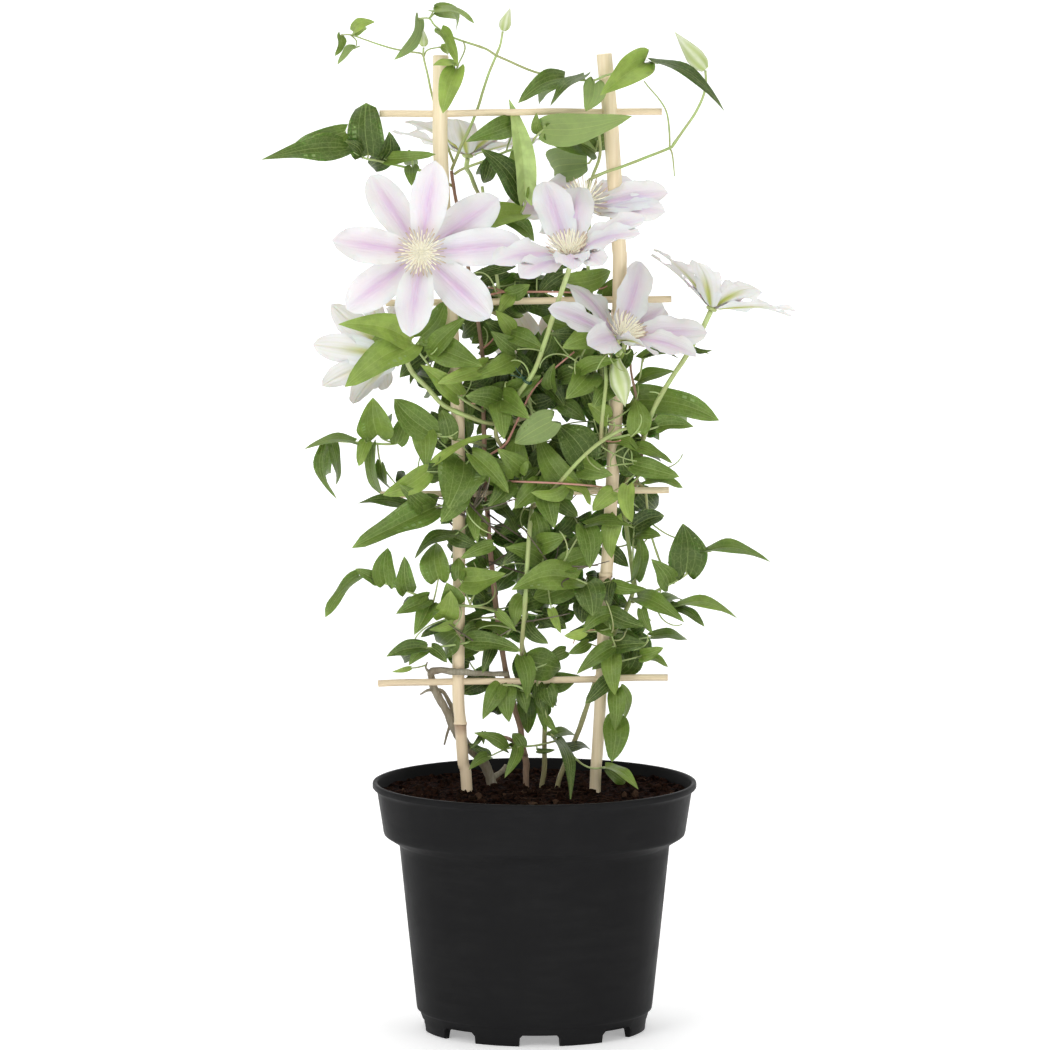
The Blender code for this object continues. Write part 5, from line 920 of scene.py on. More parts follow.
def leaning(base, tip):
    """A leaflet's tip in space. One that points up leans back, others forward, so that they face the sky."""
    x, z, depth = tip
    rises = z - base[1] > UPRIGHT * math.hypot(x - base[0], z - base[1])
    return at(x, z, base[2] + (depth - base[2]) * (-LEAN_BACK if rises else LEAN))


REAR_LIFT = {"spray_upper_left": 12}


def spray(name):
    """A leafy shoot's stem lines with their radii, and its leaflets in their clear positions.

    Some leaflets get a fellow further back, which fills the shoot as seen from the side.
    """
    _, paths, leaves = SPRAYS[name]
    lines, stalks, shapes = [], [], []
    for r0, r1, path in paths:
        path = places(path)
        if lines:
            path[0] = nearest_on(lines, path[0])
        sides = 3 if shapes else 4
        line = clear_line(name, path, r0, r1, sides)
        shapes.append(tube(line, [r0, r1], sides))
        lines.append(line)
        stalks.append((line, r0, r1))
    own, found = [], []
    for base, tip, width, roll in leaves:
        leaf, plain = leaflet(name, lines, at(*base), leaning(base, tip), width, roll, own)
        if leaf:
            found.append(leaf)
            shapes += plain
            own.append(tree_of(plain[0]))
    draw = random.Random(BACK_SEED + len(name))
    for base, tip, width, roll in leaves[::BACK_EVERY]:
        root, end = at(*base), at(*tip)
        share = draw.uniform(0.55, 0.8)
        behind = root + (end - root) * share + unit(root - EYE) * draw.uniform(24, 52)
        behind[2] -= draw.uniform(0, 10)
        start = root + unit(behind - root) * 3
        leaf, plain = leaflet(name, lines, start, behind, max(width * 0.85, 10), draw.uniform(-25, 40), own)
        if leaf:
            lift = np.array([0, 0, REAR_LIFT.get(name, 0)])
            found.append((leaf[0], leaf[1] + lift, leaf[2] + lift) + leaf[3:])
            shapes += plain
            own.append(tree_of(plain[0]))
    hold(name, shapes)
    return stalks, found


# %% [markdown]
# ## Blooms in place
# A bloom is six to eight sepals on a small dome. For the four that turn to the viewer each tip was measured.
# For the rest the sepals stand in a ring about the axis, opened by an angle. The known length settles each
# measured tip's depth: a line of sight meets a ball of that radius at a near and a far point, and the table
# says which.

# %% Placing sepals
SEPAL_SHIFTS = (0, 5, -5, 10, -10, 15, -15, 20, -20, 27, -27, 35, -35)


def reach(start, x, z, length, side):
    """The point seen at x, z that lies this far from the start, on its near or its far side."""
    sight = unit(at(x, z) - EYE)
    foot = EYE + sight * ((start - EYE) @ sight)
    gap = np.linalg.norm(start - foot)
    return foot + sight * side * math.sqrt(max(length**2 - gap**2, 0.0))


def sepal_tips(name):
    """Where each sepal of a bloom starts and ends: a measured list, or a ring round the axis."""
    centre, axis, length, _, _, tips = BLOOMS[name]
    centre, axis = at(*centre), unit(axis)
    if tips[0] != "ring":
        return centre, axis, [(reach(centre, x, z, length, side), width) for x, z, side, width in tips]
    _, opening, phase, count, width = tips
    right = unit(np.cross(axis, (0.0, 0.0, 1.0) if abs(axis[2]) < 0.8 else (0.0, 1.0, 0.0)))
    right = right if right[0] >= 0 else -right
    up = np.cross(right, axis)
    tilt = math.radians(opening)
    found = []
    for k in range(count):
        around = math.radians(phase) + 2 * math.pi * k / count
        out = right * math.cos(around) + up * math.sin(around)
        found.append((centre + length * (axis * math.cos(tilt) + out * math.sin(tilt)), width))
    return centre, axis, found


def sepals_of(name):
    """A bloom's sepals as (root, tip, width, axis, bow), each moved until it is clear, and plain shapes."""
    cup = BLOOMS[name][3]
    centre, axis, tips = sepal_tips(name)
    shapes = [bud_shape(centre - axis * RECEPTACLE_BACK, centre + axis * RECEPTACLE_FRONT, RECEPTACLE, 6)]
    stations = REAR_SEPAL_STATIONS if axis[1] > 0.5 else SEPAL_STATIONS
    found = []
    for i, (tip, width) in enumerate(tips):
        layer = 1.0 if i % 2 else -1.0
        start = centre + axis * (0.5 * layer - 0.5)
        bow = cup + 0.012 * layer
        for shift in SEPAL_SHIFTS:
            way = unit(tip + unit(tip - EYE) * shift - start)
            moved, root = start + way * np.linalg.norm(tip - start), start + way * CLAW

            def surface(u, v, moved=moved, root=root, bow=bow):
                return sepal_surface(root, moved, width, axis, bow, u, v)

            if not hit(blade(surface, stations, BLADE + 2 * GUARD), name):
                found.append((root, moved, width, axis, bow))
                shapes.append(blade(surface, stations, BLADE))
                break
    return found, shapes

# %% [markdown]
# ## Stamens in place
# The stamens stand on a small dome in a golden-angle spiral, which spreads any number of them evenly. The
# outer ones lean out more. Where one would pass through a sepal it leans in by steps of eight degrees until
# it is clear.

# %% Placing stamens
STAMEN_LEANS = (0, -8, -16, -24, -32, -40)


def stamen_ways(name, count):
    """The dome's seat and axis, and the path of each stamen that has room as a three-sided rod."""
    centre, axis = at(*BLOOMS[name][0]), unit(BLOOMS[name][1])
    seat = centre + axis * (RECEPTACLE_FRONT + FIT)
    side = unit(np.cross(axis, (0.31, 0.2, 0.9)))
    other = np.cross(axis, side)
    found = []
    for k in range(count):
        share = (k + 0.5) / count
        around = k * math.pi * (3 - math.sqrt(5))
        size = STAMEN_LENGTH + OUTER_EXTRA * share
        for lean in STAMEN_LEANS:
            tilt = math.radians(max(12 + 64 * share**0.7 + lean, 3))
            out = side * math.cos(around) + other * math.sin(around)
            way = axis * math.cos(tilt) + out * math.sin(tilt)
            root = seat + axis * 1.6 + out * 1.2 * share
            neck = root + way * size * 0.7
            path = [root, neck, neck + unit(way + axis * 0.25) * size * 0.3]
            if not hit(tube(path, [STAMEN_RADIUS + GUARD] * 3, 3), name, name + "_stamens"):
                found.append(path)
                break
    return seat, axis, found


def plain_head(name):
    """The dome and rods that the solid has."""
    seat, axis, found = stamen_ways(name, BLOOMS[name][4])
    shapes = [bud_shape(seat, seat + axis * HEAD_HEIGHT, HEAD_RADIUS, 6)]
    for path in found:
        points, faces = tube(path[:2], [STAMEN_RADIUS * 0.7, STAMEN_RADIUS], 3)
        shapes.append((np.vstack([points, path[2]]), faces[:-1] + [(3, 4, 6), (4, 5, 6), (5, 3, 6)]))
    return shapes


# %% Everything in its place
def cane_line(name):
    """A cane's line in space and its radii, from the table."""
    return np.array([at(x, z) for x, z, _ in CANES[name]]), [r for _, _, r in CANES[name]]


def tie_ring():
    """The tie's loop: middle, direction along the stalk, two across, radius, and the wire's own radius."""
    a, b, around, thick = TWIST_TIE
    a, b = at(*a), at(*b)
    along = unit(b - a)
    side = unit(np.cross(along, (0.0, 1.0, 0.0)))
    return (a + b) / 2, along, side, np.cross(along, side), around + FIT + thick + 0.5, thick


for name in CANES:
    hold(name, [tube(*cane_line(name), CANE_SIDES)])
for name, ((x0, z0), (x1, z1)) in RUNGS.items():
    hold(name, [tube([at(x0, z0), at(x1, z1)], [RUNG_RADIUS], 8)])

stem_lines = {}
for name, (_, sides, paths) in STEMS.items():
    stem_lines[name] = [(places(path), r0, r1) for r0, r1, path in paths]
    rods = []
    for line, r0, r1 in stem_lines[name]:
        sides = 4 if rods and line[0][2] > SOIL_TOP else sides
        rods.append(tube(line, [r0, r1], sides))
    hold(name, rods)

middle, along, side, other, reach_out, thick = tie_ring()
turns = 2 * np.pi * np.arange(9) / 8
loop = middle + reach_out * (np.cos(turns)[:, None] * side + np.sin(turns)[:, None] * other)
tie_ends = [[middle + side * reach_out, middle + side * (reach_out + 5) + along * turn * 3,
             middle + side * (reach_out + 9) + along * turn * 7] for turn in (-0.5, 0.5)]
hold("twist_tie", [tube(loop, [thick], 4)] + [tube(end, [thick, thick * 0.8], 3) for end in tie_ends])

bloom_sepals = {}
for name in BLOOMS:
    bloom_sepals[name], shapes = sepals_of(name)
    hold(name + "_sepals", shapes)
for name in BLOOMS:
    hold(name + "_stamens", plain_head(name))
for name, (base, tip, radius) in BUDS.items():
    hold(name, [bud_shape(at(*base), at(*tip), radius, 8)])
spray_stalks, spray_leaves = {}, {}
for name in SPRAYS:
    spray_stalks[name], spray_leaves[name] = spray(name)
print("sepals:", sum(map(len, bloom_sepals.values())), "leaflets:", sum(map(len, spray_leaves.values())))

# %% [markdown]
# ## Building a finish
# A finish here is a small network of shader nodes. Small helpers keep that short: one adds a node and either
# links or sets each of its inputs, others add, multiply or blend. What several finishes need, such as leaf
# veins or fibres, is built once as a node group with named inputs and outputs.

# %% Adding shader nodes
def add(tree, kind, inputs=None, **settings):
    """One node. An input given as a socket is linked, and any other value is set."""
    made = tree.nodes.new("ShaderNode" + kind)
    for key, value in settings.items():
        setattr(made, key, value)
    for key, value in (inputs or {}).items():
        socket = made.inputs[key]
        if isinstance(value, bpy.types.NodeSocket):
            tree.links.new(value, socket)
        else:
            socket.default_value = (*value, 1) if socket.type == "RGBA" and len(value) == 3 else value
    return made


def math_of(tree, what, a, b=0.0):
    return add(tree, "Math", {0: a, 1: b}, operation=what).outputs[0]


def times(tree, a, b):
    return math_of(tree, "MULTIPLY", a, b)


def plus(tree, a, b):
    return math_of(tree, "ADD", a, b)


def blend(tree, share, a, b):
    """The colour a turned towards b by share."""
    made = add(tree, "Mix", {0: share}, data_type="RGBA")
    for key, value in ((6, a), (7, b)):
        if isinstance(value, bpy.types.NodeSocket):
            tree.links.new(value, made.inputs[key])
        else:
            made.inputs[key].default_value = (*value, 1)
    return made.outputs[2]


def band(tree, value, low, high):
    """0 below low, 1 above high, and a smooth step between."""
    return add(tree, "MapRange", {"Value": value, "From Min": low, "From Max": high},
               interpolation_type="SMOOTHSTEP").outputs[0]


def fading(tree, value, low, high):
    """1 below low, 0 above high, and a smooth step between."""
    return math_of(tree, "SUBTRACT", 1.0, band(tree, value, low, high))


def object_place(tree):
    return add(tree, "TexCoord").outputs["Object"]


def attribute(tree, name, output="Fac"):
    return add(tree, "Attribute", attribute_name=name).outputs[output]


def noise(tree, place, scale, detail=3.0, rough=0.55):
    settings = {"Vector": place, "Scale": scale, "Detail": detail, "Roughness": rough}
    return add(tree, "TexNoise", settings).outputs["Fac"]


def group(name, ins, outs):
    """An empty node group with inputs and outputs given as name: kind; returns it with its two end nodes."""
    tree = bpy.data.node_groups.new(name, "ShaderNodeTree")
    for key, kind in ins.items():
        tree.interface.new_socket(key, in_out="INPUT", socket_type="NodeSocket" + kind)
    for key, kind in outs.items():
        tree.interface.new_socket(key, in_out="OUTPUT", socket_type="NodeSocket" + kind)
    return tree, tree.nodes.new("NodeGroupInput").outputs, tree.nodes.new("NodeGroupOutput").inputs


def use(tree, made, **inputs):
    """Places a group in a finish and gives its inputs; spaces in their names are written as _."""
    node = tree.nodes.new("ShaderNodeGroup")
    node.node_tree = made
    for key, value in inputs.items():
        socket = node.inputs[key.replace("_", " ")]
        if isinstance(value, bpy.types.NodeSocket):
            tree.links.new(value, socket)
        else:
            socket.default_value = value
    return node.outputs


def finish(name, roughness=0.5, **constants):
    """A new material with its shader; constants are set on the shader's own sockets."""
    made = bpy.data.materials.new(name)
    made.use_nodes = True
    shader = made.node_tree.nodes["Principled BSDF"]
    shader.inputs["Roughness"].default_value = roughness
    for key, value in constants.items():
        shader.inputs[key.replace("_", " ")].default_value = value
    return made, made.node_tree, shader.inputs


def bump(tree, height, distance, strength=1.0):
    return add(tree, "Bump", {"Height": height, "Distance": distance, "Strength": strength}).outputs[0]


# %% [markdown]
# ## Effects shared by several finishes
# Veins follow the blade, so they read the blade's own two parameters, which every leaflet carries as a point
# attribute. Lines at an even share of the half width meet by themselves at both ends, as a clematis leaflet's
# five main veins do. Fibres are noise squeezed along one direction, for bamboo, wood and petals. Speckle is
# plain noise, once soft and once fine.

# %% Node groups
veins, ins, outs = group(
    "leaf veins", {"Shape": "Vector", "Flat": "Vector", "Width": "Float"},
    {"Main": "Float", "Net": "Float", "Height": "Float"})
part = add(veins, "SeparateXYZ", {0: ins["Shape"]}).outputs
side_share = math_of(veins, "ABSOLUTE", part[1])
lines = None
for place, strength in ((0.0, 1.0), (0.36, 0.55), (0.70, 0.30)):
    gap = math_of(veins, "ABSOLUTE", math_of(veins, "SUBTRACT", side_share, place))
    near = math_of(veins, "DIVIDE", times(veins, gap, part[2]), ins["Width"])
    line = times(veins, fading(veins, near, 0.25, 1.0), strength)
    lines = line if lines is None else math_of(veins, "MAXIMUM", lines, line)
cells = add(veins, "TexVoronoi", {"Vector": ins["Flat"], "Scale": 0.30}, feature="DISTANCE_TO_EDGE").outputs
netted = fading(veins, cells["Distance"], 0.0, 0.11)
veins.links.new(lines, outs["Main"])
veins.links.new(netted, outs["Net"])
grooves = plus(veins, lines, times(veins, netted, 0.35))
veins.links.new(math_of(veins, "SUBTRACT", 1.0, grooves), outs["Height"])

fibres, ins, outs = group(
    "fibres", {"Place": "Vector", "Fine": "Float", "Long": "Float"}, {"Streak": "Float", "Patch": "Float"})
stretched = add(fibres, "VectorMath", {0: ins["Place"]}, operation="MULTIPLY")
fibres.links.new(add(fibres, "CombineXYZ", {"X": ins["Fine"], "Y": ins["Fine"], "Z": ins["Long"]}).outputs[0],
                 stretched.inputs[1])
streak = noise(fibres, stretched.outputs[0], 1.0, 5.0, 0.6)
fibres.links.new(band(fibres, streak, 0.30, 0.70), outs["Streak"])
wider = add(fibres, "VectorMath", {0: stretched.outputs[0], "Scale": 0.13}, operation="SCALE").outputs[0]
patch = noise(fibres, wider, 1.0)
fibres.links.new(band(fibres, patch, 0.38, 0.66), outs["Patch"])

speckle, ins, outs = group(
    "speckle", {"Place": "Vector", "Scale": "Float"}, {"Soft": "Float", "Fine": "Float"})
speckle.links.new(band(speckle, noise(speckle, ins["Place"], ins["Scale"]), 0.35, 0.65), outs["Soft"])
finer = times(speckle, ins["Scale"], 9.0)
speckle.links.new(noise(speckle, ins["Place"], finer, 4.0), outs["Fine"])
print("node groups:", [g.name for g in bpy.data.node_groups])


# %% [markdown]
# ## Leaf finish
# A leaflet's face is a satin green with paler veins sunk in it, and its underside is matt and greyer. Each
# leaflet has a tone of its own, from deep green low down to yellow-green at the growing tips. A little light
# passes through a thin blade, which a low subsurface weight gives without making it glassy.

# %% Leaf green
VEIN_WIDTH = 0.38
LEAF_DEEP, LEAF_MID, LEAF_YOUNG = (0.032, 0.058, 0.008), (0.126, 0.200, 0.028), (0.325, 0.440, 0.080)
LEAF_VEIN, LEAF_BACK, LEAF_PALE = (0.38, 0.48, 0.15), (0.27, 0.35, 0.15), (0.47, 0.60, 0.22)


def leaf_finish(name, shift):
    """Green by the leaflet's tone, moved by shift towards the young colour; veins and underside apart."""
    made, tree, shader = finish(name, Specular_IOR_Level=0.32, Subsurface_Weight=0.15,
                                Subsurface_Radius=(0.35, 1.0, 0.2), Subsurface_Scale=0.001)
    flat = attribute(tree, "flat", "Vector")
    tone = plus(tree, attribute(tree, "tone"), shift)
    green = blend(tree, band(tree, tone, 0.0, 0.5), LEAF_DEEP, LEAF_MID)
    green = blend(tree, band(tree, tone, 0.45, 1.1), green, LEAF_YOUNG)
    green = blend(tree, band(tree, tone, 1.2, 1.8), green, LEAF_PALE)
    vein = use(tree, veins, Shape=attribute(tree, "shape", "Vector"), Flat=flat, Width=VEIN_WIDTH)
    mottle = use(tree, speckle, Place=flat, Scale=0.09)
    green = blend(tree, times(tree, mottle["Soft"], 0.30), green, LEAF_DEEP)
    green = blend(tree, times(tree, vein["Net"], 0.12), green, LEAF_VEIN)
    face = blend(tree, times(tree, vein["Main"], 0.34), green, LEAF_VEIN)
    back = blend(tree, 0.62, green, LEAF_BACK)
    back = blend(tree, times(tree, vein["Main"], 0.5), back, LEAF_VEIN)
    under = attribute(tree, "under")
    tree.links.new(blend(tree, under, face, back), shader["Base Color"])
    rough = add(tree, "MapRange", {"Value": under, "To Min": 0.40, "To Max": 0.72}).outputs[0]
    rough = plus(tree, rough, times(tree, mottle["Fine"], 0.12))
    tree.links.new(rough, shader["Roughness"])
    tree.links.new(bump(tree, vein["Height"], 0.0003, 0.3), shader["Normal"])
    return made


leaf_green = leaf_finish("leaf_green", 0.0)
young_green = leaf_finish("young_green", 0.22)
print("leaf finishes:", leaf_green.name, young_green.name)

# %% [markdown]
# ## Petal finish
# The sepals are white with a breath of lilac. A lilac-pink bar runs up the middle of each. It is strongest by
# the midrib and near the heart, and fades towards the edges and the tip. Their backs are whiter still, with a
# yellow-green rib. Fine long lines run from the claw to the edge, so the bump is the ribs and, less strongly,
# noise squeezed along the length.

# %% Petal
PETAL_WHITE, PETAL_LILAC, PETAL_BAR = (0.77, 0.775, 0.76), (0.75, 0.71, 0.76), (0.63, 0.45, 0.65)
PETAL_BACK, PETAL_GREEN = (0.76, 0.77, 0.76), (0.42, 0.49, 0.07)


def petal_finish():
    """White mottled with lilac, a pink bar by the distance from the midrib, and green ribs on the back."""
    made, tree, shader = finish("petal", 0.55, Subsurface_Weight=0.15, Subsurface_Scale=0.002,
                                Sheen_Weight=0.15, Sheen_Roughness=0.6)
    shape, flat = attribute(tree, "shape", "Vector"), attribute(tree, "flat", "Vector")
    along, across = add(tree, "SeparateXYZ", {0: shape}).outputs[:2]
    side_share = math_of(tree, "ABSOLUTE", across)
    lines = use(tree, fibres, Place=flat, Fine=0.9, Long=1.0)
    mottle = use(tree, speckle, Place=flat, Scale=0.05)
    broad = fading(tree, side_share, 0.08, 0.90)
    narrow = fading(tree, side_share, 0.0, 0.32)
    near_bar = plus(tree, times(tree, broad, 0.55), times(tree, narrow, 0.42))
    fade = fading(tree, along, 0.55, 1.05)
    bar = times(tree, near_bar, plus(tree, times(tree, fade, 0.8), 0.12))
    bar = times(tree, bar, plus(tree, times(tree, lines["Streak"], 0.4), 0.7))
    face = blend(tree, times(tree, mottle["Soft"], 0.45), PETAL_WHITE, PETAL_LILAC)
    face = blend(tree, bar, face, PETAL_BAR)
    rib = use(tree, veins, Shape=shape, Flat=flat, Width=0.9)
    near_mid = fading(tree, side_share, 0.08, 0.42)
    green_rib = times(tree, near_mid, fading(tree, along, 0.22, 0.85))
    back = blend(tree, times(tree, green_rib, 0.95), PETAL_BACK, PETAL_GREEN)
    back = blend(tree, times(tree, rib["Main"], 0.18), back, PETAL_GREEN)
    tree.links.new(blend(tree, attribute(tree, "under"), face, back), shader["Base Color"])
    height = plus(tree, rib["Height"], times(tree, lines["Streak"], 0.5))
    tree.links.new(bump(tree, height, 0.00025, 0.6), shader["Normal"])
    return made


petal = petal_finish()

# %% [markdown]
# ## Stamen, stem and bud finishes
# These are thin, so they need little more than a colour that changes along them and a soft mottle. Each
# carries a share from 0 at its foot to 1 at its end, and the finish blends along it: a filament is white and
# its anther cream or brownish, a flower stalk is paler towards the bloom, a bud is green with whitish ribs.
# The pale stamens also glow faintly in their own colour: painted light that lifts the shade in the tuft.

# %% Finishes that change along a piece
def graded_finish(name, colours, scale, roughness, ribs=0.0, **constants):
    """Three colours along the share attribute, with a mottle towards the fourth, and a fine bump."""
    made, tree, shader = finish(name, roughness, **constants)
    share = attribute(tree, "share")
    place = object_place(tree)
    mottle = use(tree, speckle, Place=place, Scale=scale)
    colour = blend(tree, band(tree, share, 0.0, 0.5), colours[0], colours[1])
    colour = blend(tree, band(tree, share, 0.5, 1.0), colour, colours[2])
    if ribs:
        colour = blend(tree, times(tree, attribute(tree, "rib"), ribs), colour, colours[4])
    colour = blend(tree, times(tree, mottle["Soft"], 0.35), colour, colours[3])
    tree.links.new(colour, shader["Base Color"])
    # A finish given an emission strength glows in its own colour: painted light, not a lamp.
    if "Emission_Strength" in constants:
        tree.links.new(colour, shader["Emission Color"])
    rough = plus(tree, times(tree, mottle["Fine"], 0.2), roughness - 0.1)
    tree.links.new(rough, shader["Roughness"])
    tree.links.new(bump(tree, mottle["Fine"], 0.0003, 0.6), shader["Normal"])
    return made


# The cream filaments glow faintly in their own colour, painted light that lifts the shade inside the tuft.
filament_cream_glow = graded_finish(
    "filament_cream_glow", ((0.96, 0.95, 0.86), (0.96, 0.94, 0.80), (0.96, 0.91, 0.70), (0.94, 0.89, 0.76)),
    400, 0.6, Emission_Strength=0.12)
filament_dark = graded_finish(
    "filament_dark", ((0.84, 0.80, 0.68), (0.80, 0.72, 0.56), (0.52, 0.38, 0.28), (0.66, 0.54, 0.40)),
    400, 0.6)
green_stem = graded_finish(
    "green_stem", ((0.40, 0.36, 0.19), (0.38, 0.49, 0.17), (0.52, 0.63, 0.27), (0.34, 0.30, 0.13)), 120, 0.45)
leaf_stalk = graded_finish(
    "leaf_stalk", ((0.36, 0.42, 0.17), (0.36, 0.50, 0.17), (0.46, 0.58, 0.24), (0.38, 0.30, 0.15)), 160, 0.5)
tendril_red = graded_finish(
    "tendril_red", ((0.42, 0.22, 0.14), (0.52, 0.24, 0.20), (0.50, 0.34, 0.18), (0.60, 0.36, 0.30)),
    200, 0.55)
bud_green = graded_finish(
    "bud_green",
    ((0.36, 0.46, 0.12), (0.50, 0.58, 0.26), (0.68, 0.71, 0.58), (0.46, 0.56, 0.22), (0.72, 0.76, 0.58)),
    150, 0.55, ribs=0.75, Sheen_Weight=0.2)
tie_green = graded_finish(
    "tie_green", ((0.020, 0.070, 0.040), (0.024, 0.080, 0.046), (0.030, 0.090, 0.050), (0.05, 0.12, 0.08)),
    300, 0.35)

# %% [markdown]
# ## Bark, bamboo, plastic and peat
# Wood and bamboo are streaked along their length, which on this plant is nearly upright, so object
# coordinates serve: they are squeezed along Z. The rungs lie flat, so theirs are squeezed along X instead.
# The pot is moulded black plastic with a faint mottle in its gloss and a trace of dust; the peat is dark,
# red-brown and ragged.

# %% Streaked finishes
def streaked_finish(name, colours, fine, long, roughness, depth, flat=False):
    """Two colours in streaks, a third in patches, and a fourth in the finest fibres."""
    made, tree, shader = finish(name, roughness)
    place = object_place(tree)
    if flat:
        turn = {"Vector": place, "Angle": math.pi / 2}
        place = add(tree, "VectorRotate", turn, rotation_type="Y_AXIS").outputs[0]
    fibre = use(tree, fibres, Place=place, Fine=fine, Long=long)
    finer = use(tree, fibres, Place=place, Fine=fine * 3.1, Long=long * 2.0)
    colour = blend(tree, fibre["Streak"], colours[0], colours[1])
    colour = blend(tree, times(tree, fibre["Patch"], 0.7), colour, colours[2])
    colour = blend(tree, times(tree, finer["Streak"], 0.3), colour, colours[3])
    colour = blend(tree, attribute(tree, "stain"), colour, colours[4])
    tree.links.new(colour, shader["Base Color"])
    rough = plus(tree, times(tree, finer["Streak"], 0.15), roughness - 0.07)
    tree.links.new(rough, shader["Roughness"])
    height = plus(tree, fibre["Streak"], finer["Streak"])
    tree.links.new(bump(tree, height, depth, 0.7), shader["Normal"])
    return made


BAMBOO_COLOURS = (
    (0.84, 0.71, 0.46), (0.93, 0.82, 0.59), (0.85, 0.67, 0.46), (0.72, 0.57, 0.33), (0.24, 0.10, 0.05))
bamboo = streaked_finish("bamboo", BAMBOO_COLOURS, 420, 12, 0.42, 0.00012)
split_bamboo = streaked_finish("split_bamboo", BAMBOO_COLOURS, 700, 10, 0.55, 0.00025, flat=True)
old_wood = streaked_finish(
    "old_wood",
    ((0.34, 0.31, 0.22), (0.50, 0.46, 0.35), (0.28, 0.22, 0.15), (0.16, 0.12, 0.08), (0.10, 0.07, 0.05)),
    600, 40, 0.85, 0.0006)
brown_bark = streaked_finish(
    "brown_bark",
    ((0.34, 0.18, 0.13), (0.48, 0.29, 0.21), (0.38, 0.28, 0.18), (0.18, 0.09, 0.06), (0.74, 0.36, 0.28)),
    700, 50, 0.7, 0.0004)


# %% Pot and peat
PLASTIC, PLASTIC_DUST = (0.0140, 0.0140, 0.0145), (0.026, 0.026, 0.026)
PEAT_DARK, PEAT_BROWN = (0.004, 0.0012, 0.0005), (0.058, 0.023, 0.014)
PEAT_FLECK, PEAT_FIBRE = (0.020, 0.007, 0.004), (0.22, 0.13, 0.08)


def pot_finish():
    """Black with a little dust in drawn streaks, and a gloss that varies slightly."""
    made, tree, shader = finish("black_plastic", 0.45, Specular_IOR_Level=0.02)
    place = object_place(tree)
    mottle = use(tree, speckle, Place=place, Scale=28.0)
    drawn = use(tree, fibres, Place=place, Fine=24.0, Long=150.0)
    dust = times(tree, mottle["Soft"], times(tree, drawn["Streak"], 0.25))
    tree.links.new(blend(tree, dust, PLASTIC, PLASTIC_DUST), shader["Base Color"])
    rough = add(tree, "MapRange", {"Value": mottle["Soft"], "To Min": 0.34, "To Max": 0.44}).outputs[0]
    rough = plus(tree, rough, times(tree, mottle["Fine"], 0.08))
    tree.links.new(rough, shader["Roughness"])
    tree.links.new(bump(tree, mottle["Fine"], 0.0002, 0.25), shader["Normal"])
    return made


def peat_finish():
    """Dark and brown by coarse noise, with flecks from finer noise, and paler where the piece says so."""
    made, tree, shader = finish("peat", 0.95, Specular_IOR_Level=0.03)
    place = object_place(tree)
    coarse = use(tree, speckle, Place=place, Scale=260.0)
    fine = use(tree, speckle, Place=place, Scale=900.0)
    colour = blend(tree, band(tree, coarse["Soft"], 0.25, 0.75), PEAT_DARK, PEAT_BROWN)
    colour = blend(tree, times(tree, fine["Soft"], 0.5), colour, PEAT_FLECK)
    tree.links.new(blend(tree, attribute(tree, "pale"), colour, PEAT_FIBRE), shader["Base Color"])
    height = plus(tree, coarse["Fine"], fine["Soft"])
    tree.links.new(bump(tree, height, 0.004, 1.0), shader["Normal"])
    return made


black_plastic, peat = pot_finish(), peat_finish()
print("finishes:", len(bpy.data.materials))

# %% [markdown]
# ## The canes
# A bamboo cane is a hollow rod with a swollen ring at each joint. Its outside is a ring of points carried up
# a gently bent line, with the measured radius at each height. At the cut top the rings turn inward and run a
# little way down inside, so the cane shows its wall and its hole. The joints are where the table's radius
# peaks.

# %% Canes
CANE_RING = 24
PITH, PITH_DEPTH = 2.0, 9.0


def stretched(path, radii, steps):
    """The path and its radii at steps points for each stretch, on a smooth curve."""
    ready = smooth_path(np.column_stack([path, radii]), steps)
    return ready[:, :3], ready[:, 3]


def joint_heights(name):
    """The heights at which the cane's radius in the table is larger than the one below and the one above."""
    rows = CANES[name]
    return [b[1] for a, b, c in zip(rows, rows[1:], rows[2:]) if b[2] > max(a[2], c[2])]


def cane_shape(name):
    """The cane's rings, then those of its cut top, and how dark each point is below a joint."""
    path, radii = stretched(*cane_line(name), 4)
    ahead, across, other = carried(path)
    top, up, x, y = path[-1], ahead[-1], across[-1:], other[-1:]
    inner = np.array([top + up * 0.2, top + up * 0.2, top, top - up * PITH_DEPTH])
    shares = np.array([radii[-1] - 0.5, PITH + 0.4, PITH, PITH * 0.8])
    rows = np.vstack([
        ring_points(path, radii, across, other, CANE_RING),
        ring_points(inner, shares, np.repeat(x, 4, 0), np.repeat(y, 4, 0), CANE_RING)])
    wobble = 1 + 0.02 * np.sin(3 * np.arange(CANE_RING) * 2 * np.pi / CANE_RING + rows[:, :1, 2] / 30)
    points = swollen(np.vstack([path, inner]), rows, wobble).reshape(-1, 3)
    heights = points[:, 2]
    below = np.min([np.where(heights < z, z - heights, 99) for z in joint_heights(name)], axis=0)
    stain = 0.75 * np.exp(-np.abs(below - 2.2) / 2.5) + 0.15 * np.exp(-below / 14)
    return points, tube_faces(len(rows), CANE_RING), np.clip(stain, 0, 1)


for name in CANES:
    shapes = Gather()
    points, faces, stain = cane_shape(name)
    shapes.add(points, faces, stain=stain)
    piece(name + "_bamboo", shapes, bamboo, "bamboo", name)
print("canes:", list(CANES))

# %% [markdown]
# ## The rungs
# The four rungs are thin slats split from a cane, so their section is an uneven oval, their ends are cut
# square and they are not quite straight. They pass through both canes, where the pieces simply overlap.

# %% Rungs
RUNG_RING, RUNG_ROWS = 12, 40


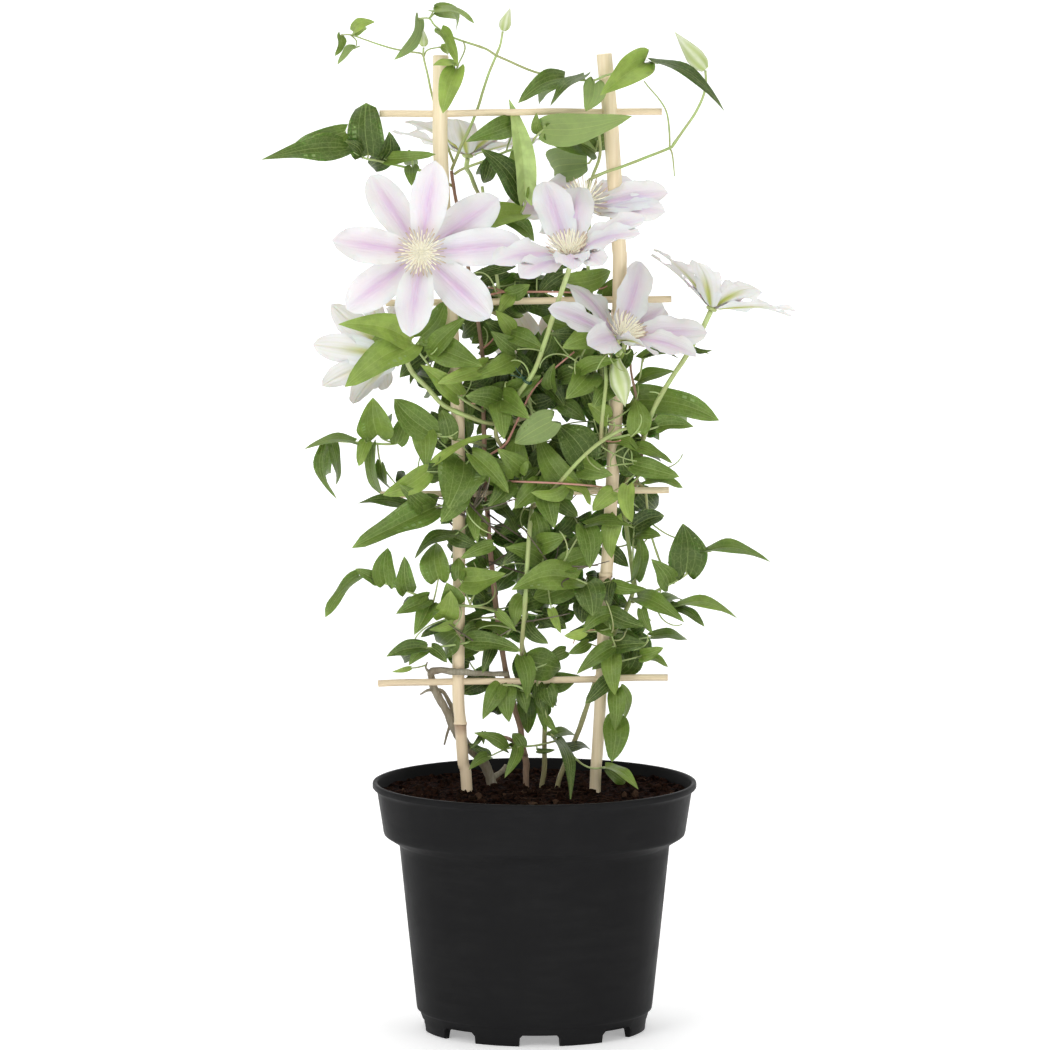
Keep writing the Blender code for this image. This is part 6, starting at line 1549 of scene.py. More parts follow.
def rung_shape(name, lot):
    """An oval ring swept between the two ends, its section and its line wandering slightly along it."""
    (x0, z0), (x1, z1) = RUNGS[name]
    share = np.linspace(0, 1, RUNG_ROWS)
    path = at(x0, z0) + (at(x1, z1) - at(x0, z0)) * share[:, None]
    wander = np.sin(share * 9 + lot) * 0.35 + np.sin(share * 23 + 2 * lot) * 0.15
    path[:, 2] += wander
    a = 2 * np.pi * np.arange(RUNG_RING) / RUNG_RING
    oval = 1 + 0.10 * np.cos(2 * a) + 0.07 * np.cos(3 * a + lot)
    oval = oval + 0.05 * np.sin(5 * a + share[:, None] * 6 + lot)
    _, across, other = carried(path)
    rows = ring_points(path, np.full(RUNG_ROWS, RUNG_RADIUS), across, other, RUNG_RING)
    return swollen(path, rows, oval).reshape(-1, 3), tube_faces(RUNG_ROWS, RUNG_RING)


for lot, name in enumerate(RUNGS):
    shapes = Gather()
    shapes.add(*rung_shape(name, lot), stain=0.0)
    piece(name + "_slat", shapes, split_bamboo, "bamboo", name)
print("rungs:", list(RUNGS))

# %% [markdown]
# ## The stems
# A stem is a tube along a smooth curve through its measured points. Every stem swells a little at knots
# spaced evenly along it, like the nodes where leaves spring; old ones are rough, so their rings are uneven.
# The share attribute runs from 0 at the foot to 1 at the end, and the finish pales along it as a flower stalk
# does.

# %% Stems
STEM_RING = 8
STEM_FINISHES = {"old_wood": old_wood, "brown_bark": brown_bark, "green_stem": green_stem}
STEM_ROUGH = {"old_wood": 0.22, "brown_bark": 0.14, "green_stem": 0.05}


def stem_shape(line, r0, r1, rough, lot):
    """A tube of STEM_RING sides on the smooth curve, its radius varied by slow and quick waves."""
    path = smooth_path(line, 4)
    length = np.concatenate([[0], np.cumsum(np.linalg.norm(np.diff(path, axis=0), axis=1))])
    share = length / length[-1]
    radii = r0 + (r1 - r0) * share
    knots = np.exp(-((((length + 17 * lot) % 61) - 30) / 2.2) ** 2)
    radii = radii * (1 + 0.22 * knots * (length > 12) * (length < length[-1] - 12))
    a = 2 * np.pi * np.arange(STEM_RING) / STEM_RING
    swell = np.sin(3 * a + length[:, None] * 0.45 + lot) + np.sin(2 * a - length[:, None] * 0.21)
    _, across, other = carried(path)
    rows = swollen(path, ring_points(path, radii, across, other, STEM_RING), 1 + rough * swell / 2)
    return rows.reshape(-1, 3), tube_faces(len(path), STEM_RING), np.repeat(share, STEM_RING)


for name, lines in stem_lines.items():
    slot = STEMS[name][0]
    shapes = Gather()
    for lot, (line, r0, r1) in enumerate(lines):
        points, faces, share = stem_shape(np.array(line), r0, r1, STEM_ROUGH[slot], lot)
        shapes.add(points, faces, share=share, stain=0.9 if slot == "brown_bark" and r0 < 1 else 0.0)
    piece(name + "_stem", shapes, STEM_FINISHES[slot], slot, name)
print("stems:", list(stem_lines))

# %% [markdown]
# ## The twist tie
# A dark green wire is wrapped round the stalk of the middle bloom, and its two ends stand off where they were
# twisted together. It is one tube wound twice round the stalk, and two short tubes for the ends.

# %% Twist tie
shapes = Gather()
turns = np.linspace(0, 4 * np.pi, 49)
wound = middle + reach_out * (np.cos(turns)[:, None] * side + np.sin(turns)[:, None] * other)
wound = wound + along * (turns[:, None] / (2 * np.pi) - 1) * 1.1
shapes.add(*tube(wound, [thick], 8), share=0.5)
for turn, end in zip((0.0, np.pi), tie_ends):
    wire = smooth_path(np.array(end), 8)
    steps = np.linspace(0, 1, len(wire))[:, None]
    coil = 0.5 * (np.cos(9 * steps + turn) * along + np.sin(9 * steps + turn) * other) * (1 - steps)
    shapes.add(*tube(wire + coil, [thick, thick * 0.8], 6), share=0.8)
piece("twist_tie_wire", shapes, tie_green, "tie_green", "twist_tie")
print("twist tie round the stalk at", np.round(middle).tolist())

# %% [markdown]
# ## Shoots that cross from stem to stem
# A few thin shoots cross in front of the trellis and are held by the leaf stalks that wind round them: green
# ones, a pink one, and dead ones at the second rung. They are too thin to matter in the solids. Each row
# gives a radius at the start and the end and then the places, and each shoot is bent further towards the
# viewer, in steps, until its tube touches nothing.

# %% Crossing shoots
CROSSING = (
    (1.5, 1.2, ((-2, 372, 8), (12, 384, -4), (27, 401, -14), (38, 412, -16), (48, 420, -14), (60, 427, -6),
        (70, 430, 2))),
    (1.3, 1.4, ((47, 419, -14), (47.5, 433, -15), (49, 447, -14), (50.5, 464, -10), (49, 480, -6))),
    (1.5, 1.7, ((-9, 262, 7), (-9, 275, -2), (-7, 300, -9), (-5.5, 325, -11), (-4, 350, -8), (-2, 371, 6))),
)
PINK_SHOOTS = (
    (0.75, 0.65, ((-34, 391, 9), (-16, 391, 0), (0, 390.5, -5), (20, 389.5, -7), (40, 388, -5),
        (60, 385.5, 8))),
)
DEAD_SHOOTS = (
    (0.8, 0.6, ((-52, 383, -4), (-44, 373, -2), (-32, 360, -2), (-18, 349, 0), (-8, 345, 6))),
    (0.7, 0.5, ((-34, 376, 9), (-27, 370, 2), (-20, 365, 0), (-12, 360, 4), (-5, 355, 8))),
    (0.8, 0.5, ((-60, 362, 6), (-54, 356, 8), (-43, 343, 8), (-34, 336, 9))),
    (0.7, 0.5, ((-33, 368, 9), (-22, 360, -3), (-10, 352, -3), (0, 347, 4))),
    (0.7, 0.5, ((-32, 334, 9), (-24, 331, 2), (-12, 327, 0), (-5, 325, 7))),
    (0.7, 0.5, ((-32, 331, 9), (-20, 339, 2), (-2, 344, -2), (12, 346, 0), (24, 350, 6))),
)


def cleared(path, radius):
    """The path bowed towards the viewer until a rod along its middle points is clear, or None."""
    for by in range(0, -48, -3):
        now = bowed(path, by)
        if not hit(tube(now[1:-1], [radius + 0.2], 5)):
            return now
    return None


for title, rows, look, slot in (
        ("crossing_shoots", CROSSING, green_stem, "green_stem"),
        ("pink_shoots", PINK_SHOOTS, tendril_red, "brown_bark"),
        ("dead_shoots", DEAD_SHOOTS, old_wood, "old_wood")):
    shapes = Gather()
    for lot, (r0, r1, path) in enumerate(rows):
        line = cleared(places(path), r0)
        if line is not None:
            points, faces, share = stem_shape(np.array(line), r0, r1, 0.05, lot)
            shapes.add(points, faces, share=share, stain=0.9)
            hold(title, [tube(line, [r0, r1], 5)])
    piece(title, shapes, look, slot)
    print(title, shapes.count, "points")

# %% [markdown]
# ## A leaflet
# The blade is a closed sheet a third of a millimetre thick. Rings of points run round it, over the top from
# edge to edge and back underneath, and the rings are strung from a point at the stalk to a point at the tip.
# Its edge is marked sharp, so the shading of the top doesn't roll over into the underside as it would on a
# cushion.

# %% Blades on a grid
LEAF_ROWS = 14
TOP = np.array([-1, -0.78, -0.42, -0.10, 0, 0.10, 0.42, 0.78, 1.0])
SEPAL_ROWS = 20
SEPAL_TOP = np.array([-1, -0.86, -0.62, -0.42, -0.24, -0.10, 0, 0.10, 0.24, 0.42, 0.62, 0.86, 1.0])


def sheet(surface, normal, u, top, half_mm, thick):
    """Rings over the top and back underneath: surface(u, v) moved by half the thickness along the normal.

    Returns the points with a pole at each end, the faces, and for each point its u and v, the half width
    there in mm, whether it is on the underside and whether it is on the rim.
    """
    v = np.concatenate([top, top[-2:0:-1]])
    below = np.concatenate([np.zeros(len(top)), np.ones(len(top) - 2)])
    uu, vv = np.meshgrid(u[1:-1], v, indexing="ij")
    lift = thick(uu, vv) * np.where(below, -1.0, 1.0) * (np.abs(vv) < 1)
    rows = surface(uu, vv) + lift[..., None] * normal
    ends = surface(np.array([0.0, 1.0]), np.zeros(2))
    points = np.vstack([rows.reshape(-1, 3), ends])
    share = np.concatenate([np.stack([uu, vv], -1).reshape(-1, 2), [[0.0, 0.0], [1.0, 0.0]]])
    under = np.concatenate([np.broadcast_to(below, uu.shape).ravel(), [0.0, 0.0]])
    rim = np.concatenate([(np.abs(vv) == 1).ravel(), [True, True]])
    return points, pole_faces(len(rows), len(v)), share, half_mm(share[:, 0]), under, rim


EDGE_ON = 45
HABITS = {
    (-131, 627.5, -8): (0.01, 1.10, 1.3, 0.10, 0.32), (-117, 622, -5): (0.03, 0.34, 3.4, 0.0, 0.20),
    (-8, 591, -5): (0.01, 0.8, 1.4, 0.0, 0.06), (6, 639, -3): (0.01, 0.8, 1.4, -0.2, 0.0),
    (6, 640, -5): (0.0, 0.8, 1.4, 0.0, 0.0), (-147, 419.5, -8): (0.02, 0.9, 1.3, 0.1, 0.20),
}


def noted(table, base, otherwise):
    """What the table says of the leaflet that starts at this place, if it says anything."""
    for place, said in table.items():
        if np.allclose(base, at(*place), atol=0.01):
            return said
    return otherwise


def leaf_form(base, tip, width, roll):
    """The plain blade with its own habit: a bent midrib, a fold, a twist, a curled tip, heart-shaped ears.

    Its numbers are drawn from the leaflet's place, so that no two are alike. One that is seen edge on is
    calmer, and HABITS gives ears, fullness and its limit, fold and hem for a few that stand out.
    """
    length, along, across, out = blade_frame(base, tip, roll)
    draw = random.Random(round(base[0] * 10) * 1009 + round(tip[2] * 10))
    bend, fold, twist = draw.uniform(-0.10, 0.10), draw.uniform(-0.05, 0.50), draw.uniform(-0.6, 0.6)
    curl, ears = draw.uniform(0.02, 0.26), draw.uniform(0.06, 0.24) * min(width / length, 0.9)
    start, full, hem_size = draw.uniform(0, 6), draw.uniform(0.55, 0.85), draw.uniform(0.10, 0.26)
    calm = 1.0 if abs(roll) < EDGE_ON else 0.3
    fold, twist, hem_size = fold * calm, twist * calm, hem_size * calm
    ears, full, limit, fold, hem_size = noted(HABITS, base, (ears, full, 1.6, fold, hem_size))

    def surface(u, v):
        u, v = np.broadcast_arrays(np.asarray(u, float), np.asarray(v, float))
        fuller = np.minimum(np.sin(np.pi * u**0.57) ** full / np.maximum(leaf_outline(u), 0.05), limit)
        back = ears * length * np.sin(0.75 * np.pi * np.abs(v)) * (1 - u) ** 7
        back -= 0.10 * length * v**2 * (fuller**2 - 1) * (1 - u) ** 4
        v = v * fuller
        flat = leaf_surface(base, tip, width, roll, u, v)
        half = width / 2 * leaf_outline(u)
        side, far = bend * length * np.sin(np.pi * u), np.abs(v)
        ripple = 0.05 * half * np.sin(3 * np.pi * far) * np.sin(5 * u + start)
        hem = hem_size * half * far**3 * np.sin(9 * u + start + 1.6 * np.sign(v))
        rise = ripple + hem + half * (fold * far + twist * v * (u - 0.3)) - curl * length * u**2.6
        return flat + out * rise[..., None] + across * side[..., None] - along * back[..., None]

    return surface, length, out


def leaf_shape(base, tip, width, roll, tone, lot):
    """A leaflet as a sheet with a raised midrib below."""
    surface, length, out = leaf_form(base, tip, width, roll)

    def thick(u, v):
        return 0.16 + 0.30 * (1 - u) * np.exp(-((v / 0.12) ** 2)) * 0.6

    u = np.linspace(0, 1, LEAF_ROWS) ** 1.45
    points, faces, share, half, under, rim = sheet(
        surface, out, u, TOP, lambda s: width / 2 * leaf_outline(s), thick)
    shape = np.column_stack([share, half])
    flat = np.column_stack([share[:, 0] * length, share[:, 1] * half, np.full(len(share), 37.0 * lot)])
    return points, faces, dict(shape=shape, flat=flat, under=under, tone=tone, rim=rim)


# %% [markdown]
# ## Leafy shoots
# Every shoot becomes two pieces, its blades and its thin stalks, since they have different finishes. A
# blade's tone comes from where it grows: leaflets high up and at the shoot's end are young and bright, those
# low and behind are deep green. A few that stand out in the picture have a tone of their own, and some show
# their paler underside, which the second number says.

# %% Shoots
LEAF_FINISHES = {"leaf_green": leaf_green, "young_green": young_green}
SHORTEST_STALK = 0.6
TONES = {
    (-7, 591, -7): (1.8, 0), (6, 640, -5): (0.9, 1), (42, 672, -7): (0.6, 1), (21, 676, 2): (0.1, 0),
    (35, 678, -2): (0.0, 0), (82.5, 687.5, -2): (-0.1, 0), (-131, 627.5, -8): (0.26, 0),
    (-117, 622, -5): (0.20, 0), (-103, 620, 0): (0.05, 0), (-106, 620, 0): (0.05, 0),
    (-122, 622, -6): (0.1, 0), (-14, 644, 4): (0.4, 0), (-30, 620, 0): (0.1, 0), (-8, 591, -5): (0.1, 0),
    (-126, 697.5, -4): (0.6, 1), (-82, 717, 4): (0.3, 1), (37, 616, 27): (0.5, 1), (-86, 613, 2): (0.5, 0),
    (-104, 619, -1): (0.6, 0),
}


def leaf_tone(base, tip, draw):
    """0 for the deepest green to 1 for the youngest, from height and depth with some chance, or as noted."""
    height = np.clip((tip[2] - 180) / 560, 0, 1)
    behind = np.clip(tip[1] / 60, -0.5, 1)
    return noted(TONES, base, (0.24 + 0.35 * height - 0.30 * behind + draw.uniform(-0.30, 0.36), 0))


def stalk_path(root, base, form):
    """From the root to the blade's base with a slight sag, and on a little way under the midrib."""
    surface, _, out = form
    gap = base - root
    steps = np.linspace(0, 1, 5)[:, None]
    sag = np.array([0.0, 0.0, -0.10]) * np.linalg.norm(gap)
    return np.vstack([root + gap * steps + sag * steps * (1 - steps) * 2, surface(0.08, 0.0) - out * 0.6])


def dressed_spray(name, stalks, leaves):
    """The two pieces of a shoot. One without leaflets is all stalks, which then stand for the solid."""
    draw = random.Random(100 + len(name))
    slot = SPRAYS[name][0]
    blades, thin = Gather(), Gather()
    for lot, (root, base, tip, width, roll) in enumerate(leaves):
        tone, turned = leaf_tone(base, tip, draw)
        points, faces, values = leaf_shape(base, tip, width, roll, tone, lot)
        values["under"] = np.abs(values["under"] - turned)
        blades.add(points, faces, **values)
        path = stalk_path(root, base, leaf_form(base, tip, width, roll))
        if np.linalg.norm(base - root) > SHORTEST_STALK:
            thin.add(*tube(path, [STALK_HALF + 0.15, STALK_HALF - 0.05], 5), share=draw.uniform(0.1, 0.9))
    for lot, (line, r0, r1) in enumerate(stalks):
        points, faces, share = stem_shape(np.array(line), r0, r1, 0.05, lot)
        thin.add(points, faces, share=share)
    if blades.count:
        piece(name + "_leaves", blades, LEAF_FINISHES[slot], slot, name)
    piece(name + "_stalks", thin, leaf_stalk, "green_stem", *([] if blades.count else [name]))


for name in SPRAYS:
    dressed_spray(name, spray_stalks[name], spray_leaves[name])
print("shoots:", len(SPRAYS))

# %% [markdown]
# ## Leaflets beyond those of the solids
# The plant has several hundred leaflets and the solids have the larger ones. The table adds those that can be
# told apart in the picture, each as the x and z of its base and tip, its depth, width and tone. Behind them,
# seeded ones fill the heart of the plant, which nobody sees singly. Each is tested against all that is
# placed, and each gets a stalk from the nearest stem, so that none hangs in the air. One whose tone is
# TURNED_OVER shows its underside.

# %% Further leaflets
TURNED_OVER = 0.55
FILL = {
    "left": (
        (-70, 404, -32, 428, -22, 9, 0.9), (-44, 410, -17, 384, -20, 16, 0.6),
        (-12, 392, -42, 386, 4, 16, 0.1), (-52, 384, -66, 362, -20, 18, 0.4),
        (-76, 398, -106, 381, -16, 16, 0.8), (-70, 374, -92, 364, 2, 10, 0.1),
        (-30, 346, -52, 336, -16, 10, 0.5), (-26, 298, -13, 284, -14, 7, 0.6),
        (-38, 211, -46, 200, 2, 4, 0.1), (-36, 212, -36, 203, 2, 4, 0.1), (-88, 258, -101, 255, -8, 4, 0.9),
        (-58, 290, -74, 285, -14, 7, 0.7), (-60, 288, -81, 281, -2, 12, 0.1),
        (-42, 287, -52, 281, 2, 10, 0.2), (-68, 484, -96, 466, 2, 16, 0.1), (-72, 478, -90, 462, 8, 14, 0.0),
        (-64, 476, -70, 460, -2, 12, 0.2), (-68, 470, -46, 464, 12, 10, 0.1),
        (-44, 467, -14, 480, -16, 6, 0.9), (-72, 492, -84, 488, -14, 8, 0.5),
        (-74, 437, -58, 418, 6, 14, 0.2), (-40, 446, -22, 428, 8, 16, 0.1), (-58, 352, -40, 344, 4, 12, 0.2),
        (-50, 318, -34, 306, 6, 14, 0.2),
    ),
    "middle": (
        (30, 466, 22, 432, 4, 16, 0.1), (12, 434, -14, 418, -20, 22, TURNED_OVER),
        (22, 392, 41, 376, -18, 14, 0.9), (22, 388, 0, 380, -16, 12, 0.7), (30, 312, 2, 306, 8, 14, 0.1),
        (30, 318, 16, 304, 2, 14, 0.15), (2, 318, 12, 303, 4, 14, 0.15), (36, 284, 21, 281, -16, 8, 1.1),
        (12, 300, 18, 283, -14, 7, 0.9), (2, 199, 14, 199, 4, 4, 0.1), (9, 222, 16, 212, -8, 6, 0.5),
        (-16, 545, -46, 537, 10, 8, 0.1), (-20, 540, -40, 530, 14, 12, 0.1), (-18, 524, -4, 530, -4, 12, 0.5),
        (-16, 523, -26, 511, -8, 10, 0.8), (-22, 516, -8, 508, 6, 9, 0.2), (62, 532, 44, 524, 10, 10, 0.5),
        (20, 538, 2, 522, 14, 14, 0.1), (55, 477, 30, 465, -18, 9, 0.8), (6, 462, 22, 446, 10, 15, 0.15),
        (-2, 446, 16, 452, 14, 14, 0.1), (12, 420, 34, 410, 12, 18, 0.15), (-4, 366, 14, 352, 10, 16, 0.2),
        (10, 344, -8, 330, 12, 16, 0.15), (18, 296, 2, 286, 12, 12, 0.1), (22, 270, 8, 262, 6, 10, 0.3),
        (34, 456, 22, 438, 6, 15, 0.2), (20, 446, 36, 434, 12, 14, 0.3), (-26, 374, -10, 358, 10, 15, 0.15),
        (-8, 372, -24, 352, 14, 14, 0.25), (16, 378, 30, 366, 8, 13, 0.3), (28, 366, 14, 352, 12, 13, 0.2),
        (6, 296, 22, 286, 8, 13, 0.1), (24, 300, 8, 290, 12, 14, 0.15), (-6, 290, 8, 276, 6, 11, 0.2),
        (38, 276, 24, 268, 4, 9, 0.4),
    ),
    "right": (
        (36, 458, 50, 428, -2, 12, 0.15), (56, 384, 42, 370, -16, 14, 0.8), (66, 388, 68, 362, -16, 12, 0.9),
        (58, 366, 54, 336, -18, 14, 0.75), (56, 318, 78, 314, -6, 10, 0.5), (54, 320, 52, 302, 2, 10, 0.1),
        (36, 306, 34, 290, 6, 14, 0.1), (76, 300, 83, 283, -12, 8, 0.4), (78, 480, 101, 482, 10, 5, 0.1),
        (114, 485, 124, 484, 10, 4, 0.1), (58, 476, 66, 492, -14, 4, 0.9), (64, 440, 78, 426, 8, 14, 0.2),
        (60, 404, 80, 398, 6, 12, 0.3), (48, 344, 66, 330, 10, 13, 0.15), (44, 322, 60, 300, 12, 14, 0.1),
    ),
}
HEART = (64, (-58, 66), (236, 330)), (150, (-58, 68), (330, 470)), (60, (-62, 74), (470, 552))

every_line = [line for lines in stem_lines.values() for line, _, _ in lines if line[-1][2] > SOIL_TOP + 30]
every_line += [line for stalks in spray_stalks.values() for line, _, _ in stalks]


def clear_leaflet(base, tip, width, rolls, shifts):
    """The first position at which a leaflet is clear, in the form that dressed_spray takes."""
    for shift in shifts:
        for roll in rolls:
            away = unit(tip - EYE) * shift
            now, end = base + away * 0.6, tip + away
            root = nearest_on(every_line, now)
            plain = blade(lambda u, v: leaf_surface(now, end, width, roll, u, v), SMALL_LEAF_STATIONS, 1)
            stalk = tube([root + (now - root) * 0.35, now], [STALK_HALF], 3)
            if not hit(plain) and not hit(stalk):
                hold("further", [plain])
                return root, now, end, width, roll
    return None


def seeded(count, x_range, z_range, draw):
    """Deep green leaflets near the stems, most of them behind, pointing any way but more often down."""
    found = []
    for _ in range(count * 12):
        line = draw.choice(every_line)
        i = draw.randrange(len(line) - 1)
        root = line[i] + (line[i + 1] - line[i]) * draw.random()
        if not (x_range[0] < root[0] < x_range[1] and z_range[0] < root[2] < z_range[1]):
            continue
        base = root + np.array([draw.uniform(-12, 12), draw.uniform(2, 34), draw.uniform(-8, 10)])
        way = unit(np.array([draw.gauss(0, 1), draw.gauss(0.1, 0.5), draw.gauss(-0.45, 0.7)]))
        size = draw.uniform(15, 27)
        width = size * draw.uniform(0.55, 0.78)
        leaf = clear_leaflet(base, base + way * size, width, (draw.uniform(-40, 40),), (0, 8))
        if leaf:
            found.append((leaf, draw.uniform(-0.05, 0.42)))
        if len(found) == count:
            break
    return found


def dress(name, found):
    """The blades and the stalks of further leaflets as two pieces; returns how many leaflets there are."""
    blades, thin = Gather(), Gather()
    for lot, ((root, base, tip, width, roll), tone) in enumerate(found):
        points, faces, values = leaf_shape(base, tip, width, roll, tone, lot + 40)
        values["under"] = np.abs(values["under"] - (tone == TURNED_OVER))
        blades.add(points, faces, **values)
        path = stalk_path(root, base, leaf_form(base, tip, width, roll))
        thin.add(*tube(path, [STALK_HALF + 0.1, STALK_HALF - 0.1], 5), share=0.2 + 0.6 * (lot % 5) / 4)
    piece(name + "_blades", blades, leaf_green, "leaf_green")
    piece(name + "_petioles", thin, leaf_stalk, "green_stem")
    return len(found)


ROLLS, SHIFTS = (-10, 25, -40, 50), (0, -6, 6, -12, 12, 20, 30, 42)
total = 0
for name, rows in FILL.items():
    found = []
    for x0, z0, x1, z1, depth, width, tone in rows:
        leaf = clear_leaflet(at(x0, z0, depth), at(x1, z1, depth - 5), width, ROLLS, SHIFTS)
        if leaf:
            found.append((leaf, tone))
    total += dress("further_" + name, found)
print("further leaflets:", total)

# %% [markdown]
# ## Tendrils and old twigs
# A clematis climbs by its leaf stalks, which wind round anything thin, and it keeps last year's dead twigs.
# Both are thin bent tubes. A tendril's heading turns faster and faster, like a watch spring; a twig only bows
# a little. Each row of TWIGS is the x and z of a tangle's middle, how far it spreads, and how many twigs it
# has.

# %% Thin bits
TENDRILS, TENDRIL_LOW, TENDRIL_HIGH, TENDRIL_HALF, PINK_EVERY = 340, 262, 560, 95, 11
TWIG_RADII, TENDRIL_RADII = [0.72, 0.34], [0.66, 0.40]
TWIG_SEED = 31
TWIGS = ((-22, 358, 34, 44), (8, 292, 26, 18), (30, 306, 30, 16), (-14, 500, 16, 8), (-46, 262, 20, 6))


def winding(root, way, side, length, tight):
    """A path whose heading turns from way towards side by tight times step^1.7."""
    steps = np.linspace(0, 1, 13)[:, None]
    heading = tight * steps**1.7
    ways = way * np.cos(heading) + side * np.sin(heading)
    return root + np.vstack([np.zeros(3), np.cumsum(ways[:-1], 0)]) * length / 12


def from_a_stem(draw):
    """A point on some stem, and a mostly sideways direction from it."""
    line = draw.choice(every_line)
    i = draw.randrange(max(len(line) - 2, 1))
    root = line[i] + (line[i + 1] - line[i]) * draw.random()
    way = unit(np.array([draw.gauss(0, 1), draw.gauss(-0.1, 0.6), draw.gauss(0.1, 0.8)]))
    return root, way, unit(np.cross(way, [draw.gauss(0, 0.5), 1, draw.gauss(0, 0.5)]))


draw = random.Random(TWIG_SEED)
twigs = Gather()
for x, z, spread, count in TWIGS:
    for _ in range(count * 60):
        root, way, side = from_a_stem(draw)
        if math.hypot(root[0] - x, root[2] - z) > spread or count == 0:
            continue
        rising = unit(way + np.array([0.0, -0.1, 0.8]))
        path = winding(root, rising, side, draw.uniform(22, 52), draw.uniform(0.1, 0.8))
        if not hit(tube(path[3:], [0.6], 3)):
            twigs.add(*tube(path, TWIG_RADII, 5), stain=draw.uniform(0.3, 1.0))
            hold("twigs", [tube(path, TWIG_RADII, 3)])
            count -= 1
piece("old_twigs", twigs, old_wood, "old_wood")

# %% Seeded leaflets
found = []
for count, x_range, z_range in HEART:
    found += seeded(count, x_range, z_range, random.Random(5 + count))
dress("heart", found)
print("seeded leaflets:", len(found))

# %% Tendrils
green, pink = Gather(), Gather()
for k in range(TENDRILS):
    root, way, side = from_a_stem(draw)
    if not (TENDRIL_LOW < root[2] < TENDRIL_HIGH and abs(root[0]) < TENDRIL_HALF):
        continue
    path = winding(root, way, side, draw.uniform(14, 40), draw.uniform(0.3, 2.3))
    if not hit(tube(path[2:], [0.7], 3)):
        (green if k % PINK_EVERY else pink).add(*tube(path, TENDRIL_RADII, 5), share=draw.random())
piece("tendrils", green, leaf_stalk, "green_stem")
piece("red_tendrils", pink, tendril_red, "brown_bark")
print("tendrils and twigs placed")

# %% [markdown]
# ## The sepals
# What looks like a clematis petal is a sepal: pointed, ruffled at the edges, with three ribs up its middle.
# It is the same kind of closed sheet as a leaflet, with more rows and columns. Between its ribs the sheet is
# hollowed, and its edge runs in shorter and shorter waves towards the rim, as cloth does when its hem is too
# long.

# %% Sepals
def full_outline(u):
    """Half width of a real sepal: narrow at its claw, widest past the middle, with a blunt round tip."""
    return np.clip(np.sin(np.pi * (0.09 + 0.91 * u) ** 1.48), 0, 1) ** 0.54


def sepal_shape(root, tip, width, axis, bow, lot):
    """A sepal: its plain bow, plus ribs near the middle, a ruffled rim and a tip that turns back."""
    length = np.linalg.norm(tip - root)
    along = (tip - root) / length
    out = unit(axis - along * (axis @ along))

    def surface(u, v):
        full = full_outline(u) / np.maximum(sepal_outline(u), 0.02)
        flat = sepal_surface(root, tip, width, axis, bow, u, v * full)
        half = width / 2 * full_outline(u)
        ribs = 0.030 * width * np.cos(v * np.pi / 0.24) * np.exp(-((v / 0.42) ** 2))
        ribs = ribs * np.sin(np.pi * u) ** 0.5
        ruffle = 0.16 * half * np.abs(v) ** 3 * np.sin(17 * u + 1.3 * lot + 2.0 * np.sign(v))
        fine = 0.06 * half * np.abs(v) ** 4 * np.sin(43 * u + 2.1 * lot)
        back = -0.09 * length * np.clip(u - 0.72, 0, 1) ** 1.5
        return flat + out * (ribs + ruffle + fine + back)[..., None]

    def thick(u, v):
        return 0.16 + 0.16 * (1 - u) * np.exp(-((v / 0.16) ** 2))

    u = np.linspace(0, 1, SEPAL_ROWS) ** 0.92
    points, faces, share, half, under, rim = sheet(
        surface, out, u, SEPAL_TOP, lambda s: width / 2 * full_outline(s), thick)
    flat = np.column_stack([share[:, 0] * length * 0.08, share[:, 1] * half, np.full(len(share), 37.0 * lot)])
    return points, faces, dict(shape=np.column_stack([share, half]), flat=flat, under=under, rim=rim)


for number, name in enumerate(BLOOMS):
    shapes = Gather()
    for lot, (root, tip, width, axis, bow) in enumerate(bloom_sepals[name]):
        points, faces, values = sepal_shape(root, tip, width, axis, bow, lot + 10 * number)
        shapes.add(points, faces, **values)
    piece(name + "_petals", shapes, petal, "petal", name + "_sepals")
    heart = Gather()
    centre, axis = at(*BLOOMS[name][0]), unit(BLOOMS[name][1])
    back, front = centre - axis * RECEPTACLE_BACK, centre + axis * RECEPTACLE_FRONT
    points, faces = bud_shape(back, front, RECEPTACLE, 16)
    heart.add(points, faces, share=0.7)
    piece(name + "_seat", heart, green_stem, "green_stem")
print("sepals dressed on", len(BLOOMS), "blooms")

# %% [markdown]
# ## The stamens
# A hundred or so stamens make the tuft at a bloom's heart. Each is a thin filament and a flattened anther
# with a blunt point. Repeated hundreds of times, a stamen may only have a few dozen faces, so its ring has
# four corners and the anther is the same ring, swollen across and thin the other way. The outer ones are
# duskier, and pale styles stand up in the very middle.

# %% Stamens
STAMENS, STYLES, DUSKY_FROM, STYLE_TURN = 110, 16, 0.72, 2.4
STEPS = np.array([0.0, 0.30, 0.50, 0.58, 0.74, 0.90, 1.0])
BROAD = np.array([0.32, 0.32, 0.34, 0.52, 0.58, 0.42, 0.14])
THIN = np.array([0.26, 0.26, 0.26, 0.30, 0.32, 0.26, 0.12])


def stamen_shape(path, twist):
    """Seven four-cornered rings on a bent line, broad across the anther and thin through it."""
    line = smooth_path(np.array(path), 6)
    length = np.linspace(0, 1, len(line))
    bent = np.column_stack([np.interp(STEPS, length, line[:, i]) for i in range(3)])
    _, across, other = carried(bent)
    wide = (across * math.cos(twist) + other * math.sin(twist)) * BROAD[:, None]
    deep = (other * math.cos(twist) - across * math.sin(twist)) * THIN[:, None]
    points = (bent[:, None] + np.stack([wide, deep, -wide, -deep], 1)).reshape(-1, 3)
    return points, tube_faces(len(STEPS), 4), np.repeat(STEPS, 4)


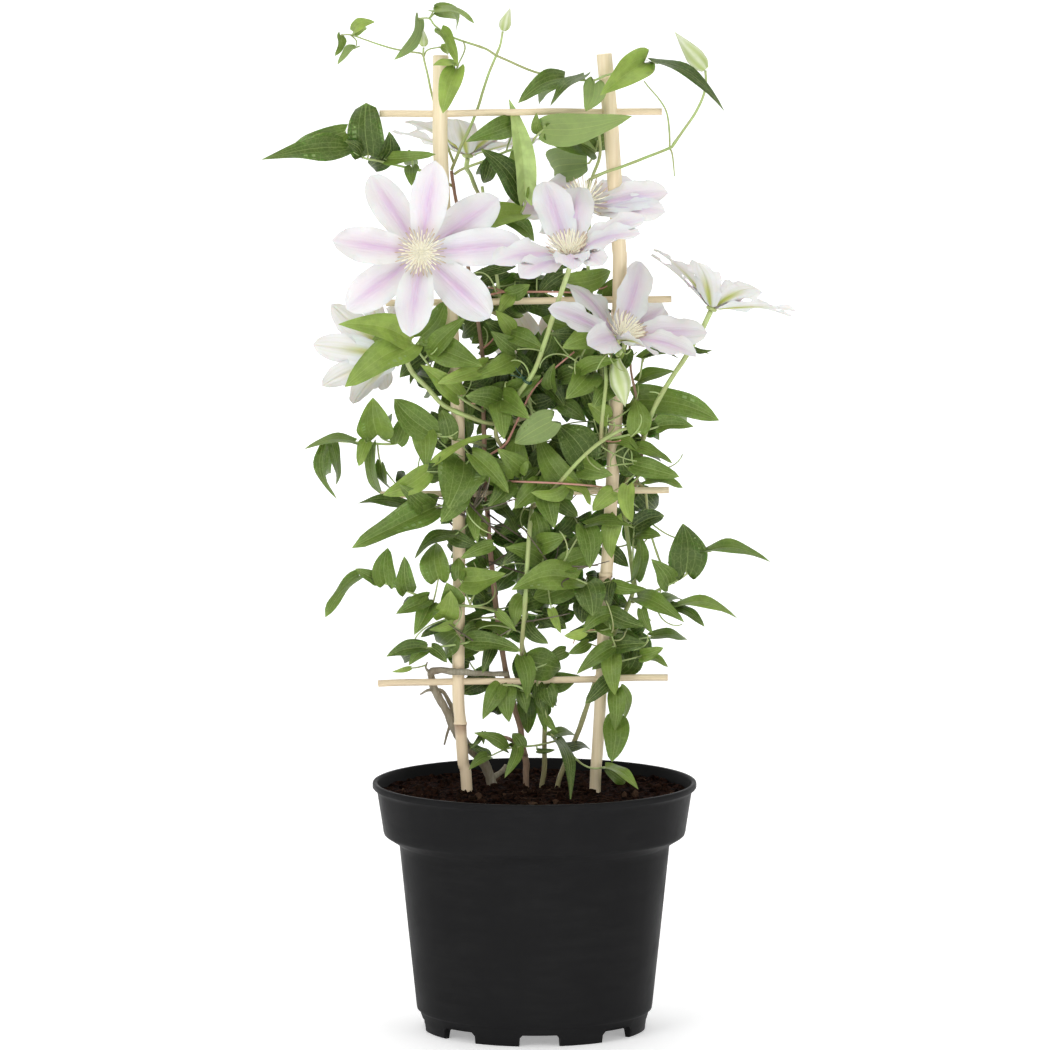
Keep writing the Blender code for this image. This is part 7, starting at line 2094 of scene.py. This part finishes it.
for name in BLOOMS:
    draw = random.Random(len(name) * 7)
    seat, axis, found = stamen_ways(name, STAMENS)
    pale, dark = Gather(), Gather()
    for k, path in enumerate(found):
        points, faces, share = stamen_shape(path, draw.uniform(0, 3))
        (dark if k > STAMENS * DUSKY_FROM else pale).add(points, faces, share=share)
    _, side, other = carried(np.array([seat, seat + axis]))
    for k in range(STYLES):
        out = side[0] * math.cos(STYLE_TURN * k) + other[0] * math.sin(STYLE_TURN * k)
        end = seat + axis * (9 - 0.1 * k) + out * (0.4 + 0.12 * k)
        points, faces, share = stamen_shape([seat + out * 0.7, seat + axis * 5 + out * 0.9, end], k)
        pale.add(points, faces, share=0.4 * share)
    dome, faces = bud_shape(seat, seat + axis * HEAD_HEIGHT, HEAD_RADIUS, 12)
    pale.add(dome, faces, share=0.3)
    piece(name + "_tuft", pale, filament_cream_glow, "cream", name + "_stamens")
    if dark.count:
        piece(name + "_outer_tuft", dark, filament_dark, "cream")
print("stamens dressed")

# %% [markdown]
# ## The buds
# A clematis bud is four sepals folded into a pointed spindle, with a soft rib along each. The profile is the
# solid's own, sampled finely, and the ribs are six waves round it.

# %% Buds
BUD_RING, BUD_ROWS = 30, 22


def bud_spindle(base, tip, radius, low):
    """Profile radius times 0.93 + ribs, turned about a line; low above 1 moves its belly to the tip."""
    share = np.linspace(0, 1, BUD_ROWS) ** 1.1
    profile = np.interp(share**low, BUD_STEPS + (1.0,), BUD_SHARES + (0.0,)) * radius
    profile = np.convolve(np.pad(profile, 1, mode="edge"), (0.25, 0.5, 0.25), "valid")
    profile[-1] = 0.05
    path = base + (tip - base) * share[:, None]
    _, across, other = carried(path)
    a = 2 * np.pi * np.arange(BUD_RING) / BUD_RING
    rib = np.abs(np.cos(3 * a + 1.5 * share[:, None])) ** 3
    rows = swollen(path, ring_points(path, profile, across, other, BUD_RING), 0.93 + 0.10 * rib)
    return rows.reshape(-1, 3), tube_faces(BUD_ROWS, BUD_RING), np.repeat(share, BUD_RING), rib.ravel()


for name, (base, tip, radius) in BUDS.items():
    shapes = Gather()
    nods = name == "bud_nodding"
    points, faces, share, rib = bud_spindle(at(*base), at(*tip), radius, 1.6 if nods else 1.0)
    shapes.add(points, faces, share=share * (0.55 if nods else 1.0), rib=rib)
    piece(name + "_spindle", shapes, bud_green, "bud_green", name)
print("buds:", list(BUDS))

# %% [markdown]
# ## The pot
# The nursery pot is thin blow-moulded plastic: a plain cone from a stepped foot to a flared shoulder and a
# rolled lip. It is one profile turned about the upright axis, out and up, over the lip and down inside. The
# foot ring has eight notches for drainage, made by lifting the lowest rows of points where a notch is, with a
# column of points on each side of its flank so that the flank stands upright.

# %% Pot
FOOT_RADIUS, FOOT_HEIGHT, FLOOR = 78.5, 8.6, 2.4
NOTCHES, NOTCH_HALF, NOTCH_HEIGHT, NOTCH_CHAMFER = 8, 14.4, 8.0, 2.5
NOTCH_TURN = math.radians(2.6)
OUTSIDE = np.array([
    (78.5, 0.0), (79.2, 0.4), (80.0, 7.0), (81.6, 12.6), (82.4, 13.8), (83.6, 14.6), (84.0, 17.0),
    (90.0, 73.0), (95.6, 128.0), (96.0, 132.0), (97.2, 133.6), (105.6, 138.8), (106.8, 139.8), (107.3, 141.4),
    (107.8, 145.0), (111.6, 169.4), (112.2, 171.2), (114.4, 172.6), (115.0, 173.4), (115.0, 175.8),
    (114.7, 176.6), (113.9, 177.0)])
INSIDE = np.array([
    (112.4, 177.0), (111.8, 176.6), (111.5, 175.0), (110.2, 171.0), (106.0, 143.4), (104.6, 140.4),
    (96.0, 134.0), (94.2, 131.0), (84.0, 30.0), (80.4, 13.0), (76.0, 11.0)])
UNDERSIDE = np.array([(74.0, 8.6), (75.5, 0.0)])


def notch_rise(turn):
    """Height of the foot's lower edge at an angle: 0, or up a flank and a chamfer to the notch's top."""
    step = 2 * np.pi / NOTCHES
    off = np.abs((turn + np.pi / 2 - NOTCH_TURN + step / 2) % step - step / 2) * FOOT_RADIUS
    heights = (NOTCH_HEIGHT, NOTCH_HEIGHT - NOTCH_CHAMFER)
    flank = np.interp(off, (NOTCH_HALF - NOTCH_CHAMFER, NOTCH_HALF), heights)
    return np.where(off <= NOTCH_HALF + 1e-6, flank, 0.0)


def pot_turns():
    """Angles of the columns: evenly spread, and close together at each notch's flanks."""
    step = 2 * np.pi / NOTCHES
    half, chamfer = NOTCH_HALF / FOOT_RADIUS, NOTCH_CHAMFER / FOOT_RADIUS
    inside = [-half - 0.002, -half, -half + chamfer, -0.07, 0.0, 0.07, half - chamfer, half, half + 0.002]
    between = np.linspace(half + 0.03, step - half - 0.03, 9)
    one = np.concatenate([inside, between])
    return (one[None] + (np.arange(NOTCHES) * step)[:, None]).ravel() - np.pi / 2 + NOTCH_TURN


def turned(profile, turns, middle_ends):
    """The profile turned about Z at the given angles, with a pole of one point at each closed end."""
    rows = np.stack([profile[:, 0, None] * np.cos(turns), profile[:, 0, None] * np.sin(turns),
                     np.broadcast_to(profile[:, 1, None], (len(profile), len(turns)))], -1)
    return rows, pole_faces(len(profile), len(turns)), [[0.0, 0.0, z] for z in middle_ends]


turns = pot_turns()
profile = np.vstack([UNDERSIDE, OUTSIDE, INSIDE])
rows, faces, poles = turned(profile, turns, (FOOT_HEIGHT, FOOT_HEIGHT + FLOOR))
rise = notch_rise(turns)
for row in (1, 2, 3, 4):
    lifted = np.maximum(rows[row, :, 2], rise)
    if row > 1:
        radius = np.interp(lifted, OUTSIDE[:3, 1], OUTSIDE[:3, 0])
    else:
        radius = np.interp(lifted, UNDERSIDE[::-1, 1], UNDERSIDE[::-1, 0])
    rows[row] = np.column_stack([radius * np.cos(turns), radius * np.sin(turns), lifted])
shapes = Gather()
shapes.add(np.vstack([rows.reshape(-1, 3), poles]), faces)
pot_piece = piece("pot_shell", shapes, black_plastic, "black_plastic", "pot")
print("pot:", len(pot_piece.data.polygons), "faces")

# %% [markdown]
# ## The peat
# The surface of the peat is lumpy at every scale. A sum of sine waves in random directions gives a height
# without any loop over points; loose crumbs and fibres lie on it. A crumb is an uneven twenty-sided ball, and
# there are hundreds, so all of them are placed by one array sum.

# %% Peat
PEAT_RINGS, PEAT_SIDES, PEAT_RADIUS = 46, 128, 109.4
CRUMBS, CRUMB_LEAST, CRUMB_MOST, FIBRES = 620, 0.9, 3.6, 120


def waves(x, y, count, shortest, longest, seed):
    """Sum of sine waves in seeded directions, each as high as it is long; scaled to about -1..1."""
    draw = np.random.default_rng(seed)
    wave = np.exp(draw.uniform(np.log(shortest), np.log(longest), count))
    turn, start = draw.uniform(0, 2 * np.pi, (2, count))
    inner = (x[..., None] * np.cos(turn) + y[..., None] * np.sin(turn)) * 2 * np.pi / wave + start
    return (np.sin(inner) * wave / longest).sum(-1) / np.sqrt((wave**2 / longest**2).sum() / 2) / 2.2


def peat_height(x, y):
    """Slow lumps and quick ones on the level SOIL_TOP, kept between 3.2 mm below and 1.6 mm above it."""
    rough = 1.5 * waves(x, y, 30, 9, 50, 3) + 0.7 * waves(x, y, 40, 3, 9, 4)
    return SOIL_TOP + np.clip(rough, -3.2, 1.6)


share = np.linspace(0.012, 1, PEAT_RINGS)
turns = 2 * np.pi * np.arange(PEAT_SIDES) / PEAT_SIDES
x = PEAT_RADIUS * share[:, None] * np.cos(turns)
y = PEAT_RADIUS * share[:, None] * np.sin(turns)
top = np.stack([x, y, peat_height(x, y)], -1)[::-1]
skirt = np.array([(75.0, 11.3), (80.0, 30.0), (93.0, 131.0), (104.6, 143.0), (107.6, 160.0)])
disc = np.column_stack([PEAT_RADIUS * share[::-1], np.zeros(PEAT_RINGS)])
rows, faces, poles = turned(np.vstack([skirt, disc]), turns, (skirt[0, 1], SOIL_TOP))
rows[len(skirt):] = top
rows[len(skirt), :, :2] *= 0.998
shapes = Gather()
shapes.add(np.vstack([rows.reshape(-1, 3), poles]), faces, pale=0.0)


def crumbs(count, least, most, seed):
    """Uneven balls of twenty faces on the peat: base corners times a random stretch, then moved."""
    golden = (1 + 5**0.5) / 2
    ball = np.array([(-1, golden, 0), (1, golden, 0), (-1, -golden, 0), (1, -golden, 0), (0, -1, golden),
                     (0, 1, golden), (0, -1, -golden), (0, 1, -golden), (golden, 0, -1), (golden, 0, 1),
                     (-golden, 0, -1), (-golden, 0, 1)]) / 1.9
    sides = np.array([
        (0, 11, 5), (0, 5, 1), (0, 1, 7), (0, 7, 10), (0, 10, 11), (1, 5, 9), (5, 11, 4), (11, 10, 2),
        (10, 7, 6), (7, 1, 8), (3, 9, 4), (3, 4, 2), (3, 2, 6), (3, 6, 8), (3, 8, 9), (4, 9, 5), (2, 4, 11),
        (6, 2, 10), (8, 6, 7), (9, 8, 1)])
    draw = np.random.default_rng(seed)
    size = np.exp(draw.uniform(np.log(least), np.log(most), count))
    radius = (PEAT_RADIUS - 4) * np.sqrt(draw.uniform(0, 1, count))
    turn = draw.uniform(0, 2 * np.pi, count)
    x, y = radius * np.cos(turn), radius * np.sin(turn)
    place = np.stack([x, y, peat_height(x, y) + size * 0.15], -1)
    uneven = draw.uniform(0.65, 1.2, (count, 12, 1)) * draw.uniform(0.5, 1.3, (count, 1, 3))
    points = place[:, None] + ball * (uneven * size[:, None, None])
    corners = sides[None] + (np.arange(count) * 12)[:, None, None]
    pale = np.repeat(np.where(draw.uniform(0, 1, count) < 0.06, 0.8, draw.uniform(0, 0.2, count)), 12)
    return points.reshape(-1, 3), corners.reshape(-1, 3), pale


def peat_fibres(count, seed):
    """Short bent threads lying on the peat, as three-sided tubes."""
    draw = random.Random(seed)
    for _ in range(count):
        radius = PEAT_RADIUS * draw.uniform(0, 0.93)
        turn, way = draw.uniform(0, 6.3), draw.uniform(0, 6.3)
        length, bend = draw.uniform(5, 16), draw.uniform(-1.2, 1.2)
        t = np.linspace(0, 1, 6)
        x = radius * math.cos(turn) + length * t * np.cos(way + bend * t)
        y = radius * math.sin(turn) + length * t * np.sin(way + bend * t)
        inside = np.minimum(1, (PEAT_RADIUS - 3) / np.maximum(np.hypot(x, y), 1))
        x, y = x * inside, y * inside
        z = peat_height(x, y) + 0.3 + draw.uniform(0, 2.2) * t * (1.3 - t)
        yield tube(np.column_stack([x, y, z]), [draw.uniform(0.2, 0.45), 0.12], 4), draw.uniform(0.1, 0.9)


points, corners, pale = crumbs(CRUMBS, CRUMB_LEAST, CRUMB_MOST, 5)
shapes.add(points, corners, pale=pale)
for (points, faces), pale in peat_fibres(FIBRES, 6):
    shapes.add(points, faces, pale=pale)
peat_piece = piece("peat_bed", shapes, peat, "peat", "soil")
print("peat:", len(peat_piece.data.polygons), "faces")
